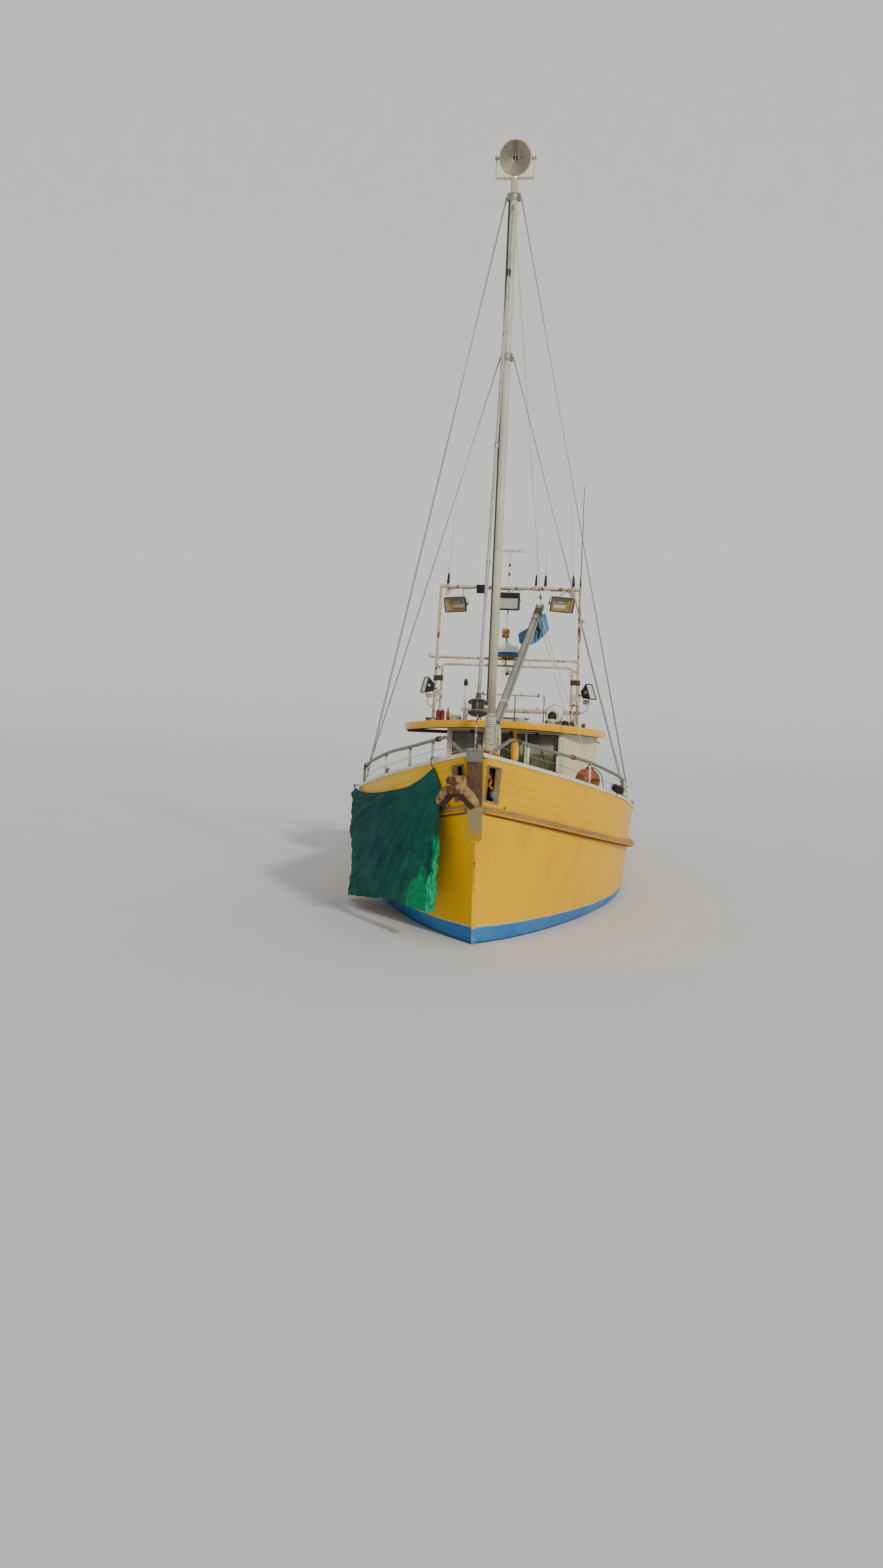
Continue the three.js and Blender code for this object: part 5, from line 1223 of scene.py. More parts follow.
for node, material, bevel in (
        ("keel", "antifouling", .006), ("main_deck", "deck", .004), ("stem", "stem", .006), ("bulwark_stern", "yellow", .006), ("cap_rail_stern", "white", .010),
        ("stemhead_fitting", "galvanised", .003), ("windlass_frame", "green_paint", .004), ("windlass_drum", "rusty", .004),
        ("searchlight_yoke", "chrome", .002), ("boom_gooseneck", "galvanised", .003),
        ("wheelhouse_front", "cream", .006), ("wheelhouse_port_wall", "cream", .006), ("wheelhouse_starboard_wall", "cream", .006), ("wheelhouse_aft_wall", "cream", .006),
        ("wheelhouse_door", "varnish", .004), ("helm_console", "varnish", .006), ("helm_seat", "seat", .012), ("engine", "engine", .01),
        ("hatch_coaming", "white", .006), ("hatch_lid", "worn_paint", .006), ("winch_frame", "green_paint", .004), ("winch_drum", "grey", .004),
        ("net_drum_frame", "grey", .005), ("net_drum", "grey", .005), ("gallows_post_port", "gantry", .006), ("gallows_post_starboard", "gantry", .006),
        ("gallows_beam", "gantry", .006), ("propeller", "bronze", .003), ("rudder", "antifouling", .006)):
    finish_node(node, material, bevel)


# ================================================================ mast, stays and boom
def cap_at(x):
    return along(CAP_Y, x * 1000) * M, along(CAP_Z, x * 1000) * M


def make_mast():
    b = Build("mast_spar")
    x = 5.45
    b.tube([(x, 0, 1.571), (x, 0, 2.4), (x, 0, 3.32)], .0668, "mast_grey", 32)
    b.tube([(x, 0, 3.32), (x, 0, 5.5), (x, 0, 8.0), (x, 0, 10.0), (x, 0, 11.685)], [.0645, .0635, .062, .061, .060], "mast", 32)
    b.turned([(.150, 0), (.150, .018), (.085, .018), (.072, .06), (.0668, .08)], (x, 0, 1.571 + .222), (0, 0, 1), "galvanised", 32)
    for k in range(6):
        a = k * math.pi / 3 + .3
        b.turned([(.0, .0), (.013, 0), (.013, .01), (0, .012)], (x + .118 * math.cos(a), .118 * math.sin(a), 1.811), (0, 0, 1), "steel", 6, False)
    for z, r in ((3.32, .0685), (2.35, .069), (6.02, .066), (7.6, .0655)):
        b.turned([(.062, 0), (r, .004), (r, .03), (.062, .034)], (x, 0, z), (0, 0, 1), "mast", 32)
    # sail track down the starboard quarter, with its slides
    b.box((x - .012, -.079, 3.5), (x + .012, -.060, 11.35), "dark", bevel=.002)
    b.box((x - .005, -.083, 3.5), (x + .005, -.077, 11.35), "mast_grey", bevel=.001)
    for k in range(26):
        b.box((x - .016, -.0815, 3.55 + k * .3), (x + .016, -.0785, 3.57 + k * .3), "steel", bevel=.001)
    # tangs
    for z, h in ((11.412, .085), (8.962, .075)):
        for s in (1, -1):
            b.box((x - .03, s * h - .02, z - .05), (x + .03, s * h + .02, z + .06), "galvanised", bevel=.004)
            b.rod((x - .034, s * h, z - .01), (x + .034, s * h, z - .01), .01, "steel", 10)
        b.turned([(.0615, -.06), (.070, -.055), (.070, .055), (.0615, .06)], (x, 0, z), (0, 0, 1), "mast_grey", 32)
    b.box((5.30, -.02, 11.366), (5.41, .02, 11.382), "galvanised", bevel=.003)
    b.plate([(5.39, 0, 11.30), (5.31, 0, 11.366), (5.40, 0, 11.366)], .008, "galvanised")
    b.turned([(.060, 0), (.060, .02), (.045, .034), (.0, .036)], (x, 0, 11.651), (0, 0, 1), "mast", 24)
    # gooseneck band on the mast
    for z in (2.86, 3.12):
        b.turned([(.066, 0), (.076, .003), (.076, .037), (.066, .04)], (x, 0, z), (0, 0, 1), "galvanised", 32)
    # halyard cleats and their ropes
    for z, a in ((2.55, 2.3), (2.62, 3.9), (2.2, -2.2), (2.95, 2.0)):
        c = Vector((x + .082 * math.cos(a), .082 * math.sin(a), z))
        q = Matrix.Translation(c) @ Matrix.Rotation(a, 4, "Z")
        b.box((-.02, -.014, -.02), (.004, .014, .02), "galvanised", q, .003)
        b.tube([q @ Vector((.014, 0, -.075)), q @ Vector((.004, 0, -.03)), q @ Vector((.004, 0, .03)), q @ Vector((.014, 0, .075))], [.006, .010, .010, .006], "galvanised", 8)
        for k in range(5):
            s = 1 if k % 2 else -1
            b.tube([q @ Vector((.006 + k * .002, -.012 * s, -.05)), q @ Vector((.018 + k * .002, 0, 0)), q @ Vector((.006 + k * .002, .012 * s, .05))], .006, "rope", 6)
    # windings over the sheath
    for z0, n, m_ in ((2.70, 19, "rope"), (3.222, 10, "rope"), (2.40, 5, "rope_dark")):
        b.tube(coil((x, 0, z0), (0, 0, 1), .0790, .0095, n, .0165 * n, 18, .004, 3 + n), .0095, m_, 6)
    # the same rope laid over the front of the gooseneck's bands
    for k in range(17):
        z = 2.868 + .0165 * k
        pts = []
        for j in range(21):
            t = R(-108 + 216 * j / 20)
            r = .0795 - .005 * abs(j - 10) / 10 + .0012 * math.sin(k * 2.3 + j)
            pts.append((x + r * math.cos(t), r * math.sin(t), z + .004 * math.sin(j * .3 + k)))
        b.tube(pts, .0095, "rope", 6)
    o = b.make(bevel=0, replaces=["mast"])
    # hank of rope on the port side of the mast
    b = Build("mast_rope_hanks")
    rnd = random.Random(5)
    for (cy, cz, w, h, m_, n) in ((.118, 2.86, .030, .30, "rope", 16), (.110, 2.52, .030, .14, "rope", 8), (-.12, 2.38, .034, .15, "rope_dark", 6)):
        for k in range(n):
            pts = []
            ox, oy = rnd.uniform(-.03, .03), rnd.uniform(-.018, .018)
            hh, ww = h * rnd.uniform(.88, 1.08), w * rnd.uniform(.8, 1.15)
            for j in range(28):
                a = 2 * math.pi * j / 28
                pts.append((x + ox + .012 * math.sin(2 * a + k), cy + oy + ww * math.cos(a) * (1.0 + .25 * math.sin(a)), cz + hh * math.sin(a) - .02 * k / n))
            b.tube(pts, .008, m_, 6, closed=True)
        b.tube(coil((x, cy, cz + h * .45), (0, 0, 1), w * .95, .008, 4, .05, 16, .05, 7), .008, m_, 6)
        b.rod((x, .06 * (1 if cy > 0 else -1), cz + h + .01), (x, cy + .02 * (1 if cy > 0 else -1), cz + h - .012), .007, "galvanised", 8)
    b.make()


make_mast()


def make_forestay():
    low, high = Vector((8.565, 0, 2.915)), Vector((5.528, 0, 11.25))
    axis = (high - low).normalized()
    b = Build("forestay_wire")
    b.tube([low, low.lerp(high, .5), high], .0065, "wire", 8)
    b.box((5.50, -.012, 11.21), (5.54, .012, 11.27), "galvanised", bevel=.003)
    b.rod(low - axis * .0, low + axis * .10, .011, "steel", 12)
    b.rod(low + axis * .09, low + axis * .17, .015, "steel", 12)
    b.rod(low + axis * .16, low + axis * .36, .0085, "steel", 12)
    b.make(replaces=["forestay"])
    c = low + (high - low) * .0594
    b = Build("furler_drum_and_foil", "roller_furler")
    q = Vector((0, 0, 1)).rotation_difference(axis)

    def at(h):
        return c + axis * h
    b.turned([(.0, -.092), (.05, -.092), (.128, -.086), (.134, -.08), (.134, -.070), (.120, -.066), (.062, -.062), (.062, .062), (.120, .066), (.134, .070), (.134, .080), (.126, .086), (.05, .092), (.04, .14), (.034, .2), (.0, .2)], c, axis, "drum_metal", 40)
    for h in (-.0735, .0755):
        b.torus(at(h), axis, .1325, .0045, "steel", 48, 8)
    for k in range(8):
        a = k * math.pi / 4
        d = q @ Vector((math.cos(a), math.sin(a), 0))
        b.rod(at(-.07) + d * .126, at(.072) + d * .126, .0045, "steel", 8)
        b.turned([(0, 0), (.006, 0), (.006, .006), (0, .008)], at(.086) + d * .1, axis, "steel", 6, False)
    line = coil(c, axis, .074, .006, 11, .11, 20, .012, 2)
    b.tube(line, .0065, "rope_dark", 6)
    # aluminium foil: an oval with a groove each side, joined every two metres
    top = 7.45
    n = 16
    b.tube([at(.2), at(.24)], [.034, .026], "silver", 24)
    sect = []
    for k in range(24):
        a = 2 * math.pi * k / 24
        r = .0165 if k in (6, 18) else .029 + .003 * abs(math.cos(a))
        sect.append((r * math.cos(a), r * math.sin(a) * .8))
    v, f, uv = [], [], []
    hs = [.24 + (top - .24) * i / 10 for i in range(11)]
    for i, h in enumerate(hs):
        for k, (px, py) in enumerate(sect):
            v.append(at(h) + q @ Vector((px, py, 0)))
            uv.append((h, k / 24))
    for i in range(10):
        for k in range(24):
            f.append((i * 24 + k, i * 24 + (k + 1) % 24, (i + 1) * 24 + (k + 1) % 24, (i + 1) * 24 + k))
    f.append(tuple(range(24))[::-1])
    f.append(tuple(10 * 24 + k for k in range(24)))
    b.add(v, f, "silver", True, uv)
    for h in (2.1, 4.0, 5.9):
        b.tube([at(h), at(h + .006), at(h + .084), at(h + .09)], [.028, .0315, .0315, .028], "steel", 24)
    b.tube([at(top - .46), at(top - .45), at(top - .33), at(top - .32)], [.030, .0318, .0318, .030], "dark", 24)
    o = b.make(replaces=["furler"])


make_forestay()


def make_shrouds():
    for side, name in ((1, "port"), (-1, "starboard")):
        for row, y, z, x1, x2 in (("upper", .105, 11.412, 3.45, 3.15), ("lower", .095, 8.962, 4.23, 4.01)):
            b = Build("rigging_%s_%s" % (row, name))
            for x, dx in ((x1, .02), (x2, -.02)):
                cy, cz = cap_at(x)
                lo = Vector((x, side * (cy - .06), cz + .004))
                hi = Vector((5.45 + dx, side * (y + .01), z))
                ax = (hi - lo).normalized()
                length = (hi - lo).length
                b.tube([lo + ax * .34, lo + ax * length * .5, hi - ax * .06], .0062, "wire", 8)
                # rigging screw, white sleeve over its lower part, fork and pin
                b.tube([lo + ax * .05, lo + ax * .07, lo + ax * .27, lo + ax * .29], [.010, .0155, .0155, .010], "plastic", 14)
                b.rod(lo + ax * .0, lo + ax * .08, .0085, "steel", 10)
                b.rod(lo + ax * .27, lo + ax * .40, .0085, "steel", 10)
                b.tube([lo + ax * .30, lo + ax * .33, lo + ax * .36], [.0125, .0145, .0125], "steel", 6)
                b.box((x - .022, lo.y - .010, lo.z - .003), (x + .022, lo.y + .010, lo.z + .05), "galvanised", bevel=.003)
                b.rod((x, lo.y - .022, lo.z + .035), (x, lo.y + .022, lo.z + .035), .0065, "steel", 8)
                b.tube([hi - ax * .10, hi - ax * .03, hi], [.008, .012, .008], "steel", 10)
                # deadman strip on the cap rail
                b.box((x - .045, lo.y - .03, lo.z - .006), (x + .045, lo.y + .03, lo.z + .001), "galvanised", bevel=.002)
            b.box((5.40, side * y - .008 * side - .006, z - .02), (5.50, side * y - .008 * side + .006, z + .015), "galvanised", bevel=.003)
            b.make(replaces=["shroud_%s_%s" % (row, name)])


make_shrouds()

PIVOT = Vector((5.23116, .01482, 3.0))
BOOM_LENGTH = 4.6227
BOOM = Matrix.Translation(PIVOT) @ Matrix.Rotation(R(171.0236), 4, "Z") @ Matrix.Rotation(R(-32.96), 4, "Y")


def make_boom():
    b = Build("boom_spar", "cargo_boom")
    L = BOOM_LENGTH
    b.box((.11, -.058, -.058), (L, .058, .056), "boom", BOOM, .012)
    for s in (1, -1):
        b.box((.16, s * .054 - .006, .050), (L - .02, s * .054 + .006, .0602), "boom_dark", BOOM, .002)
    for x in (.30, L - .22):
        b.box((x, -.062, -.062), (x + .05, .062, .062), "boom_dark", BOOM, .003)
        for s in (1, -1):
            b.turned([(0, 0), (.009, 0), (.009, .007), (0, .009)], BOOM @ Vector((x + .025, s * .062, 0)), (BOOM.to_3x3() @ Vector((0, s, 0))), "steel", 6, False)
    # heel fitting
    for s in (1, -1):
        b.box((-.03, s * .045 - .007, -.03), (.24, s * .045 + .007, .03), "galvanised", BOOM, .003)
    b.rod(BOOM @ Vector((0, -.052, 0)), BOOM @ Vector((0, .052, 0)), .016, "steel", 14)
    # head: cheek plates, a sheave between them and eyes
    for s in (1, -1):
        b.plate([BOOM @ Vector(p) for p in ((L - .10, s * .064, -.05), (L + .012, s * .064, -.05), (L + .052, s * .064, -.01), (L + .052, s * .064, .055), (L - .10, s * .064, .055))], .01, "galvanised")
    b.rod(BOOM @ Vector((L + .022, -.066, .022)), BOOM @ Vector((L + .022, .066, .022)), .012, "steel", 12)
    b.turned([(.0, -.012), (.042, -.012), (.036, 0), (.042, .012), (0, .012)], BOOM @ Vector((L + .01, 0, .0)), BOOM.to_3x3() @ Vector((0, 1, 0)), "rusty", 24)
    for x, z in ((L - .14, -.058), (2.7, -.058), (.9, -.058)):
        c = BOOM @ Vector((x, 0, z - .022))
        b.torus(c, BOOM.to_3x3() @ Vector((0, 1, 0)), .02, .005, "galvanised", 18, 8)
        b.box((x - .03, -.02, z - .006), (x + .03, .02, z + .001), "galvanised", BOOM, .002)
    # halyard along its underside, made fast with turns
    pts = [BOOM @ Vector((.8 + .25 * k, .012 * math.sin(k * 1.7), -.071 - .006 * (k % 2))) for k in range(15)]
    b.tube(curve_points(pts, 4), .007, "rope", 6)
    for x, m_ in ((.95, "rope"), (L - .34, "rope_dark")):
        ring = []
        n = 5
        for k in range(n * 12 + 1):
            a = 2 * math.pi * k / 12
            t = k / (n * 12)
            cy, cz = math.cos(a), math.sin(a)
            w = .070 / max(abs(cy), abs(cz)) ** .72
            ring.append(BOOM @ Vector((x + .016 * n * t, w * cy, w * cz)))
        b.tube(ring, .0075, m_, 6)
    b.make(replaces=["boom"])


make_boom()


def block(b, c, axis_up, axis_pin, size=.06, material="worn_timber"):
    """A rigging block: two oval cheeks, a sheave and a strap."""
    up = Vector(axis_up).normalized()
    pin = Vector(axis_pin)
    pin = (pin - up * pin.dot(up)).normalized()
    side = up.cross(pin)
    c = Vector(c)
    for s in (1, -1):
        pts = [c + pin * s * size * .32 + up * math.sin(a) * size * 1.15 + side * math.cos(a) * size * .72 for a in [2 * math.pi * k / 16 for k in range(16)]]
        b.plate(pts, size * .22, material, .002)
    b.turned([(0, -size * .18), (size * .7, -size * .18), (size * .58, 0), (size * .7, size * .18), (0, size * .18)], c, pin, "galvanised", 20)
    b.tube([c + pin * size * .5 - up * size * .2, c + pin * size * .47 + up * size * 1.0, c + up * size * 1.5, c - pin * size * .47 + up * size * 1.0, c - pin * size * .5 - up * size * .2], size * .09, "galvanised", 6)
    b.rod(c - pin * size * .55, c + pin * size * .55, size * .12, "steel", 8)


def make_topping_lift():
    lo, hi = Vector((1.37, .638, 5.569)), Vector((5.325, 0, 11.340))
    ax = (hi - lo).normalized()
    across = ax.cross(Vector((0, 1, 0))).normalized()
    b = Build("topping_lift_tackle", body=None)
    a0, a1 = lo + ax * .16, hi - ax * .16
    block(b, a0, -ax, (0, 1, 0), .045)
    block(b, a1, ax, (0, 1, 0), .045)
    for d in (-.024, .024):
        b.tube([(a0 + across * d).lerp(a1 + across * d, k / 24) - across * d * .5 * math.sin(math.pi * k / 24) for k in range(25)], .0055, "rope", 7)
    b.tube([lo + ax * .02, lo + ax * .10], .006, "steel", 8)
    b.torus(lo + ax * .02, (0, 1, 0), .018, .005, "galvanised", 16, 8)
    b.tube([hi - ax * .10, hi - ax * .02], .006, "steel", 8)
    b.torus(hi - ax * .02, (0, 1, 0), .016, .005, "galvanised", 16, 8)
    o = b.make(replaces=["topping_lift"])
    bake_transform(o)


make_topping_lift()


def make_searchlight():
    c = Vector((5.45, 0, 12.005))
    d = R(20)
    ax = Vector((math.cos(d), 0, -math.sin(d)))
    b = Build("searchlight_housing", "masthead_light")
    b.turned([(0, -.175), (.085, -.175), (.12, -.158), (.155, -.128), (.195, -.075), (.225, -.012), (.238, .03), (.242, .064), (.2465, .074), (.250, .084), (.250, .106), (.2465, .112), (.232, .118)], c, ax, "lamp", 56)
    b.turned([(.2335, .1185), (.236, .104), (.226, .096), (.212, .104), (.212, .116), (.2335, .1185)], c, ax, "chrome", 56)
    # the ribbed glass over the reflector; its finish paints the upper half dark as shade, and paints highlights along
    # the ribs
    n, sides = 14, 56
    q = Vector((0, 0, 1)).rotation_difference(ax)
    v, f = [], []
    for i in range(n + 1):
        r = .214 * i / n
        for k in range(sides):
            a = 2 * math.pi * k / sides
            y = r * math.sin(a)
            h = .100 + .018 * math.sqrt(max(0, 1 - (r / .214) ** 2)) + .0016 * math.cos(y * 2 * math.pi / .022)
            v.append(c + q @ Vector((r * math.cos(a), r * math.sin(a), h)))
    for i in range(n):
        for k in range(sides):
            f.append((i * sides + k, i * sides + (k + 1) % sides, (i + 1) * sides + (k + 1) % sides, (i + 1) * sides + k))
    b.add(v, f, "lens_ribbed", True)
    b.turned([(.20, .02), (.205, .06), (.214, .095)], c, ax, "reflector", 40)
    b.turned([(0, -.06), (.08, -.05), (.15, -.01), (.20, .06), (.211, .094)], c, ax, "reflector", 40)
    b.turned([(0, 0), (.022, 0), (.022, .06), (0, .075)], c - ax * .02, ax, "plastic", 16)
    for k in range(10):
        a = 2 * math.pi * k / 10
        p = c + q @ Vector((.250 * math.cos(a), .250 * math.sin(a), .095))
        b.obox(p, (.018, .012, .03), "chrome", quat=(Vector((1, 0, 0)).rotation_difference(q @ Vector((math.cos(a), math.sin(a), 0)))), bevel=.002)
    for k in range(7):
        b.torus(c - ax * (.150 - .018 * k), ax, .135 + .0165 * k if k < 3 else .158 + .0125 * (k - 2) * 1.05, .004, "lamp", 40, 6)
    for s in (1, -1):
        b.turned([(0, 0), (.03, 0), (.03, .018), (.018, .022), (.018, .05), (0, .052)], c + Vector((0, s * .268, 0)), (0, s, 0), "chrome", 20)
        b.rod(c + Vector((0, s * .23, 0)), c + Vector((0, s * .272, 0)), .016, "steel", 14)
        b.turned([(0, 0), (.024, .0), (.028, .006), (.028, .012), (0, .014)], c + Vector((0, s * .304, 0)), (0, s, 0), "dark", 12)
    b.make(replaces=["searchlight"])


def lens_ribbed():
    m = Mat("lens_ribbed")
    x, y, z = m.split()
    # painted light: lighter and darker stripes along the ribs are painted highlights, and the glass above the lamp's
    # middle is painted dark as shade inside the lamp
    rib = m.wave(7.2, 0, 0, direction="Y")
    top = m.between(z, 11.99, 12.03)
    dirt = m.noise(9, 5, .7)
    bright = m.mix(rib, srgb(238, 236, 222), srgb(176, 176, 166))
    dark = m.mix(rib, srgb(52, 54, 54), srgb(110, 112, 108))
    col = m.mix(top, bright, dark)
    col = m.mix(m.ramp(dirt, [(.55, 0), (.8, .5)]), col, srgb(150, 130, 96))
    m.set("Base Color", col)
    m.set("Roughness", m.ramp(dirt, [(.3, .08), (.8, .3)]))
    m.set("Coat Weight", .6)
    m.bump(rib, .3, .004)
    return m.m


MATS["lens_ribbed"] = lens_ribbed()
MATS["reflector"] = metal_mat("reflector", srgb(226, 226, 222), .18, .95, 0)
make_searchlight()


# ================================================================ bow rails
def make_bow_rails():
    rows = [[7950, 290], [7600, 295], [6880, 307], [5930, 338], [5000, 322], [4400, 305]]
    for side, name in ((1, "port"), (-1, "starboard")):
        b = Build("bow_rail_pipe_" + name)

        def top(x, h):
            cy, cz = cap_at(x)
            return Vector((x, side * (cy - .085), cz + h))
        pts = [top(8.15, .0), top(8.145, .12), top(8.09, .235)] + [top(x * M, h * M) for x, h in rows]
        fine = []
        for k in range(len(rows) - 1):
            for j in range(5):
                t = j / 5
                x = lerp(rows[k][0], rows[k + 1][0], t)
                fine.append(top(x * M, along(sorted(rows), x) * M))
        end = top(4.4, .305)
        start = [top(8.325, .0), top(8.25, .060), top(8.08, .192), top(8.02, .238)] + curve_points([top(8.02, .238), top(7.985, .268), top(7.94, .289), top(7.88, .291)], 5)[1:]
        tail = [top(4.43, .305), top(4.405, .29), top(4.4, .26), top(4.4, .14), top(4.4, .002)]
        path = start + [p_ for p_ in fine if abs(p_.x) < 7.86] + tail
        b.tube(path, .024, "galvanised", 16)
        for x in (7.6, 6.88, 5.93):
            h = along(sorted(rows), x * 1000) * M
            lo, hi = top(x, .002), top(x, h - .01)
            b.tube([lo, lo.lerp(hi, .5), hi], .021, "stanchion", 16)
            b.tube([hi - Vector((0, 0, .035)), hi - Vector((0, 0, .03)), hi + Vector((0, 0, .012))], [.021, .0245, .0245], "galvanised", 16)
        for x in (8.325, 7.6, 6.88, 5.93, 4.4):
            p = top(x, 0)
            b.turned([(.0, 0), (.044, 0), (.044, .008), (.028, .011), (.026, .03), (0, .03)], p, (0, 0, 1), "galvanised", 20)
            for k in range(4):
                a = k * math.pi / 2 + .78
                b.turned([(0, 0), (.006, 0), (.006, .005), (0, .007)], p + Vector((.035 * math.cos(a), .035 * math.sin(a), .008)), (0, 0, 1), "steel", 6, False)
        # mid wire through the stanchions
        mid = [top(x, .15) for x in (8.13, 7.6, 6.88, 5.93, 5.0, 4.4)]
        fine_mid = []
        for k in range(len(mid) - 1):
            fine_mid += [mid[k].lerp(mid[k + 1], j / 4) + Vector((0, 0, -.012 * 4 * (j / 4) * (1 - j / 4))) for j in range(4)]
        b.tube(fine_mid + [mid[-1]], .0045, "wire", 6)
        # lashings round the pipe
        for x, n, m_ in (((7.86, 5, "rope_dark"), (6.5, 4, "rope_brown")) if side > 0 else ((7.8, 5, "rope_dark"), (4.7, 5, "rope_dark"))):
            h = along(sorted(rows), x * 1000) * M
            ring = []
            for k in range(n * 12 + 1):
                a = 2 * math.pi * k / 12
                xx = x - k / 12 * .0165
                c = top(xx, along(sorted(rows), xx * 1000) * M)
                ring.append(c + Vector((0, .0305 * math.cos(a), .0305 * math.sin(a))))
            b.tube(ring, .0078, m_, 6)
        b.make(replaces=["bow_rail_" + name])


MATS["stanchion"] = paint("stanchion_paint", srgb(236, 232, 214), srgb(214, 206, 182), rough=.45, spots=.5, streaks=.4, tone=4)
make_bow_rails()


# ================================================================ gantry, lamps and what stands on the roof
def roof_at(y):
    return roof_z(max(-2.0, min(2.0, y)))


def flood(b, c, turn, tilt, w, h, depth=.19, face="flood_glass", back="dark", rim="dark"):
    """A floodlight: finned back, rim and glass; turn to port and tilt down in radians. w and h are half sizes."""
    m = Matrix.Translation(Vector(c)) @ Matrix.Rotation(turn, 4, "Z") @ Matrix.Rotation(tilt, 4, "Y")
    d0 = -depth * .6

    def ring(x, a, z_, r=.02):
        return [m @ Vector((x, p[0], p[1])) for p in rounded([(-a, -z_), (a, -z_), (a, z_), (-a, z_)], r, 3)]
    rows = [ring(d0, w * .5, h * .45, .03), ring(d0 + .02, w * .62, h * .6, .03), ring(depth * .18, w * .93, h * .93, .025), ring(depth * .30, w, h, .02), ring(depth * .42, w, h, .02), ring(depth * .42, w - .014, h - .014, .016), ring(depth * .36, w - .018, h - .018, .014)]
    n = len(rows[0])
    v = [p for r in rows for p in r]
    f = [(i * n + k, i * n + (k + 1) % n, (i + 1) * n + (k + 1) % n, (i + 1) * n + k) for i in range(len(rows) - 1) for k in range(n)]
    f.append(tuple(range(n))[::-1])
    b.add(v, f, back)
    if face == "flare":
        inner = ring(-.03, w * .52, h * .5, .012)
        b.add(rows[-1] + inner, [(k, n + k, n + (k + 1) % n, (k + 1) % n) for k in range(n)], "flood_inside", smooth=False)
        b.add(inner, [tuple(range(n))], "flood_glass")
        rows[-1] = inner
    else:
        b.add(rows[-1], [tuple(range(n))], face)
    b.add([p + (m.to_3x3() @ Vector((-.03, 0, 0))) for p in rows[-1]], [tuple(range(n))], "reflector")
    for k in range(7):
        y = -w * .5 + k * w / 6
        b.box((d0 - .022, y - .003, -h * .5), (d0 + .05, y + .003, h * .5), back, m, .001)
    for s in (1, -1):
        b.box((-.02, s * (w + .004) - .003, -.03), (.05, s * (w + .004) + .003, .03), "galvanised", m, .001)
        b.turned([(0, 0), (.012, 0), (.012, .012), (0, .015)], m @ Vector((.01, s * (w + .006), 0)), m.to_3x3() @ Vector((0, s, 0)), "steel", 8, False)
    for sy in (1, -1):
        for sz in (1, -1):
            b.turned([(0, 0), (.007, 0), (.007, .004), (0, .006)], m @ Vector((depth * .42, sy * (w - .03), sz * (h - .007))), m.to_3x3() @ Vector((1, 0, 0)), "steel", 6, False)
    return m


def flood_glass():
    m = Mat("flood_glass")
    x, y, z = m.split()
    rib = m.wave(9.0, 0.2, 1, direction="Y")
    dirt = m.noise(6, 5, .7)
    # the ribs' lighter and darker stripes are painted highlights; the dirt over them is the glass's own
    col = m.mix(rib, srgb(224, 222, 208), srgb(186, 186, 176))
    col = m.mix(m.ramp(dirt, [(.45, 0), (.8, .6)]), col, srgb(150, 140, 118))
    m.set("Base Color", col)
    m.set("Roughness", m.ramp(dirt, [(.3, .1), (.8, .4)]))
    m.set("Coat Weight", .5)
    m.bump(rib, .25, .003)
    return m.m


MATS["flood_glass"] = flood_glass()
G = {"x": .95, "top": 5.93, "bar": 4.497, "bar2": 4.36}


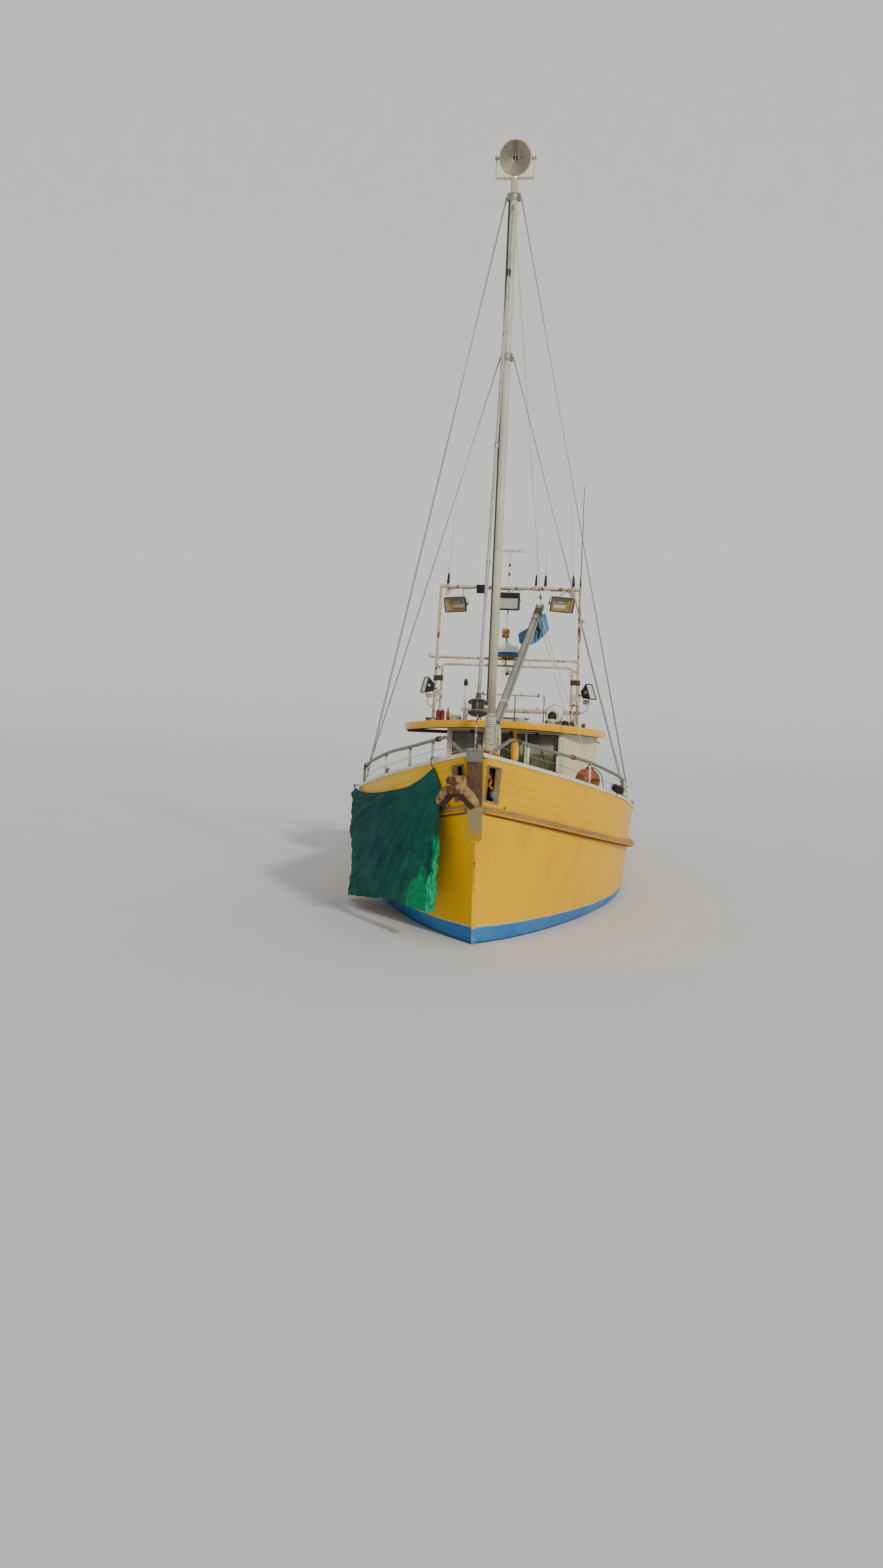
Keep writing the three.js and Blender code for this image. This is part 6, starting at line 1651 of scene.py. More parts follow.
def make_gantry():
    for s, name in ((1, "port"), (-1, "starboard")):
        b = Build("gantry_pipes_" + name)
        for y0, y1, r, top in ((1.465, 1.402, .029, 5.86), (1.342, 1.312, .024, 4.26)):
            z0 = roof_at(y0)
            pts = [(G["x"], s * lerp(y0, y1, t), lerp(z0, top, t)) for t in (0, .25, .5, .75, 1)]
            if top > 5:
                pts += curve_points([pts[-1], (G["x"], s * y1, 5.905), (G["x"], s * (y1 - .05), 5.93)], 5)[1:]
            else:
                pts += curve_points([pts[-1], (G["x"], s * y1, 4.33), (G["x"], s * (y1 - .06), 4.36), (G["x"], s * (y1 - .1), 4.36)], 5)[1:]
            b.tube(pts, r, "gantry", 18)
            b.turned([(0, 0), (.062, 0), (.062, .010), (.034, .013), (.031, .04), (0, .04)], (G["x"], s * y0, z0 - .004), (0, 0, 1), "gantry", 20)
            for k in range(4):
                a = k * math.pi / 2 + .6
                b.turned([(0, 0), (.008, 0), (.008, .008), (0, .01)], (G["x"] + .048 * math.cos(a), s * y0 + .048 * math.sin(a), z0 + .006), (0, 0, 1), "rusty", 6, False)
            for t in ((.34, .68) if top > 5 else (.5, .97)):
                p = Vector((G["x"], s * lerp(y0, y1, t), lerp(z0, top, t)))
                b.turned([(r, -.028), (r + .006, -.024), (r + .006, .024), (r, .028)], p, (0, 0, 1), "gantry", 18)
        for z in (3.62, 4.29):
            t = (z - 3.18) / 2.72
            ya, yb = lerp(1.465, 1.402, t), lerp(1.342, 1.312, t)
            b.box((G["x"] - .008, s * (yb + ya) / 2 - abs(ya - yb) / 2 + .01, z - .03), (G["x"] + .008, s * (yb + ya) / 2 + abs(ya - yb) / 2 - .01, z + .03), "gantry", bevel=.003)
        # gusset under the top bar, and lashings
        b.plate([(G["x"], s * 1.31, 5.90), (G["x"], s * 1.31, 5.72), (G["x"], s * 1.12, 5.90)], .008, "gantry", .001)
        for z, n, m_ in ((3.70, 9, "rope"), (4.02, 7, "rope_dark")):
            t = (z - 3.18) / 2.72
            ya, yb = lerp(1.465, 1.402, t), lerp(1.342, 1.312, t)
            ring = []
            for k in range(n * 16 + 1):
                a = 2 * math.pi * k / 16
                cy = (ya + yb) / 2 + ((ya - yb) / 2) * (1 if math.cos(a) > 0 else -1)
                ring.append((G["x"] + .036 * math.sin(a), s * (cy + .036 * math.cos(a)), z + .015 * k / 16))
            b.tube(ring, .0075, m_, 6)
        b.make(replaces=["gantry_post_" + name])
    b = Build("gantry_cross_bar")
    b.tube([(G["x"], y, G["top"]) for y in (-1.422, -1.3, -.7, 0, .7, 1.3, 1.422)], .029, "gantry", 18)
    for y in (-1.402, 1.402, -1.312, 1.312):
        b.turned([(.029, -.02), (.036, -.016), (.036, .016), (.029, .02)], (G["x"], y, G["top"]), (0, 1, 0), "gantry", 18)
    for y in (-1.062, -.4, 1.022, .6, .12):
        b.turned([(.029, -.022), (.035, -.018), (.035, .018), (.029, .022)], (G["x"], y, G["top"]), (0, 1, 0), "galvanised", 18)
    # cable tied along the bar, sagging between its ties
    for off, m_ in ((.036, "dark"), (.041, "black_rubber")):
        pts = []
        for k in range(48):
            y = -1.36 + 2.72 * k / 47
            pts.append((G["x"] - off + .006 * math.sin(k * 1.3), y, G["top"] - .012 - .018 * abs(math.sin(k * math.pi / 6))))
        b.tube(pts, .0055, m_, 6)
    for k in range(9):
        b.torus((G["x"] - .004, -1.3 + k * .325, G["top"] - .003), (0, 1, 0), .037, .002, "dark", 16, 5)
    b.make(replaces=["gantry_top_bar"])
    b = Build("gantry_lower_rails")
    for z, r, e in ((G["bar"], .024, 1.40), (G["bar2"], .023, 1.215)):
        b.tube([(G["x"], y, z) for y in (-e, -.8, 0, .8, e)], r, "gantry", 16)
        for y in (-e + .02, e - .02):
            b.turned([(r, -.02), (r + .007, -.016), (r + .007, .016), (r, .02)], (G["x"], y, z), (0, 1, 0), "gantry", 16)
    # radome platform
    b.box((.955, -.09, 4.484), (1.275, .14, 4.496), "rusty", bevel=.003)
    for y in (-.08, .13):
        b.plate([(.97, y, 4.486), (1.25, y, 4.486), (.97, y, 4.33)], .008, "gantry", .001)
    for y in (-1.0, -.5, .45, .95):
        b.box((G["x"] - .006, y - .012, G["bar2"]), (G["x"] + .006, y + .012, G["bar"]), "gantry", bevel=.002)
    b.make(replaces=["gantry_lower_bars"])
    b = Build("radome")
    c = (1.215, .025, 4.498)
    b.turned([(0, 0), (.13, 0), (.14, .006), (.14, .022), (.206, .028), (.2205, .040), (.2215, .052)], c, (0, 0, 1), "rusty", 48)
    b.turned([(.2215, .050), (.2222, .056), (.2222, .112), (.2215, .116)], c, (0, 0, 1), "blue", 56)
    b.turned([(.2212, .112), (.2222, .118), (.2222, .172), (.2175, .196), (.203, .219), (.175, .238), (.13, .252), (.07, .259), (0, .261)], c, (0, 0, 1), "plastic", 56)
    b.torus((c[0], c[1], c[2] + .114), (0, 0, 1), .2225, .0022, "dark", 56, 6)
    for k in range(4):
        a = k * math.pi / 2 + .4
        b.turned([(0, 0), (.009, 0), (.009, .008), (0, .01)], (c[0] + .19 * math.cos(a), c[1] + .19 * math.sin(a), c[2] + .018), (0, 0, -1), "steel", 6, False)
    b.make(replaces=["radar_dome"])


make_gantry()


def make_floods():
    for name, y, z, turn, w, h in (("starboard", -1.062, 5.572, -32, .275, .158), ("centre", -.035, 5.665, 0, .245, .182), ("port", 1.022, 5.628, 32, .275, .158)):
        b = Build("floodlight_unit_" + name)
        m = flood(b, (.99, y, z), R(turn), .25, w - .006, h - .006, face="flood_glass" if name == "centre" else "flare", back="dark")
        if name == "centre":
            # deep black frame and hood round the glass
            for lo, hi in (((.045, -w + .008, h * .38), (.083, w - .008, h - .008)), ((.045, -w + .008, -h + .008), (.083, w - .008, -h + .038)), ((.045, -w + .008, -h + .03), (.083, -w + .036, h * .4)), ((.045, w - .036, -h + .03), (.083, w - .008, h * .4))):
                b.box(lo, hi, "dark", m, .004)
        else:
            b.box((-.028, -w * .46, .0), (-.010, w * .46, h * .42), "lens", m, .004)
            b.tube([m @ Vector((-.006, -w * .36, h * .2)), m @ Vector((-.006, w * .36, h * .2))], .008, "plastic", 10)
        # yoke from the lamp's sides up to the bar
        for s in (1, -1):
            p = m @ Vector((.01, s * (w + .002), 0))
            q = Vector((G["x"], y + s * min(w * .8, .2) * math.cos(R(turn)), 5.90))
            b.plate([p + Vector((0, 0, -.02)), p + Vector((.02, 0, .02)), q + Vector((.014, 0, 0)), q + Vector((-.014, 0, 0))], .006, "galvanised")
        b.box((G["x"] - .016, y - min(w * .8, .2) - .012, 5.886), (G["x"] + .016, y + min(w * .8, .2) + .012, 5.894), "galvanised", bevel=.002)
        b.tube(curve_points([m @ Vector((-.11, .02, .02)), m @ Vector((-.18, .05, .12)), Vector((G["x"] - .05, y + .1, 5.90)), Vector((G["x"] - .03, y + .14, 5.925))], 6), .006, "dark", 6)
        b.make(replaces=["floodlight_" + name])
    b = Build("post_lamps")
    for s, y, z, turn, tilt in ((-1, -1.60, 3.90, -62, -.25), (1, 1.66, 3.88, 58, -.35)):
        m = flood(b, (1.0, y, z), R(turn), tilt, .13, .165, .17, back="dark")
        b.rod((G["x"], s * 1.455, z - .06), (1.0, y - s * .06, z - .06), .012, "rusty", 10)
        b.box((G["x"] - .036, s * 1.45 - .036, z - .085), (G["x"] + .036, s * 1.45 + .036, z - .035), "rusty", bevel=.006)
        b.obox((.96, y - s * .03, z - .19), (.10, .10, .09), "flood_tan", (0, 0, R(turn)), .01)
        b.tube(curve_points([(.95, y - s * .02, z - .24), (.94, y, z - .34), (.95, s * 1.50, z - .42), (.95, s * 1.475, z - .30)], 6), .006, "dark", 6)
    b.make()


MATS["flood_inside"] = paint("flood_inside", srgb(196, 178, 140), srgb(150, 128, 92), rough=.35, spots=.3, streaks=.4, metal=.3, tone=5)
MATS["flood_tan"] = paint("flood_tan", srgb(196, 178, 142), srgb(160, 138, 100), rough=.5, spots=.5, streaks=.4, tone=5)
make_floods()


def whip(b, x, y0, z0, y1, z1, r=.006, m_="plastic", base=True):
    n = 6
    pts = [Vector((x, lerp(y0, y1, (k / n) ** 1.2), lerp(z0, z1, k / n))) for k in range(n + 1)]
    b.tube(pts, [r * (1 - .35 * k / n) for k in range(n + 1)], m_, 8)
    if base:
        d = (pts[1] - pts[0]).normalized()
        b.tube([pts[0] - d * .01, pts[0] + d * .05, pts[0] + d * .16, pts[0] + d * .2], [r * 1.9, r * 1.8, r * 1.4, r], "dark", 12)
        b.box((x - .024, y0 - .024, z0 - .035), (x + .024, y0 + .024, z0 - .006), "steel", bevel=.004)


def make_aerials():
    b = Build("aerials_on_the_gantry")
    x, t = G["x"], G["top"]
    # centre pole clamped to the bars, with a red band and two wire loops at its top
    b.tube([(x - .045, -.035, 4.34), (x - .045, -.035, 5.5), (x - .045, -.035, 6.60)], [.021, .020, .018], "plastic", 14)
    b.tube([(x - .045, -.035, 6.60), (x - .045, -.035, 6.64)], [.018, .012], "plastic", 14)
    for z in (6.18, 6.36):
        b.turned([(.0185, 0), (.0215, .002), (.0215, .055), (.0185, .057)], (x - .045, -.035, z), (0, 0, 1), "red", 16)
    for z in (4.36, 4.497, 5.93):
        b.box((x - .07, -.06, z - .022), (x + .02, -.01, z + .022), "galvanised", bevel=.004)
    for k, (cy, ry, rz) in enumerate(((.065, .275, .075), (.02, .16, .06))):
        pts = [(x - .045 + .09 * math.sin(a) * (1 if k else .7), cy + ry * math.cos(a), 6.665 + .012 * math.sin(2 * a) + k * .03) for a in [2 * math.pi * j / 40 for j in range(40)]]
        b.tube(pts, .0045, "steel", 6, closed=True)
    for a in range(3):
        b.tube([(x - .045, -.035, 6.62), (x - .045 + .085 * math.cos(a * 2.1), -.035 + .13 * math.sin(a * 2.1 + .3), 6.668)], .0035, "steel", 6)
    # rusty junction box over the radome
    b.box((x - .04, -.12, 4.93), (x + .07, .02, 5.10), "rusty", bevel=.008)
    b.box((x + .07, -.105, 4.945), (x + .082, .005, 5.085), "rusty", bevel=.004)
    b.box((x - .05, -.06, 4.96), (x - .02, -.01, 5.07), "galvanised", bevel=.003)
    b.tube(curve_points([(x + .01, -.05, 4.93), (x + .05, -.02, 4.86), (x + .02, .03, 4.80), (x - .02, .0, 4.60), (x - .03, -.02, 4.52)], 6), .007, "dark", 6)
    whip(b, x, -1.267, 5.967 + .03, -1.104, 8.259, .0150)
    whip(b, x, 1.262, 5.967 + .03, 1.082, 8.211, .0150)
    whip(b, x, .511, 5.967 + .03, .52, 7.817, .0120)
    whip(b, x, .70, 5.967 + .03, .70, 6.77, .0150)
    whip(b, x, 1.40, 5.967 + .03, 1.383, 7.977, .0085, "dark")
    # ribbed box on the bar
    b.box((x + .03, -.675, 5.80), (x + .13, -.505, 5.965), "dark", bevel=.01)
    for k in range(6):
        b.box((x + .126, -.665 + k * .028, 5.81), (x + .140, -.655 + k * .028, 5.955), "black_rubber", bevel=.002)
    b.box((x - .01, -.62, 5.90), (x + .04, -.56, 5.96), "galvanised", bevel=.003)
    # small domes on brackets
    for y, z, r, s in ((-1.55, 4.50, .072, -1), (1.50, 5.30, .052, 1)):
        b.rod((x, s * 1.42, z - .02), (x, y, z - .02), .010, "galvanised", 10)
        b.turned([(0, -.02), (r * .6, -.02), (r * .62, .0), (r, .005), (r, r * .55), (r * .93, r * .85), (r * .7, r * 1.18), (r * .35, r * 1.36), (0, r * 1.4)], (x, y, z), (0, 0, 1), "plastic", 28)
    # loudhailer under the lower bar
    b.turned([(0, -.10), (.035, -.10), (.045, -.06), (.03, -.03), (.035, 0), (.06, .05), (.105, .10), (.112, .105), (.112, .112), (.098, .108), (.05, .05), (.02, .02), (0, .018)], (1.02, .013, 4.20), (1, 0, -.06), "plastic", 36)
    b.turned([(0, 0), (.028, 0), (.026, .035), (.012, .05), (0, .052)], (1.04, .013, 4.20), (1, 0, -.06), "dark", 20)
    b.box((x - .012, .0, 4.20), (x + .02, .026, 4.35), "galvanised", bevel=.003)
    b.make()

    # T-shaped aerial bar standing on the roof
    b = Build("aerial_bar_on_the_roof")
    z0 = roof_at(.2)
    b.turned([(0, 0), (.05, 0), (.05, .008), (.022, .012), (.0, .012)], (1.0, .2, z0 - .003), (0, 0, 1), "galvanised", 20)
    b.tube([(1.0, .2, z0), (1.0, .2, 3.775)], .013, "galvanised", 12)
    b.tube([(1.0, -.48, 3.77), (1.0, .1, 3.775), (1.0, .69, 3.77)], .011, "steel", 12)
    for y in (-.46, .67):
        b.tube([(1.0, y, 3.755), (1.0, y, 3.80), (1.0, y, 3.83)], [.013, .013, .006], "dark", 10)
    b.turned([(0, 0), (.03, 0), (.034, .01), (.034, .05), (.02, .075), (0, .08)], (1.0, .33, 3.782), (0, 0, 1), "plastic", 20)
    b.box((.985, .20, 3.70), (1.015, .34, 3.74), "plastic", bevel=.006)
    # second short stalk with a mushroom aerial
    z1 = roof_at(.78)
    b.tube([(.6, .78, z1 - .003), (.6, .78, z1 + .52)], .011, "galvanised", 10)
    b.turned([(0, 0), (.02, 0), (.045, .012), (.048, .03), (.03, .055), (0, .062)], (.6, .78, z1 + .52), (0, 0, 1), "plastic", 24)
    b.make()


make_aerials()


def make_roof_gear():
    b = Build("roof_stores")
    x = 1.62
    # two red cans by the post foot, a bottle beside them
    for y in (-1.285, -1.205):
        z = roof_at(y) - .002
        b.turned([(0, 0), (.044, 0), (.047, .006), (.047, .012), (.045, .016), (.045, .17), (.047, .176), (.047, .182), (.03, .196), (.014, .20), (.014, .225), (0, .228)], (x, y, z), (0, 0, 1), "red", 28)
        b.torus((x, y, z + .09), (0, 0, 1), .046, .003, "red", 28, 6)
    z = roof_at(-1.09)
    b.turned([(0, 0), (.032, 0), (.037, .008), (.037, .13), (.03, .165), (.013, .19), (.013, .215), (.017, .217), (.017, .24), (0, .242)], (x, -1.09, z - .002), (0, 0, 1), "orange", 24)
    # white pole with a black top
    z = roof_at(-.76)
    b.turned([(0, 0), (.05, 0), (.05, .01), (.035, .016), (.034, .016), (0, .016)], (x, -.76, z - .002), (0, 0, 1), "galvanised", 24)
    b.tube([(x, -.76, z), (x, -.76, z + .40), (x, -.76, z + .68)], .030, "plastic", 22)
    b.turned([(0, 0), (.036, 0), (.041, .01), (.041, .075), (.036, .085), (.030, .09), (.030, .12), (.0, .125)], (x, -.76, z + .68), (0, 0, 1), "dark", 24)
    # ventilator: a cowl on a trunk, its mouth to port and forward
    z = roof_at(.95)
    c = Vector((2.0, .95, z))
    b.turned([(0, 0), (.10, 0), (.10, .008), (.068, .014), (.066, .10), (.0, .10)], c - Vector((0, 0, .004)), (0, 0, 1), "cream", 28)
    d = Vector((.86, .30, .1)).normalized()
    b.turned([(0, -.10), (.05, -.095), (.085, -.065), (.102, -.02), (.106, .03), (.112, .07), (.118, .085), (.118, .095), (.106, .09), (.092, .05), (.085, .0), (0, -.04)], c + Vector((0, 0, .135)), d, "cream", 36)
    b.turned([(0, .02), (.088, .028)], c + Vector((0, 0, .135)), d, "dark", 28)
    for k in range(5):
        yy = -.06 + .03 * k
        q = Vector((0, 0, 1)).rotation_difference(d)
        b.tube([c + Vector((0, 0, .135)) + q @ Vector((yy, -.075, .035)), c + Vector((0, 0, .135)) + q @ Vector((yy, .075, .035))], .0035, "steel", 6)
    # low hatch and grab rails on the roof
    for s in (1, -1):
        y = s * 1.62
        for k in range(5):
            xx = -1.1 + k * .45
            z = roof_at(y)
            b.box((xx - .035, y - .02, z - .004), (xx + .035, y + .02, z + .05), "varnish", bevel=.008)
        b.tube([(-1.25, y, roof_at(y) + .065), (-.3, y, roof_at(y) + .068), (.85, y, roof_at(y) + .065)], .019, "varnish", 12)
    b.box((-.95, -.42, roof_at(0) - .03), (-.25, .42, roof_at(0) + .05), "cream", bevel=.012)
    b.box((-.99, -.46, roof_at(0) + .05), (-.21, .46, roof_at(0) + .075), "grey", bevel=.010)
    # life-raft canister on its cradle, aft
    z = roof_at(1.0)
    b.turned([(0, -.42), (.15, -.42), (.185, -.40), (.19, -.36), (.19, -.02), (.20, -.015), (.20, .015), (.19, .02), (.19, .36), (.185, .40), (.15, .42), (0, .42)], (-.75, 1.0, z + .22), (1, 0, 0), "plastic", 40)
    for xx in (-1.0, -.5):
        b.box((xx - .03, .80, z - .03), (xx + .03, 1.20, z + .07), "grey", bevel=.006)
        b.torus((xx, 1.0, z + .22), (1, 0, 0), .1935, .006, "dark", 40, 6)
    # ropes in figure-eight hanks lashed down on the roof
    rnd = random.Random(11)
    for cy, cx, rr, m_, n in ((-.93, 1.75, .085, "rope", 7), (-.90, 1.66, .07, "rope_blue", 4), (1.28, 1.5, .10, "rope_dark", 6), (.35, 2.2, .08, "rope", 5)):
        z = roof_at(cy)
        for k in range(n):
            lift = .010 + .0135 * k
            pts = []
            ph = rnd.uniform(0, 6.28)
            for j in range(26):
                a = 2 * math.pi * j / 26
                q = rr * (1 + .14 * math.sin(2 * a + ph) + rnd.uniform(-.02, .02))
                xx, yy = cx + q * .8 * math.cos(a), cy + q * math.sin(a)
                pts.append((xx, yy, roof_at(yy) + lift + .004 * math.sin(3 * a + ph)))
            b.tube(pts, .0085, m_, 6, closed=True)
        b.tube([(cx, cy - rr * 1.25, roof_at(cy - rr) + .005), (cx, cy - rr * .9, roof_at(cy) + .02 + .0135 * n), (cx, cy, roof_at(cy) + .012), (cx, cy + rr * .9, roof_at(cy) + .02 + .0135 * n), (cx, cy + rr * 1.25, roof_at(cy + rr) + .005)], .006, "dark", 6)
    b.make()


make_roof_gear()


# ================================================================ wheelhouse: glazing, trim, inside
def window(b, c, width, z0, z1, normal, panes=1, lit="glass_dark"):
    """A window in a wall 50 mm thick: c is the middle of its opening on the outer face, in plan."""
    n = Vector((normal[0], normal[1], 0)).normalized()
    u = Vector((n.y, -n.x, 0))
    m = Matrix.Translation(Vector((c[0], c[1], 0))) @ Matrix(((u.x, n.x, 0, 0), (u.y, n.y, 0, 0), (0, 0, 1, 0), (0, 0, 0, 1)))
    w = width / 2
    for lo, hi in (((-w - .034, 0, z0 - .034), (w + .034, .013, z0 - .002)), ((-w - .034, 0, z1 + .002), (w + .034, .013, z1 + .034)),
                   ((-w - .034, 0, z0 - .002), (-w - .002, .013, z1 + .002)), ((w + .002, 0, z0 - .002), (w + .034, .013, z1 + .002))):
        b.box(lo, hi, "trim", m, .003)
    for lo, hi in (((-w + .001, -.034, z0 + .001), (w - .001, -.012, z0 + .018)), ((-w + .001, -.034, z1 - .018), (w - .001, -.012, z1 - .001)),
                   ((-w + .001, -.034, z0 + .018), (-w + .018, -.012, z1 - .018)), ((w - .018, -.034, z0 + .018), (w - .001, -.012, z1 - .018))):
        b.box(lo, hi, "black_rubber", m, .003)
    b.box((-w + .014, -.026, z0 + .014), (w - .014, -.020, z1 - .014), lit, m)
    for k in range(1, panes):
        x = -w + width * k / panes
        b.box((x - .012, -.036, z0 + .016), (x + .012, -.008, z1 - .016), "trim", m, .003)
    k = 0
    for x in np.linspace(-w, w, max(3, int(width / .22))):
        for z in (z0 - .018, z1 + .018):
            b.turned([(0, 0), (.006, 0), (.005, .003), (0, .004)], m @ Vector((x, .013, z)), n, "steel", 6, False)
            k += 1
    return m


def make_house():
    b = Build("wheelhouse_windows")
    for y0, y1 in ((-.925, -.345), (-.225, .46), (.52, 1.10)):
        m = window(b, (2.2, (y0 + y1) / 2), y1 - y0, 2.08, 3.015, (1, 0))
        # wiper hung from the head
        x = .12 if y0 > 0 else -.08
        p = m @ Vector((x, .02, 3.03))
        b.box((p.x - .012, p.y - .03, p.z - .03), (p.x + .03, p.y + .03, p.z + .02), "dark", bevel=.005)
        q = m @ Vector((x - .14, .022, 2.62))
        b.rod(p + Vector((.016, 0, -.01)), q, .0045, "dark", 6)
        b.obox(q + Vector((-.006, 0, -.02)), (.010, .014, .36), "black_rubber", (R(12), 0, 0), .002)
    for x0, x1 in ((-.90, -.18), (-.06, .66)):
        window(b, ((x0 + x1) / 2, 1.88), x1 - x0, 2.09, 2.76, (0, 1))
    for x0, x1 in ((-.90, -.18), (-.06, .66), (.86, 1.90)):
        window(b, ((x0 + x1) / 2, -1.03), x1 - x0, 2.09, 2.76, (0, -1), 2 if x1 > 1 else 1)
    window(b, (-1.2, .75), 1.0, 2.09, 2.76, (-1, 0), 2)
    b.make()

    b = Build("wheelhouse_trim")
    # corner posts of the front, sill board and drip rail
    for y, w in ((-1.0, .055), (-.285, .05), (.49, .022), (1.145, .04)):
        b.box((2.2005, y - w / 2, 2.02), (2.2165, y + w / 2, 3.06 if abs(y) > .9 else 3.08), "cream", bevel=.004)
    b.box((2.2005, -1.02, 2.0), (2.236, 1.17, 2.038), "varnish", bevel=.006)
    b.box((2.2005, -1.02, 3.055), (2.222, 1.17, 3.10), "cream", bevel=.004)
    # angled port panel: upright battens and a batten across
    n = Vector((.69, 1.25, 0)).normalized()
    u = Vector((n.y, -n.x, 0))
    m = Matrix.Translation(Vector((1.575, 1.535, 0))) @ Matrix(((u.x, n.x, 0, 0), (u.y, n.y, 0, 0), (0, 0, 1, 0), (0, 0, 0, 1)))
    for x in (-.66, .66):
        b.box((x - .03, .0005, 1.30), (x + .03, .012, 3.05), "cream", m, .004)
    b.box((-.69, .0005, 2.0), (.69, .012, 2.03), "cream", m, .004)
    # grab rails along both sides
    for y, x0, x1, s in ((1.88, -1.1, .8, 1), (-1.03, -1.1, 1.9, -1)):
        for k in range(5):
            x = lerp(x0, x1, k / 4)
            b.rod((x, y, 2.88), (x, y + s * .06, 2.88), .009, "steel", 10)
        b.tube([(x0 - .05, y + s * .06, 2.88), ((x0 + x1) / 2, y + s * .06, 2.88), (x1 + .05, y + s * .06, 2.88)], .012, "steel", 12)
        b.box((x0 - .08, y + (0 if s > 0 else -.014), 1.62), (x1 + .05, y + (.014 if s > 0 else 0), 1.66), "varnish", bevel=.004)
    # life ring on the aft wall, with its clips and a hook
    b.torus((-1.26, 1.52, 2.35), (1, 0, 0), .27, .052, "orange", 48, 16)
    for k in range(4):
        a = R(45 + 90 * k)
        b.torus((-1.26, 1.52 + .27 * math.cos(a), 2.35 + .27 * math.sin(a)), (0, -math.sin(a), math.cos(a)), .0535, .006, "plastic", 20, 8)
    b.rod((-1.2, 1.52, 2.62), (-1.25, 1.52, 2.60), .008, "steel", 8)
    # sill step and threshold at the door
    b.box((-1.26, -.86, 1.10), (-1.2, -.14, 1.14), "varnish", bevel=.006)
    b.make()

    b = Build("wheelhouse_inside")
    zd = 1.02
    # instruments on the console
    for y, w, h, m_ in ((-.72, .30, .24, "dark"), (-.05, .34, .26, "dark"), (.34, .26, .2, "grey")):
        b.obox((1.93, y, 2.12 + h / 2), (.12, w, h), m_, (0, R(-10), 0), .012)
        b.obox((1.865, y, 2.125 + h / 2), (.006, w - .04, h - .04), "screen", (0, R(-10), 0))
    b.box((1.93, .60, 2.36), (2.08, .95, 2.62), "fish_box", bevel=.012)
    b.box((1.95, .58, 2.10), (2.12, 1.02, 2.34), "fish_box", bevel=.015)
    # deckhead gear and a curtain
    b.box((1.45, -.30, 2.86), (1.75, .10, 2.99), "dark", bevel=.01)
    b.box((1.40, .35, 2.82), (1.72, .80, 2.98), "grey", bevel=.01)
    for y in (-.9, .9):
        b.obox((1.95, y, 2.94), (.05, .2, .05), "steel", (0, 0, 0), .01)
    b.tube(curve_points([(1.6, -.1, 2.86), (1.62, -.06, 2.70), (1.60, -.12, 2.62), (1.63, -.1, 2.50)], 6), .008, "dark", 6)
    b.box((1.58, -.13, 2.42), (1.64, -.07, 2.52), "dark", bevel=.008)
    for y0, y1 in ((1.02, 1.12),):
        pts_v, pts_f = [], []
        for k in range(25):
            y = lerp(y0, y1, k / 24)
            x = 2.08 + .018 * math.sin(k * 1.9)
            pts_v += [(x, y, 3.0), (x + .004, y, 2.5), (x, y, 2.03)]
        for k in range(24):
            for j in range(2):
                a = k * 3 + j
                pts_f.append((a, a + 3, a + 4, a + 1))
        b.add(pts_v, pts_f, "curtain")
    # shelf, locker and bulkhead gear seen through the glass
    b.box((-1.12, 1.3, 1.3), (.6, 1.8, 1.62), "varnish", bevel=.01)
    b.box((-1.14, -.95, 1.9), (-1.02, -.88, 2.9), "varnish", bevel=.006)
    b.box((-1.13, .3, 1.2), (-.75, 1.2, 1.95), "varnish", bevel=.01)
    for k, (w, h, m_) in enumerate(((.16, .22, "blue"), (.12, .3, "fish_box"), (.2, .16, "orange"), (.1, .26, "dark"))):
        y = .36 + k * .2
        b.box((-1.05, y, 1.95), (-.88, y + w * .8, 1.95 + h), m_, bevel=.01)
    # wheel on the console
    c = Vector((1.395, -.35, 1.853))
    ax = Vector((-1, 0, .6)).normalized()
    b.torus(c + ax * .03, ax, .215, .013, "varnish", 40, 10)
    b.turned([(0, 0), (.035, 0), (.035, .02), (.02, .035), (0, .037)], c + ax * .01, ax, "bronze", 20)
    q = Vector((0, 0, 1)).rotation_difference(ax)
    for k in range(6):
        a = k * math.pi / 3
        d = q @ Vector((math.cos(a), math.sin(a), 0))
        b.rod(c + ax * .03 + d * .02, c + ax * .03 + d * .29, .010, "varnish", 10)
    # throttle levers
    for y in (.06, .13):
        b.rod((1.52, y, 1.965), (1.47, y, 2.10), .006, "steel", 8)
        b.ball((1.468, y, 2.107), .016, "red" if y < .1 else "dark")
    b.box((1.49, .02, 1.955), (1.58, .17, 1.985), "dark", bevel=.006)
    b.make()


MATS["screen"] = glass_mat("screen", srgb(20, 30, 36), .12, .9)
MATS["curtain"] = weave_mat("curtain", srgb(104, 62, 44), srgb(66, 38, 28), 120)
make_house()


def soffit_front(y):
    a = abs(y)
    t = [[0, 2.72], [.52, 2.67], [1.05, 2.47], [1.5, 2.12], [1.87, 1.56], [2.03, 1.02]]
    for p, q in zip(t, t[1:]):
        if a <= q[0]:
            return lerp(p[1], q[1], (a - p[0]) / (q[0] - p[0]))
    return 1.02


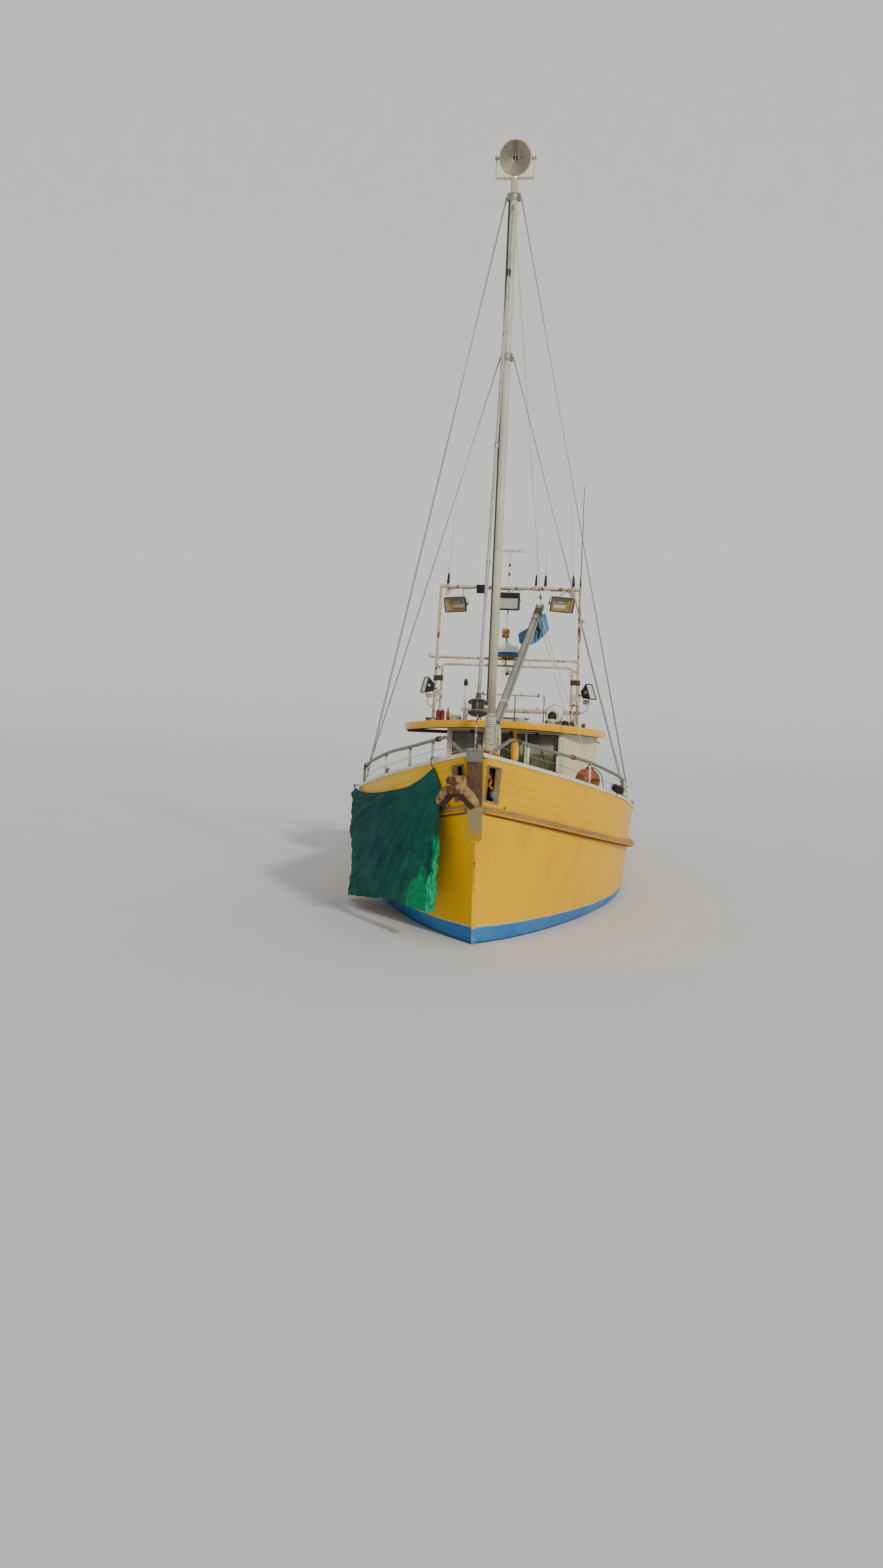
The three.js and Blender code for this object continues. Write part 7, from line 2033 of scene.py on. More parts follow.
def make_soffit():
    b = Build("roof_soffit_boards")
    y = -1.99
    while y < 1.97:
        y1 = y + .118
        m_ = "soffit"
        x1 = min(soffit_front(y), soffit_front(y1)) - .035
        inside = y1 > -1.09 and y < 1.94
        spans = [(-1.55, x1)]
        z0, z1 = roof_z(max(-2, y)) - .145, roof_z(min(2, y1)) - .145
        if inside:
            xw = 2.24 if y < 1.19 else 2.2 - (y - 1.19) / .69 * 1.25 + .05
            spans = [(-1.55, -1.235), (max(xw, -1.0), x1)]
        for xa, xb in spans:
            if xb - xa < .06:
                continue
            v = [(xa, y + .004, z0 - .012), (xb, y + .004, z0 - .012), (xb, y1 - .004, z1 - .012), (xa, y1 - .004, z1 - .012), (xa, y + .004, z0 + .004), (xb, y + .004, z0 + .004), (xb, y1 - .004, z1 + .004), (xa, y1 - .004, z1 + .004)]
            b.add(v, [(3, 2, 1, 0), (4, 5, 6, 7), (0, 1, 5, 4), (1, 2, 6, 5), (2, 3, 7, 6), (3, 0, 4, 7)], m_)
        y = y1
    for x in (-1.0, -.4, .2, .8, 1.3):
        b.box((x - .025, -1.93, roof_z(1.93) - .145 - .045), (x + .025, -1.035, roof_z(1.93) - .145 - .008), "soffit", bevel=.004)
    b.make()


MATS["soffit"] = timber("soffit_boards", srgb(104, 70, 44), srgb(60, 40, 28), .7, "X", None)
make_soffit()


# ================================================================ anchor, hawse openings, stem fittings
MATS["anchor_rust"] = paint("anchor_rust", srgb(176, 148, 112), srgb(128, 102, 74), rough=.95, spots=.62, spot_colour=srgb(92, 66, 46), streaks=.45, grain=1.0, tone=9)
# a darker rust for the arms under the crown and the palms: painted shade over the rust
MATS["anchor_shaded_rust"] = paint("anchor_shaded_rust", srgb(66, 48, 40), srgb(46, 32, 28), rough=.9, spots=.5, spot_colour=srgb(96, 62, 38), streaks=.2, grain=.9, tone=7)


def lumpy(b, pts, radii, material, sides=16, flat=1.0):
    """A forged limb: a tube through points, each ring out of round."""
    rings = []
    c = curve_points(pts, 5)
    n = len(c)
    for k, p in enumerate(c):
        t = (c[min(n - 1, k + 1)] - c[max(0, k - 1)]).normalized()
        a = t.orthogonal().normalized()
        side = t.cross(Vector((1, .1, .2))).normalized()
        up = t.cross(side).normalized()
        f = k / (n - 1) * (len(radii) - 1)
        i = min(len(radii) - 2, int(f))
        r = lerp(radii[i], radii[i + 1], f - i)
        ring = []
        for s in range(sides):
            an = 2 * math.pi * s / sides
            w = 1 + .07 * noise.noise(Vector((p.x * 9 + math.cos(an), p.y * 9 + math.sin(an), p.z * 9)))
            ring.append(p + (side * math.cos(an) * r * w + up * math.sin(an) * r * flat * w))
        rings.append(ring)
    v = [q for r in rings for q in r]
    f = [(k * sides + s, k * sides + (s + 1) % sides, (k + 1) * sides + (s + 1) % sides, (k + 1) * sides + s) for k in range(n - 1) for s in range(sides)]
    f += [tuple(range(sides))[::-1], tuple((n - 1) * sides + s for s in range(sides))]
    b.add(v, f, material)


def make_anchor():
    b = Build("stockless_anchor")
    # crown: a worn block with broken corners, its face to the bow
    c, q = Vector((8.51, -.232, 2.371)), Quaternion((1, 0, 0), .05) @ Quaternion((0, 1, 0), .1) @ Quaternion((0, 0, 1), .06)
    bm = bmesh.new()
    bmesh.ops.create_cube(bm, size=1.0)
    bmesh.ops.subdivide_edges(bm, edges=bm.edges[:], cuts=9, use_grid_fill=True)
    for v in bm.verts:
        p = Vector(v.co)
        e = 7.0
        n = (abs(2 * p.x) ** e + abs(2 * p.y) ** e + abs(2 * p.z) ** e) ** (1 / e)
        p = p / max(n, 1e-6) * max(abs(2 * p.x), abs(2 * p.y), abs(2 * p.z))
        taper = 1 - .10 * (p.z < 0) * abs(p.z) * 2
        p = Vector((p.x * .186, p.y * .270 * taper, p.z * .232))
        p *= 1 + .028 * noise.noise(p * 16 + Vector((3, 1, 2)))
        if p.x > .05:
            p.x += .012 * noise.noise(Vector((p.y * 14, p.z * 14, 5)))
        v.co = p
    b.take(bm, "anchor_rust", True, Matrix.Translation(c) @ q.to_matrix().to_4x4())
    # shank into the hawse opening, arms over the crown's lower edge, and the two flukes
    lumpy(b, [(8.46, -.23, 2.385), (8.34, -.228, 2.41), (8.225, -.225, 2.437)], [.060, .045, .036], "anchor_rust", 16, .8)
    # the arms under the crown's lower edge take the darker rust: painted shade of the hollow under the crown
    lumpy(b, [(8.46, -.12, 2.31), (8.488, -.155, 2.285), (8.49, -.23, 2.262), (8.488, -.31, 2.285), (8.46, -.34, 2.31)], [.045, .056, .06, .056, .045], "anchor_shaded_rust", 16)
    for s, tip in ((1, [(8.492, -.150, 2.325), (8.492, -.095, 2.285), (8.462, -.030, 2.215), (8.412, .030, 2.125), (8.372, .052, 2.090)]),
                   (-1, [(8.492, -.312, 2.325), (8.468, -.368, 2.285), (8.424, -.420, 2.215), (8.368, -.472, 2.13), (8.345, -.492, 2.105)])):
        lumpy(b, tip, [.052, .064, .064, .052, .018], "anchor_rust", 18, .72)
        # the fluke's palm, a hollow blade behind the arm, in the darker rust that paints its shade
        pts = [Vector(p) for p in tip]
        mid = pts[1:4]
        inner = [p + Vector((.012, -s * (.118 - .022 * k), -.075 - .006 * k)) for k, p in enumerate(mid)]
        rows = [[pts[1] + Vector((.03, 0, -.03)), *[p + Vector((.034, 0, -.02)) for p in pts[2:4]], pts[4]], [pts[1] + Vector((.0, -s * .10, -.080)), *inner[1:], pts[4] + Vector((-.002, -s * .014, -.014))]]
        v, f = [], []
        for d in (0, .014):
            for r in rows:
                v += [p + Vector((-d, 0, 0)) for p in r]
        f = [(k, k + 1, k + 5, k + 4) for k in range(3)] + [(8 + k, 12 + k, 13 + k, 9 + k) for k in range(3)]
        f += [(k, 8 + k, 9 + k, k + 1) for k in range(3)] + [(4 + k, 5 + k, 13 + k, 12 + k) for k in range(3)] + [(0, 4, 12, 8), (3, 11, 15, 7)]
        b.add(v, f, "anchor_shaded_rust", smooth=False)
    # shackle and the first links, into the opening
    for k in range(3):
        p = Vector((8.17 - .055 * k, -.222 + .004 * k, 2.442 + .008 * k))
        ring = [p + Vector((.042 * math.cos(a), (.022 * math.sin(a)) if k % 2 else 0, 0 if k % 2 else .022 * math.sin(a))) for a in [2 * math.pi * j / 20 for j in range(20)]]
        b.tube(ring, .0085, "rusty", 8, closed=True)
    b.make(replaces=["anchor"])


make_anchor()


def hawse_frame(b, s):
    """Timber frame lining one hawse opening."""
    # the skin near the opening, from the bulwark's own lines
    def skin(sh, v, out):
        p = wale(sh, v)
        return Vector((p[0], s * (p[1] + out), p[2]))
    lo, hi = .12, .86
    s0, s1 = .0004, .0127
    bars = []
    for sa, va, sb, vb, w in ((s1, lo, s1, hi, .030), (s0 + .0012, lo, s0 + .0012, hi, .014), (s0, hi, s1, hi, .018), (s0, lo, s1, lo, .022)):
        a, c = skin(sa, va, .012), skin(sb, vb, .012)
        a2, c2 = skin(sa, va, -.062), skin(sb, vb, -.062)
        t = (c - a).normalized()
        o = (a - a2).normalized()
        side = t.cross(o).normalized() * w / 2
        v = [a - side, a + side, c + side, c - side, a2 - side, a2 + side, c2 + side, c2 - side]
        b.add(v, [(0, 1, 2, 3), (7, 6, 5, 4), (0, 4, 5, 1), (1, 5, 6, 2), (2, 6, 7, 3), (3, 7, 4, 0)], "frame_timber", smooth=False)


def make_hawse():
    b = Build("hawse_frames")
    hawse_frame(b, 1)
    hawse_frame(b, -1)
    # gear stowed behind the port opening: a rope and a grey float
    b.tube(curve_points([(8.02, .17, 2.56), (8.06, .16, 2.50), (8.0, .20, 2.42), (8.05, .18, 2.36), (7.97, .22, 2.30), (7.92, .25, 2.24)], 6), .020, "rope_orange", 10)
    b.tube(curve_points([(8.00, .22, 2.57), (8.03, .19, 2.46), (7.94, .25, 2.40), (7.99, .22, 2.28)], 6), .016, "rope_dark", 8)
    b.ball((7.93, .24, 2.24), .07, "grey", (1, .9, 1.2), 20)
    b.tube(curve_points([(7.97, -.20, 2.52), (8.0, -.17, 2.47), (7.94, -.24, 2.40), (7.98, -.2, 2.34)], 6), .015, "steel", 8)
    # breasthook under the cap and the locker board behind the openings, in dark timber that paints the shade inside the
    # openings
    outer = [(7.80, .42), (8.02, .30), (8.22, .15), (8.33, .05)]
    b.plate([(x, y, 2.60 + (x - 7.8) * .05) for x, y in outer] + [(x, -y, 2.60 + (x - 7.8) * .05) for x, y in outer[::-1]], .05, "locker_shade_timber", .006)
    b.box((7.74, -.40, 2.02), (7.775, .40, 2.585), "locker_shade_timber", bevel=.004)
    for k in range(6):
        b.box((7.776, -.385 + k * .13, 2.03), (7.784, -.385 + k * .13 + .118, 2.575), "locker_shade_timber", bevel=.002)
    b.make()

    b = Build("stem_fittings")
    # half-round band down the stem from the shield to the boot-top
    rows = [[1560, 7908], [1000, 7700], [500, 7514], [300, 7440], [200, 7405]]
    pts = []
    for z, x in rows:
        pts.append((x * M + .004, 0, z * M))
    b.tube(curve_points(pts, 6), .013, "band", 12)
    for k in range(10):
        z = lerp(1.50, .28, k / 9)
        x = lerp(7.405, 7.908, (z - .2) / 1.36)
        b.turned([(0, 0), (.006, 0), (.005, .003), (0, .004)], (x + .016, 0, z), (1, 0, -.35), "rusty", 8, False)
    b.make()


MATS["band"] = paint("stem_band", srgb(236, 176, 44), srgb(190, 138, 50), rough=.5, spots=.6, spot_colour=srgb(120, 96, 64), streaks=.4, tone=6)
make_hawse()


def make_bow_gear():
    b = Build("bow_deck_gear")
    # yellow fender with a brown laid-rope top, standing inside the port rail
    c = (7.83, .50)
    b.turned([(0, 0), (.030, 0), (.050, .02), (.055, .06), (.054, .20), (.046, .27), (.030, .31), (.016, .325), (0, .326)], (c[0], c[1], 2.69), (.02, -.03, 1), "fender", 28)
    b.tube(curve_points([(7.83, .495, 3.00), (7.832, .50, 3.06), (7.83, .515, 3.10), (7.828, .495, 3.115), (7.83, .475, 3.08), (7.83, .485, 3.02), (7.83, .52, 2.98), (7.83, .53, 2.90)], 6), .0135, "rope_brown", 8)
    b.tube(curve_points([(7.84, .47, 3.0), (7.85, .50, 3.02), (7.84, .53, 3.0), (7.81, .54, 2.95), (7.82, .545, 2.86)], 6), .011, "rope_brown", 8)
    rnd = random.Random(5)
    for k in range(8):
        pts = []
        for j in range(22):
            a = 2 * math.pi * j / 22
            pts.append((7.80 + .045 * math.sin(a) + rnd.uniform(-.006, .006), .51 + .085 * math.cos(a) * (1 - .05 * k) + rnd.uniform(-.006, .006), 2.682 + .010 * k + .004 * math.sin(3 * a + k)))
        b.tube(pts, .0125, "green_bundle", 6, closed=True)
    # orange laid rope lying behind the stemhead along the port cap
    for dx, dy, m_ in ((0, 0, "rope_orange"), (-.038, -.006, "rope_brown"), (-.072, .004, "rope_orange")):
        pts = []
        for k in range(50):
            t = k / 49
            x, y = lerp(8.27, 8.08, t) + dx, lerp(.07, .33, t) + dy
            pts.append((x + .012 * math.sin(k * .8 + dx * 40), y + .010 * math.cos(k * .8), along(CAP_Z, x * 1000) * M + lerp(.085, .018, t) + .008 * math.sin(k * 1.5)))
        b.tube(pts, .0175, m_, 8)
    pts = [(lerp(8.25, 8.02, k / 40), -lerp(.07, .36, k / 40) + .008 * math.sin(k * .9), along(CAP_Z, lerp(8250, 8020, k / 40)) * M + lerp(.085, .018, k / 40) + .006 * math.sin(k * 1.4)) for k in range(41)]
    b.tube(pts, .016, "rope_orange", 8)
    # two thin lines across the starboard cap
    for dx in (0, .03):
        a, z = cap_at(7.95 + dx), 0
        b.tube(curve_points([(8.28, -.05, 2.86), (8.15 + dx, -.20, 2.83), (8.02 + dx, -cap_at(8.0)[0] - .03, cap_at(8.0)[1] + .012), (7.97 + dx, -cap_at(7.97)[0] - .086, cap_at(7.97)[1] - .06)], 6), .005, "rope", 6)
    # fish box on the foredeck
    b.box((5.62, .60, 1.62), (5.98, .92, 1.98), "fish_box", bevel=.02)
    for k in range(5):
        b.box((5.985, .63 + k * .06, 1.66), (5.992, .65 + k * .06, 1.94), "fish_box", bevel=.002)
    b.box((5.59, .57, 1.96), (6.01, .95, 2.0), "blue", bevel=.012)
    # black fender lying outside the port cap with its lashing
    y0, z0 = cap_at(5.0)
    b.turned([(0, -.155), (.02, -.155), (.045, -.14), (.062, -.11), (.064, .0), (.062, .11), (.045, .14), (.02, .155), (0, .155)], (5.0, y0 - .005, z0 + .066), (1, .36, -.14), "black_rubber", 28)
    for k in (-1, 1):
        b.tube(curve_points([(5.0 + k * .13, y0 - .06 + k * .045, z0 + .01), (5.0 + k * .13, y0 - .06 + k * .045, z0 + .12), (5.0 + k * .14, y0 + .02 + k * .045, z0 + .13), (5.0 + k * .14, y0 + .075 + k * .045, z0 + .02)], 5), .006, "rope_dark", 6)
    b.make()


make_bow_gear()


def make_float():
    b = Build("net_float_ball")
    c = (4.8, 1.61, 2.32)
    b.ball(c, .204, "orange", (1, 1, 1), 48)
    b.turned([(.2045, -.012), (.2075, -.008), (.2075, .008), (.2045, .012)], c, (0, 0, 1), "orange", 56)
    b.turned([(.05, .194), (.062, .196), (.06, .212), (.034, .222), (.030, .235), (.012, .240), (0, .241)], c, (0, .12, 1), "dark", 24)
    b.torus((c[0], c[1] + .02, c[2] + .235), (1, 0, 0), .020, .006, "rope_dark", 20, 8)
    b.tube(curve_points([(c[0], c[1] + .03, c[2] + .24), (c[0] + .05, c[1] + .14, c[2] + .19), (c[0] + .06, c[1] + .22, c[2] + .10), (c[0] + .02, c[1] + .255, c[2] - .04), (c[0], c[1] + .26, c[2] - .16)], 6), .007, "rope_dark", 6)
    b.make(replaces=["net_float"])


make_float()


# ================================================================ working deck and stern
MATS["wire_dark"] = metal_mat("trawl_wire", srgb(104, 96, 86), .5, .7, .5)


def deck_top(x, y):
    half = along(DECK_Y, x * 1000) * M
    return along(DECK_Z, x * 1000) * M + .040 + .060 * (1 - min(1, (y / half) ** 2))


def make_deck_gear():
    b = Build("covering_boards")
    for side in (1, -1):
        rows = []
        for x in np.linspace(7.05, -8.15, 64):
            y = along(DECK_Y, x * 1000) * M - .085
            z = along(DECK_Z, x * 1000) * M
            rows.append([(x, side * y, z + .041), (x, side * (y - .17), z + .047), (x, side * (y - .17), z + .068), (x, side * y, z + .063)])
        v = [p for r in rows for p in r]
        f = [(4 * i + k, 4 * i + (k + 1) % 4, 4 * i + 4 + (k + 1) % 4, 4 * i + 4 + k) for i in range(len(rows) - 1) for k in range(4)]
        f += [(0, 1, 2, 3), tuple(4 * (len(rows) - 1) + k for k in (3, 2, 1, 0))]
        b.add(v, f, "worn_timber", smooth=False)
    b.make()

    b = Build("cap_rail_cleats")
    for side in (1, -1):
        for x in (6.2, 3.2, .2, -2.6, -5.4, -7.6):
            y, z = cap_at(x)
            b.box((x - .05, side * (y - .02) - .018, z - .004), (x + .05, side * (y - .02) + .018, z + .012), "galvanised", bevel=.004)
            b.tube([(x - .16, side * (y - .02), z + .062), (x - .08, side * (y - .02), z + .048), (x + .08, side * (y - .02), z + .048), (x + .16, side * (y - .02), z + .062)], [.010, .017, .017, .010], "galvanised", 12)
            for d in (-.05, .05):
                b.tube([(x + d, side * (y - .02), z), (x + d, side * (y - .02), z + .045)], .013, "galvanised", 10)
    b.make()

    b = Build("deck_stores")
    # hatch lashing bars on the coaming's sides, ring bolts in the deck
    for s in (1, -1):
        for x in (-4.5, -4.1, -3.7):
            b.box((x - .02, s * .674 - .012, 1.18), (x + .02, s * .674 + .012, 1.29), "galvanised", bevel=.003)
    for x, y in ((-3.0, 1.6), (-3.0, -1.6), (-5.5, 1.5), (-5.5, -1.5), (3.4, 1.2), (3.4, -1.2)):
        z = deck_top(x, y)
        b.turned([(0, 0), (.045, 0), (.045, .008), (0, .009)], (x, y, z - .001), (0, 0, 1), "galvanised", 20)
        b.torus((x, y, z + .035), (1, .4, 0), .034, .008, "galvanised", 24, 8)
    # fish boxes stacked to starboard of the hatch
    for k in range(3):
        z = deck_top(-4.1, -1.5) + .21 * k
        dx, dy = (.02, -.03, .01)[k], (.01, .03, -.02)[k]
        for lo, hi in (((-4.5, -1.75, 0), (-3.7, -1.3, .012)), ((-4.5, -1.75, .012), (-4.485, -1.3, .2)), ((-3.715, -1.75, .012), (-3.7, -1.3, .2)), ((-4.485, -1.75, .012), (-3.715, -1.735, .2)), ((-4.485, -1.315, .012), (-3.715, -1.3, .2))):
            b.box((lo[0] + dx, lo[1] + dy, lo[2] + z), (hi[0] + dx, hi[1] + dy, hi[2] + z), ("blue", "fish_box", "fish_box")[k], bevel=.003)
        for lo, hi in (((-4.52, -1.77, .175), (-3.68, -1.752, .2)), ((-4.52, -1.298, .175), (-3.68, -1.28, .2)), ((-4.52, -1.77, .175), (-4.502, -1.28, .2)), ((-3.698, -1.77, .175), (-3.68, -1.28, .2))):
            b.box((lo[0] + dx, lo[1] + dy, lo[2] + z), (hi[0] + dx, hi[1] + dy, hi[2] + z), ("blue", "fish_box", "fish_box")[k], bevel=.003)
    b.make()


def make_winch_wire():
    """Wire on the trawl winch's two drums, laid turn by turn."""
    b = Build("trawl_wire", "trawl_winch_drum")
    c = (-2.35, 0, 1.586)
    for s in (1, -1):
        b.turned([(.118, s * .084), (.236, s * .086), (.236, s * .844), (.118, s * .846)], c, (0, 1, 0), "wire_dark", 40)
        n = 39
        line = [(c[0] + .240 * math.cos(2 * math.pi * k / 28), s * (.092 + .0192 * k / 28), c[2] + .240 * math.sin(2 * math.pi * k / 28)) for k in range(n * 28 + 1)]
        b.tube(line, .0096, "wire_dark", 6)
    b.make()


def make_net():
    """Netting wound on the net drum, its float line on top."""
    b = Build("wound_net", "net_reel")
    c = Vector((-6.75, 0, 1.839))
    rnd = random.Random(8)

    def core(y):
        a = abs(y)
        return lerp(.43, .40, a / .9) if a < .9 else lerp(.40, .33, min(1, (a - .9) / .325))
    for layer in range(2):
        n = 34
        pts = []
        steps = 26
        for k in range(n * steps + 1):
            t = k / (n * steps)
            a = 2 * math.pi * k / steps
            y = -1.19 + 2.38 * (t if layer % 2 == 0 else 1 - t) + .014 * math.sin(a * 3 + layer)
            rr = core(y) + .028 + .045 * layer + .022 * noise.noise(Vector((math.cos(a) * 2, math.sin(a) * 2, t * 11 + layer * 3)))
            pts.append((c.x + rr * math.cos(a), y, c.z + rr * math.sin(a)))
        b.tube(pts, .036, "net" if layer else "net_dark", 6)
    for k in range(16):
        a = rnd.uniform(0, 6.28)
        y = rnd.uniform(-1.05, 1.05)
        rr = core(y) + .125
        b.turned([(0, -.045), (.016, -.045), (.034, -.03), (.036, 0), (.034, .03), (.016, .045), (0, .045)], c + Vector((rr * math.cos(a), y, rr * math.sin(a))), (0, 1, 0), "fender" if k % 3 else "orange", 14)
    b.make()


def make_gallows_gear():
    b = Build("gallows_blocks")
    for y in (-1.15, 1.15):
        block(b, (-7.88, y, 3.18), Vector((0, 0, 1)), Vector((0, 1, 0)), .11, "rusty")
    for y in (-.5, .5):
        b.turned([(0, 0), (.045, 0), (.05, .01), (.05, .07), (.03, .09), (0, .092)], (-7.88, y, 3.605), (0, 0, 1), "plastic", 20)
    b.turned([(.061, -.04), (.066, -.036), (.066, .036), (.061, .04)], (-7.88, 0, 3.55), (0, 1, 0), "gantry", 20)
    b.make()


make_deck_gear()
make_winch_wire()
make_net()
make_gallows_gear()


# ================================================================ the green cover over the starboard bow
TOP = [(7.79, -.525, 2.546), (7.4, -.81, 2.354), (7.0, -1.06, 2.212), (6.5, -1.35, 2.112), (5.8, -1.71, 2.010), (5.0, -2.09, 1.95), (4.35, -2.375, 1.975), (4.15, -2.42, 2.03)]
BOTTOM = [(7.83, -.500, .575), (7.66, -.62, .470), (7.13, -.99, .468), (6.53, -1.40, .44), (5.92, -1.76, .35), (5.08, -2.13, .215), (4.24, -2.40, .065)]


def on_line(pts, t):
    """A point at a share of the way along a line, smooth."""
    c = curve_points(pts, 8)
    n = len(c) - 1
    i = min(n - 1, int(t * n))
    return c[i].lerp(c[i + 1], t * n - i)


def cover_weave():
    """Green woven cover with painted light: painted shade makes it darker and greyer aft and higher up, and a painted
    sunlit patch of light green lies over the crumpled lower fore corner.
    """
    m = Mat("cover_cloth")
    x, y, z = m.split()
    a = m.wave(150, 0.4, 1, direction="X")
    b = m.wave(150, 0.4, 1, direction="Z")
    threads = m.math("MAXIMUM", a, b)
    broad = m.noise(2.2, 5, .65)
    col = m.mix(m.ramp(broad, [(.3, 0), (.72, 1)]), srgb(16, 112, 92), srgb(14, 78, 76))
    col = m.mix(m.ramp(m.noise(7.5, 6, .7), [(.56, 0), (.8, .8)]), col, srgb(24, 138, 98))
    # painted shade: darker and greyer aft and higher up, standing in for the bow's shadow on the cover
    aft = m.math("MULTIPLY", m.between(x, 7.5, 5.6), m.between(z, .7, 1.9, .55, 1.0))
    col = m.mix(m.math("MULTIPLY", aft, .6), col, srgb(34, 66, 68))
    # painted sunlight: a light green wedge over the lower fore corner and a strip down the fore edge, broken up by
    # noise
    s = m.math("SUBTRACT", 7.62, x)
    top = m.math("SUBTRACT", 1.22, m.math("MULTIPLY", m.math("ABSOLUTE", m.math("SUBTRACT", s, .20)), 2.2))
    rag = m.math("MULTIPLY", m.math("SUBTRACT", m.noise(3.6, 5, .7), .5), .9)
    sunlit_wedge = m.between(m.math("ADD", m.math("SUBTRACT", top, z), rag), -.04, .14)
    strip = m.math("MULTIPLY", m.between(x, 7.60, 7.66), m.between(z, 1.7, 1.45))
    painted_sunlight = m.math("MAXIMUM", sunlit_wedge, strip)
    sunlight_breakup = m.ramp(m.noise(11, 6, .75), [(.36, .25), (.56, 1)])
    col = m.mix(m.math("MULTIPLY", painted_sunlight, sunlight_breakup), col, srgb(40, 178, 126))
    col = m.mix(m.math("MULTIPLY", threads, .2), col, srgb(8, 44, 42))
    m.set("Base Color", col)
    m.set("Roughness", m.ramp(broad, [(.2, .85), (.8, 1.0)]))
    m.bump(m.math("ADD", threads, m.math("MULTIPLY", m.noise(60, 5, .7), 2.0)), .35, .002)
    return m.m


MATS["cloth_green"] = cover_weave()


def make_cover():
    nu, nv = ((150, 84))
    corner = Vector(TOP[0])
    verts, uvs = [], []
    for j in range(nv + 1):
        v = j / nv
        for i in range(nu + 1):
            u = i / nu
            a, c = on_line(TOP, u), on_line(BOTTOM, u)
            p = a.lerp(c, v)
            dy, dz = along(DECK_Y, p.x * 1000) * M, along(DECK_Z, p.x * 1000) * M
            out = dy + .118 + .048
            k = max(0.0, min(1.0, (a.z - p.z) / max(.25, a.z - dz - .02)))
            k = k * k * (3 - 2 * k)
            y_ = lerp(-a.y, out, k)
            if p.z < dz - .1:
                y_ = out
            y_ = max(y_, -a.y if v < .02 else 0)
            # the skin under it: never nearer than 30 mm
            cy, cz = cap_at(p.x)
            if p.z > dz:
                t = max(0, min(1, (p.z - dz) / (cz - dz)))
                y_ = max(y_, lerp(dy, cy - .025, t) + (.062 if u < .25 else .046))
            # folds run from the upper fore corner; they fan out and deepen below, and cross ones sag between the ties
            d = p - corner
            ang = math.atan2(-(d.z), abs(d.x) + .001)
            reach = min(1.0, d.length / 1.6)
            fan = ((1 - abs(noise.noise(Vector((ang * 11.0, d.length * .30, 0))))) ** 5 * .074 + (1 - abs(noise.noise(Vector((ang * 21.0 + 4, d.length * .5, 2))))) ** 6 * .036 - .026) * reach * (1 - .55 * max(0.0, u - .35))
            swag = noise.fractal(Vector((p.x * .9 + p.z * .5, 4.0, p.z * 3.2 - p.x * 1.6)), .8, 2.1, 3) * .024
            fan += swag
            d2 = p - Vector(TOP[-1])
            ang2 = math.atan2(-(d2.z), abs(d2.x) + .001)
            fan2 = noise.fractal(Vector((ang2 * 8.0, d2.length * .5, 5)), .8, 2.1, 3) * .022 * max(0.0, 1 - d2.length / 2.2) * min(1, d2.length / .4)
            crumple = noise.fractal(Vector((p.x * 5.5, 7.0, p.z * 7.5)), .8, 2.1, 5) * .015 * min(1, .25 + v * 1.3)
            corner_ruck = noise.fractal(Vector((p.x * 11, 2.0, p.z * 6)), .8, 2.1, 4) * .060 * max(0, 1 - u / .30) * max(0, min(1, (v - .35) * 2))
            edge = .035 * math.sin(v * 5.3 + 1.0) * max(0, 1 - u / .05) * v + .02 * math.sin(v * 4 + 2) * max(0, (u - .95) / .05)
            hem = .018 * math.sin(u * 46 + 2 * math.sin(u * 9)) * max(0, (v - .86) / .14)
            side = Vector((.40 + .3 * (1 - u), -1, 0)).normalized()
            soft = min(1, v / .06 + .15)
            q = Vector((p.x, -y_, p.z)) + side * max((-.004 if u < .2 else -.016) if v < .4 else -.05, (fan + fan2 + crumple + corner_ruck + hem) * soft + edge * .5)
            q.x -= .28 * max(0.0, 1 - u / .16) ** 1.2 * max(0.0, (v - .30) / .70) ** 1.3
            q.x += edge * .6 + .012 * math.sin(v * 21 + .7) * max(0, 1 - u / .04) * v
            q.z += (.012 * math.sin(u * 63) + .018 * noise.noise(Vector((u * 17, 0, 5)))) * max(0, (v - .93) / .07)
            verts.append(q)
            uvs.append((u * 4.3, v * 2.0))
    w = nu + 1
    faces = [(j * w + i, (j + 1) * w + i, (j + 1) * w + i + 1, j * w + i + 1) for j in range(nv) for i in range(nu)]
    o = mesh_object("green_cover_cloth", verts, faces, MATS["cloth_green"], True, None)
    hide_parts("green_cover")
    b = Build("green_cover_hem")
    # doubled hem along the top, and the cut ends
    line = [verts[i] + Vector((.002, -.003, 0)) for i in range(0, nu + 1, 2)]
    b.tube(line, .006, "cloth_green", 6)
    down = [verts[j * w] for j in range(0, nv + 1, 2)]
    b.tube(down, .0045, "cloth_green", 6)
    b.tube([verts[nv * w + i] for i in range(0, nu + 1, 2)], .004, "cloth_green", 6)
    hem = b.make()
    # ties from the hem up to the cap rail
    b = Build("green_cover_ties")
    for u, dx in ((0.0, .10), (.86, .03), (1.0, .05)):
        a = verts[int(u * nu)]
        cy, cz = cap_at(a.x + dx)
        cap = [Vector((a.x + dx, -cy - .082, cz - .03)), Vector((a.x + dx, -cy - .081, cz + .002)), Vector((a.x + dx, -cy - .02, cz + .004)), Vector((a.x + dx, -cy + .05, cz + .004))]
        b.tube(curve_points([a + Vector((0, -.004, -.01)), a.lerp(cap[0], .5) + Vector((0, -.012, 0)), *cap], 5), .007 if u == 0 else .005, "rope_dark", 6)
        b.torus(a + Vector((0, -.003, -.012)), (0, 1, 0), .012, .004, "dark", 16, 6)
    b.make()


make_cover()


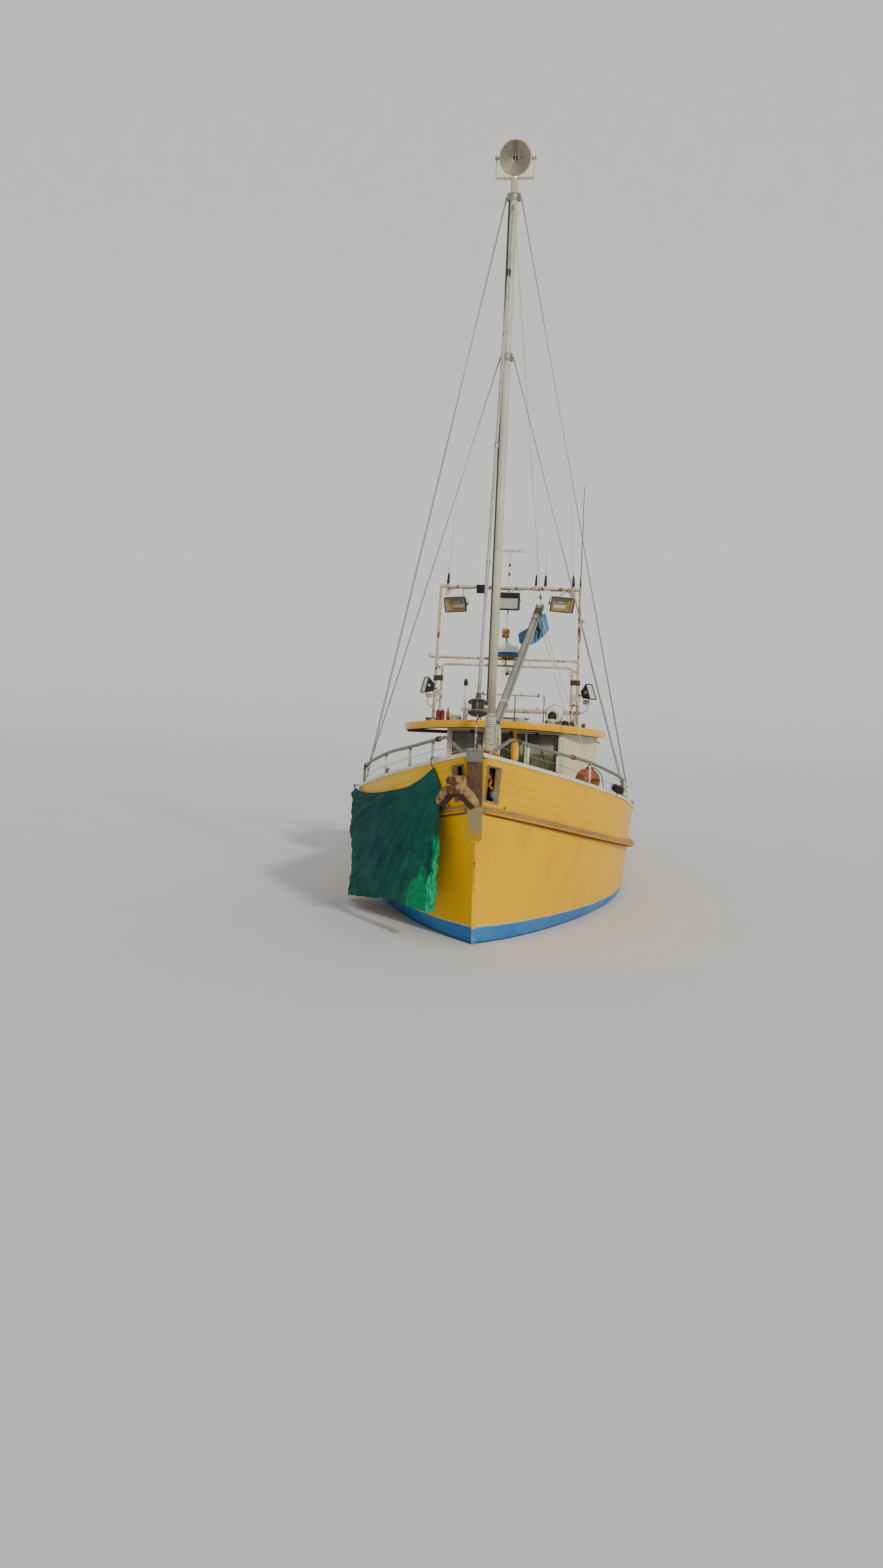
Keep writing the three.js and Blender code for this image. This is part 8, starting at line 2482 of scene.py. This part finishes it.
# ================================================================ cloth and a bundle tied under the boom head
def make_boom_cloth():
    L = BOOM_LENGTH

    def P(x, y, z):
        return BOOM @ Vector((x, y, z))
    nu, nv = 44, 26
    top = [Vector((1.46, .735, 5.385)), P(L - .16, .045, -.066), P(L - .34, .0, -.068), Vector((1.80, .47, 5.12)), Vector((1.86, .37, 5.03)), Vector((1.92, .235, 4.945))]
    low = [Vector((1.43, .815, 5.09)), Vector((1.52, .725, 4.94)), Vector((1.62, .62, 4.83)), Vector((1.74, .50, 4.75)), Vector((1.82, .40, 4.72)), Vector((1.90, .26, 4.775))]
    verts = []
    for j in range(nv + 1):
        v = j / nv
        for i in range(nu + 1):
            u = i / nu
            q = on_line(top, u).lerp(on_line(low, u), v)
            q += Vector((.75, .5, 0)).normalized() * (.024 * noise.fractal(Vector((u * 5, v * 1.6, 3)), .8, 2.1, 4) * (.15 + v) + .012 * math.sin(u * 11 + v) * v)
            q.z += .012 * noise.noise(Vector((u * 23, 1, 1))) * v
            verts.append(q)
    w = nu + 1
    faces = [(j * w + i, j * w + i + 1, (j + 1) * w + i + 1, (j + 1) * w + i) for j in range(nv) for i in range(nu)]
    o = mesh_object("boom_rag_blue", verts, faces, MATS["cloth_blue"], True, None, body="cargo_boom")
    b = Build("boom_bundle", body="cargo_boom")
    rnd = random.Random(4)
    for k in range(7):
        c = P(L - .46, 0, -.062)
        q = c + Vector((.03, .035 + .006 * k + rnd.uniform(-.02, .02), -.05 - .045 * k))
        b.ball(q, .052 - .003 * k, "cloth_black", (1, .8 + rnd.uniform(-.2, .2), 1.15), 14)
    for k in range(3):
        b.tube([P(L - .16 - .22 * k, -.064, -.066), P(L - .16 - .22 * k, -.066, .064), P(L - .16 - .22 * k, .066, .064), P(L - .16 - .22 * k, .064, -.066)], .005, "rope_dark", 6, closed=True)
    b.make()


make_boom_cloth()


# ================================================================ the boom's falls
def make_falls():
    """Two parts of line from the boom head, one down to a cleat on the roof's fore edge, one to a pad eye on the port deck."""
    head = BOOM @ Vector((BOOM_LENGTH - .02, .03, -.075))
    zr = roof_at(1.30)
    cleat = Vector((2.20, 1.30, zr + .03))
    b = Build("boom_fall_cleats")
    b.box((2.13, 1.27, zr - .004), (2.27, 1.33, zr + .012), "galvanised", bevel=.003)
    b.tube([(2.10, 1.30, zr + .055), (2.16, 1.30, zr + .045), (2.24, 1.30, zr + .045), (2.30, 1.30, zr + .055)], [.008, .013, .013, .008], "galvanised", 12)
    for d in (-.03, .03):
        b.tube([(2.2 + d, 1.30, zr), (2.2 + d, 1.30, zr + .04)], .010, "galvanised", 10)
    eye = Vector((4.0, 2.10, deck_top(4.0, 2.10)))
    b.turned([(0, 0), (.05, 0), (.05, .01), (0, .011)], eye - Vector((0, 0, .001)), (0, 0, 1), "galvanised", 20)
    b.torus(eye + Vector((0, 0, .04)), (1, .3, 0), .034, .008, "galvanised", 24, 8)
    b.make()
    low = eye + Vector((0, 0, .075))
    for name, end, off, r in (("boom_fall_port", low, .02, .0085), ("boom_fall_roof", cleat, -.02, .0085)):
        a = head + Vector((0, off, 0))
        line = [a.lerp(end, k / 40) - Vector((0, 0, .05 * math.sin(math.pi * k / 40))) for k in range(41)]
        d = (end - a).normalized()
        b = Build(name, body=None)
        b.tube(line[16:], r, "rope", 8)
        b.tube([end - d * .30, end - d * .02], .0125, "rope", 10)
        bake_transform(b.make(), "boat", "gooseneck", tuple(end), tuple(line[16]))
        b = Build(name + "_upper", body=None)
        b.tube(line[:17], r, "rope", 8)
        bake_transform(b.make(), "gooseneck", "cargo_boom", tuple(line[16]), tuple(a))


make_falls()


# ================================================================ the end
bpy.context.view_layer.update()
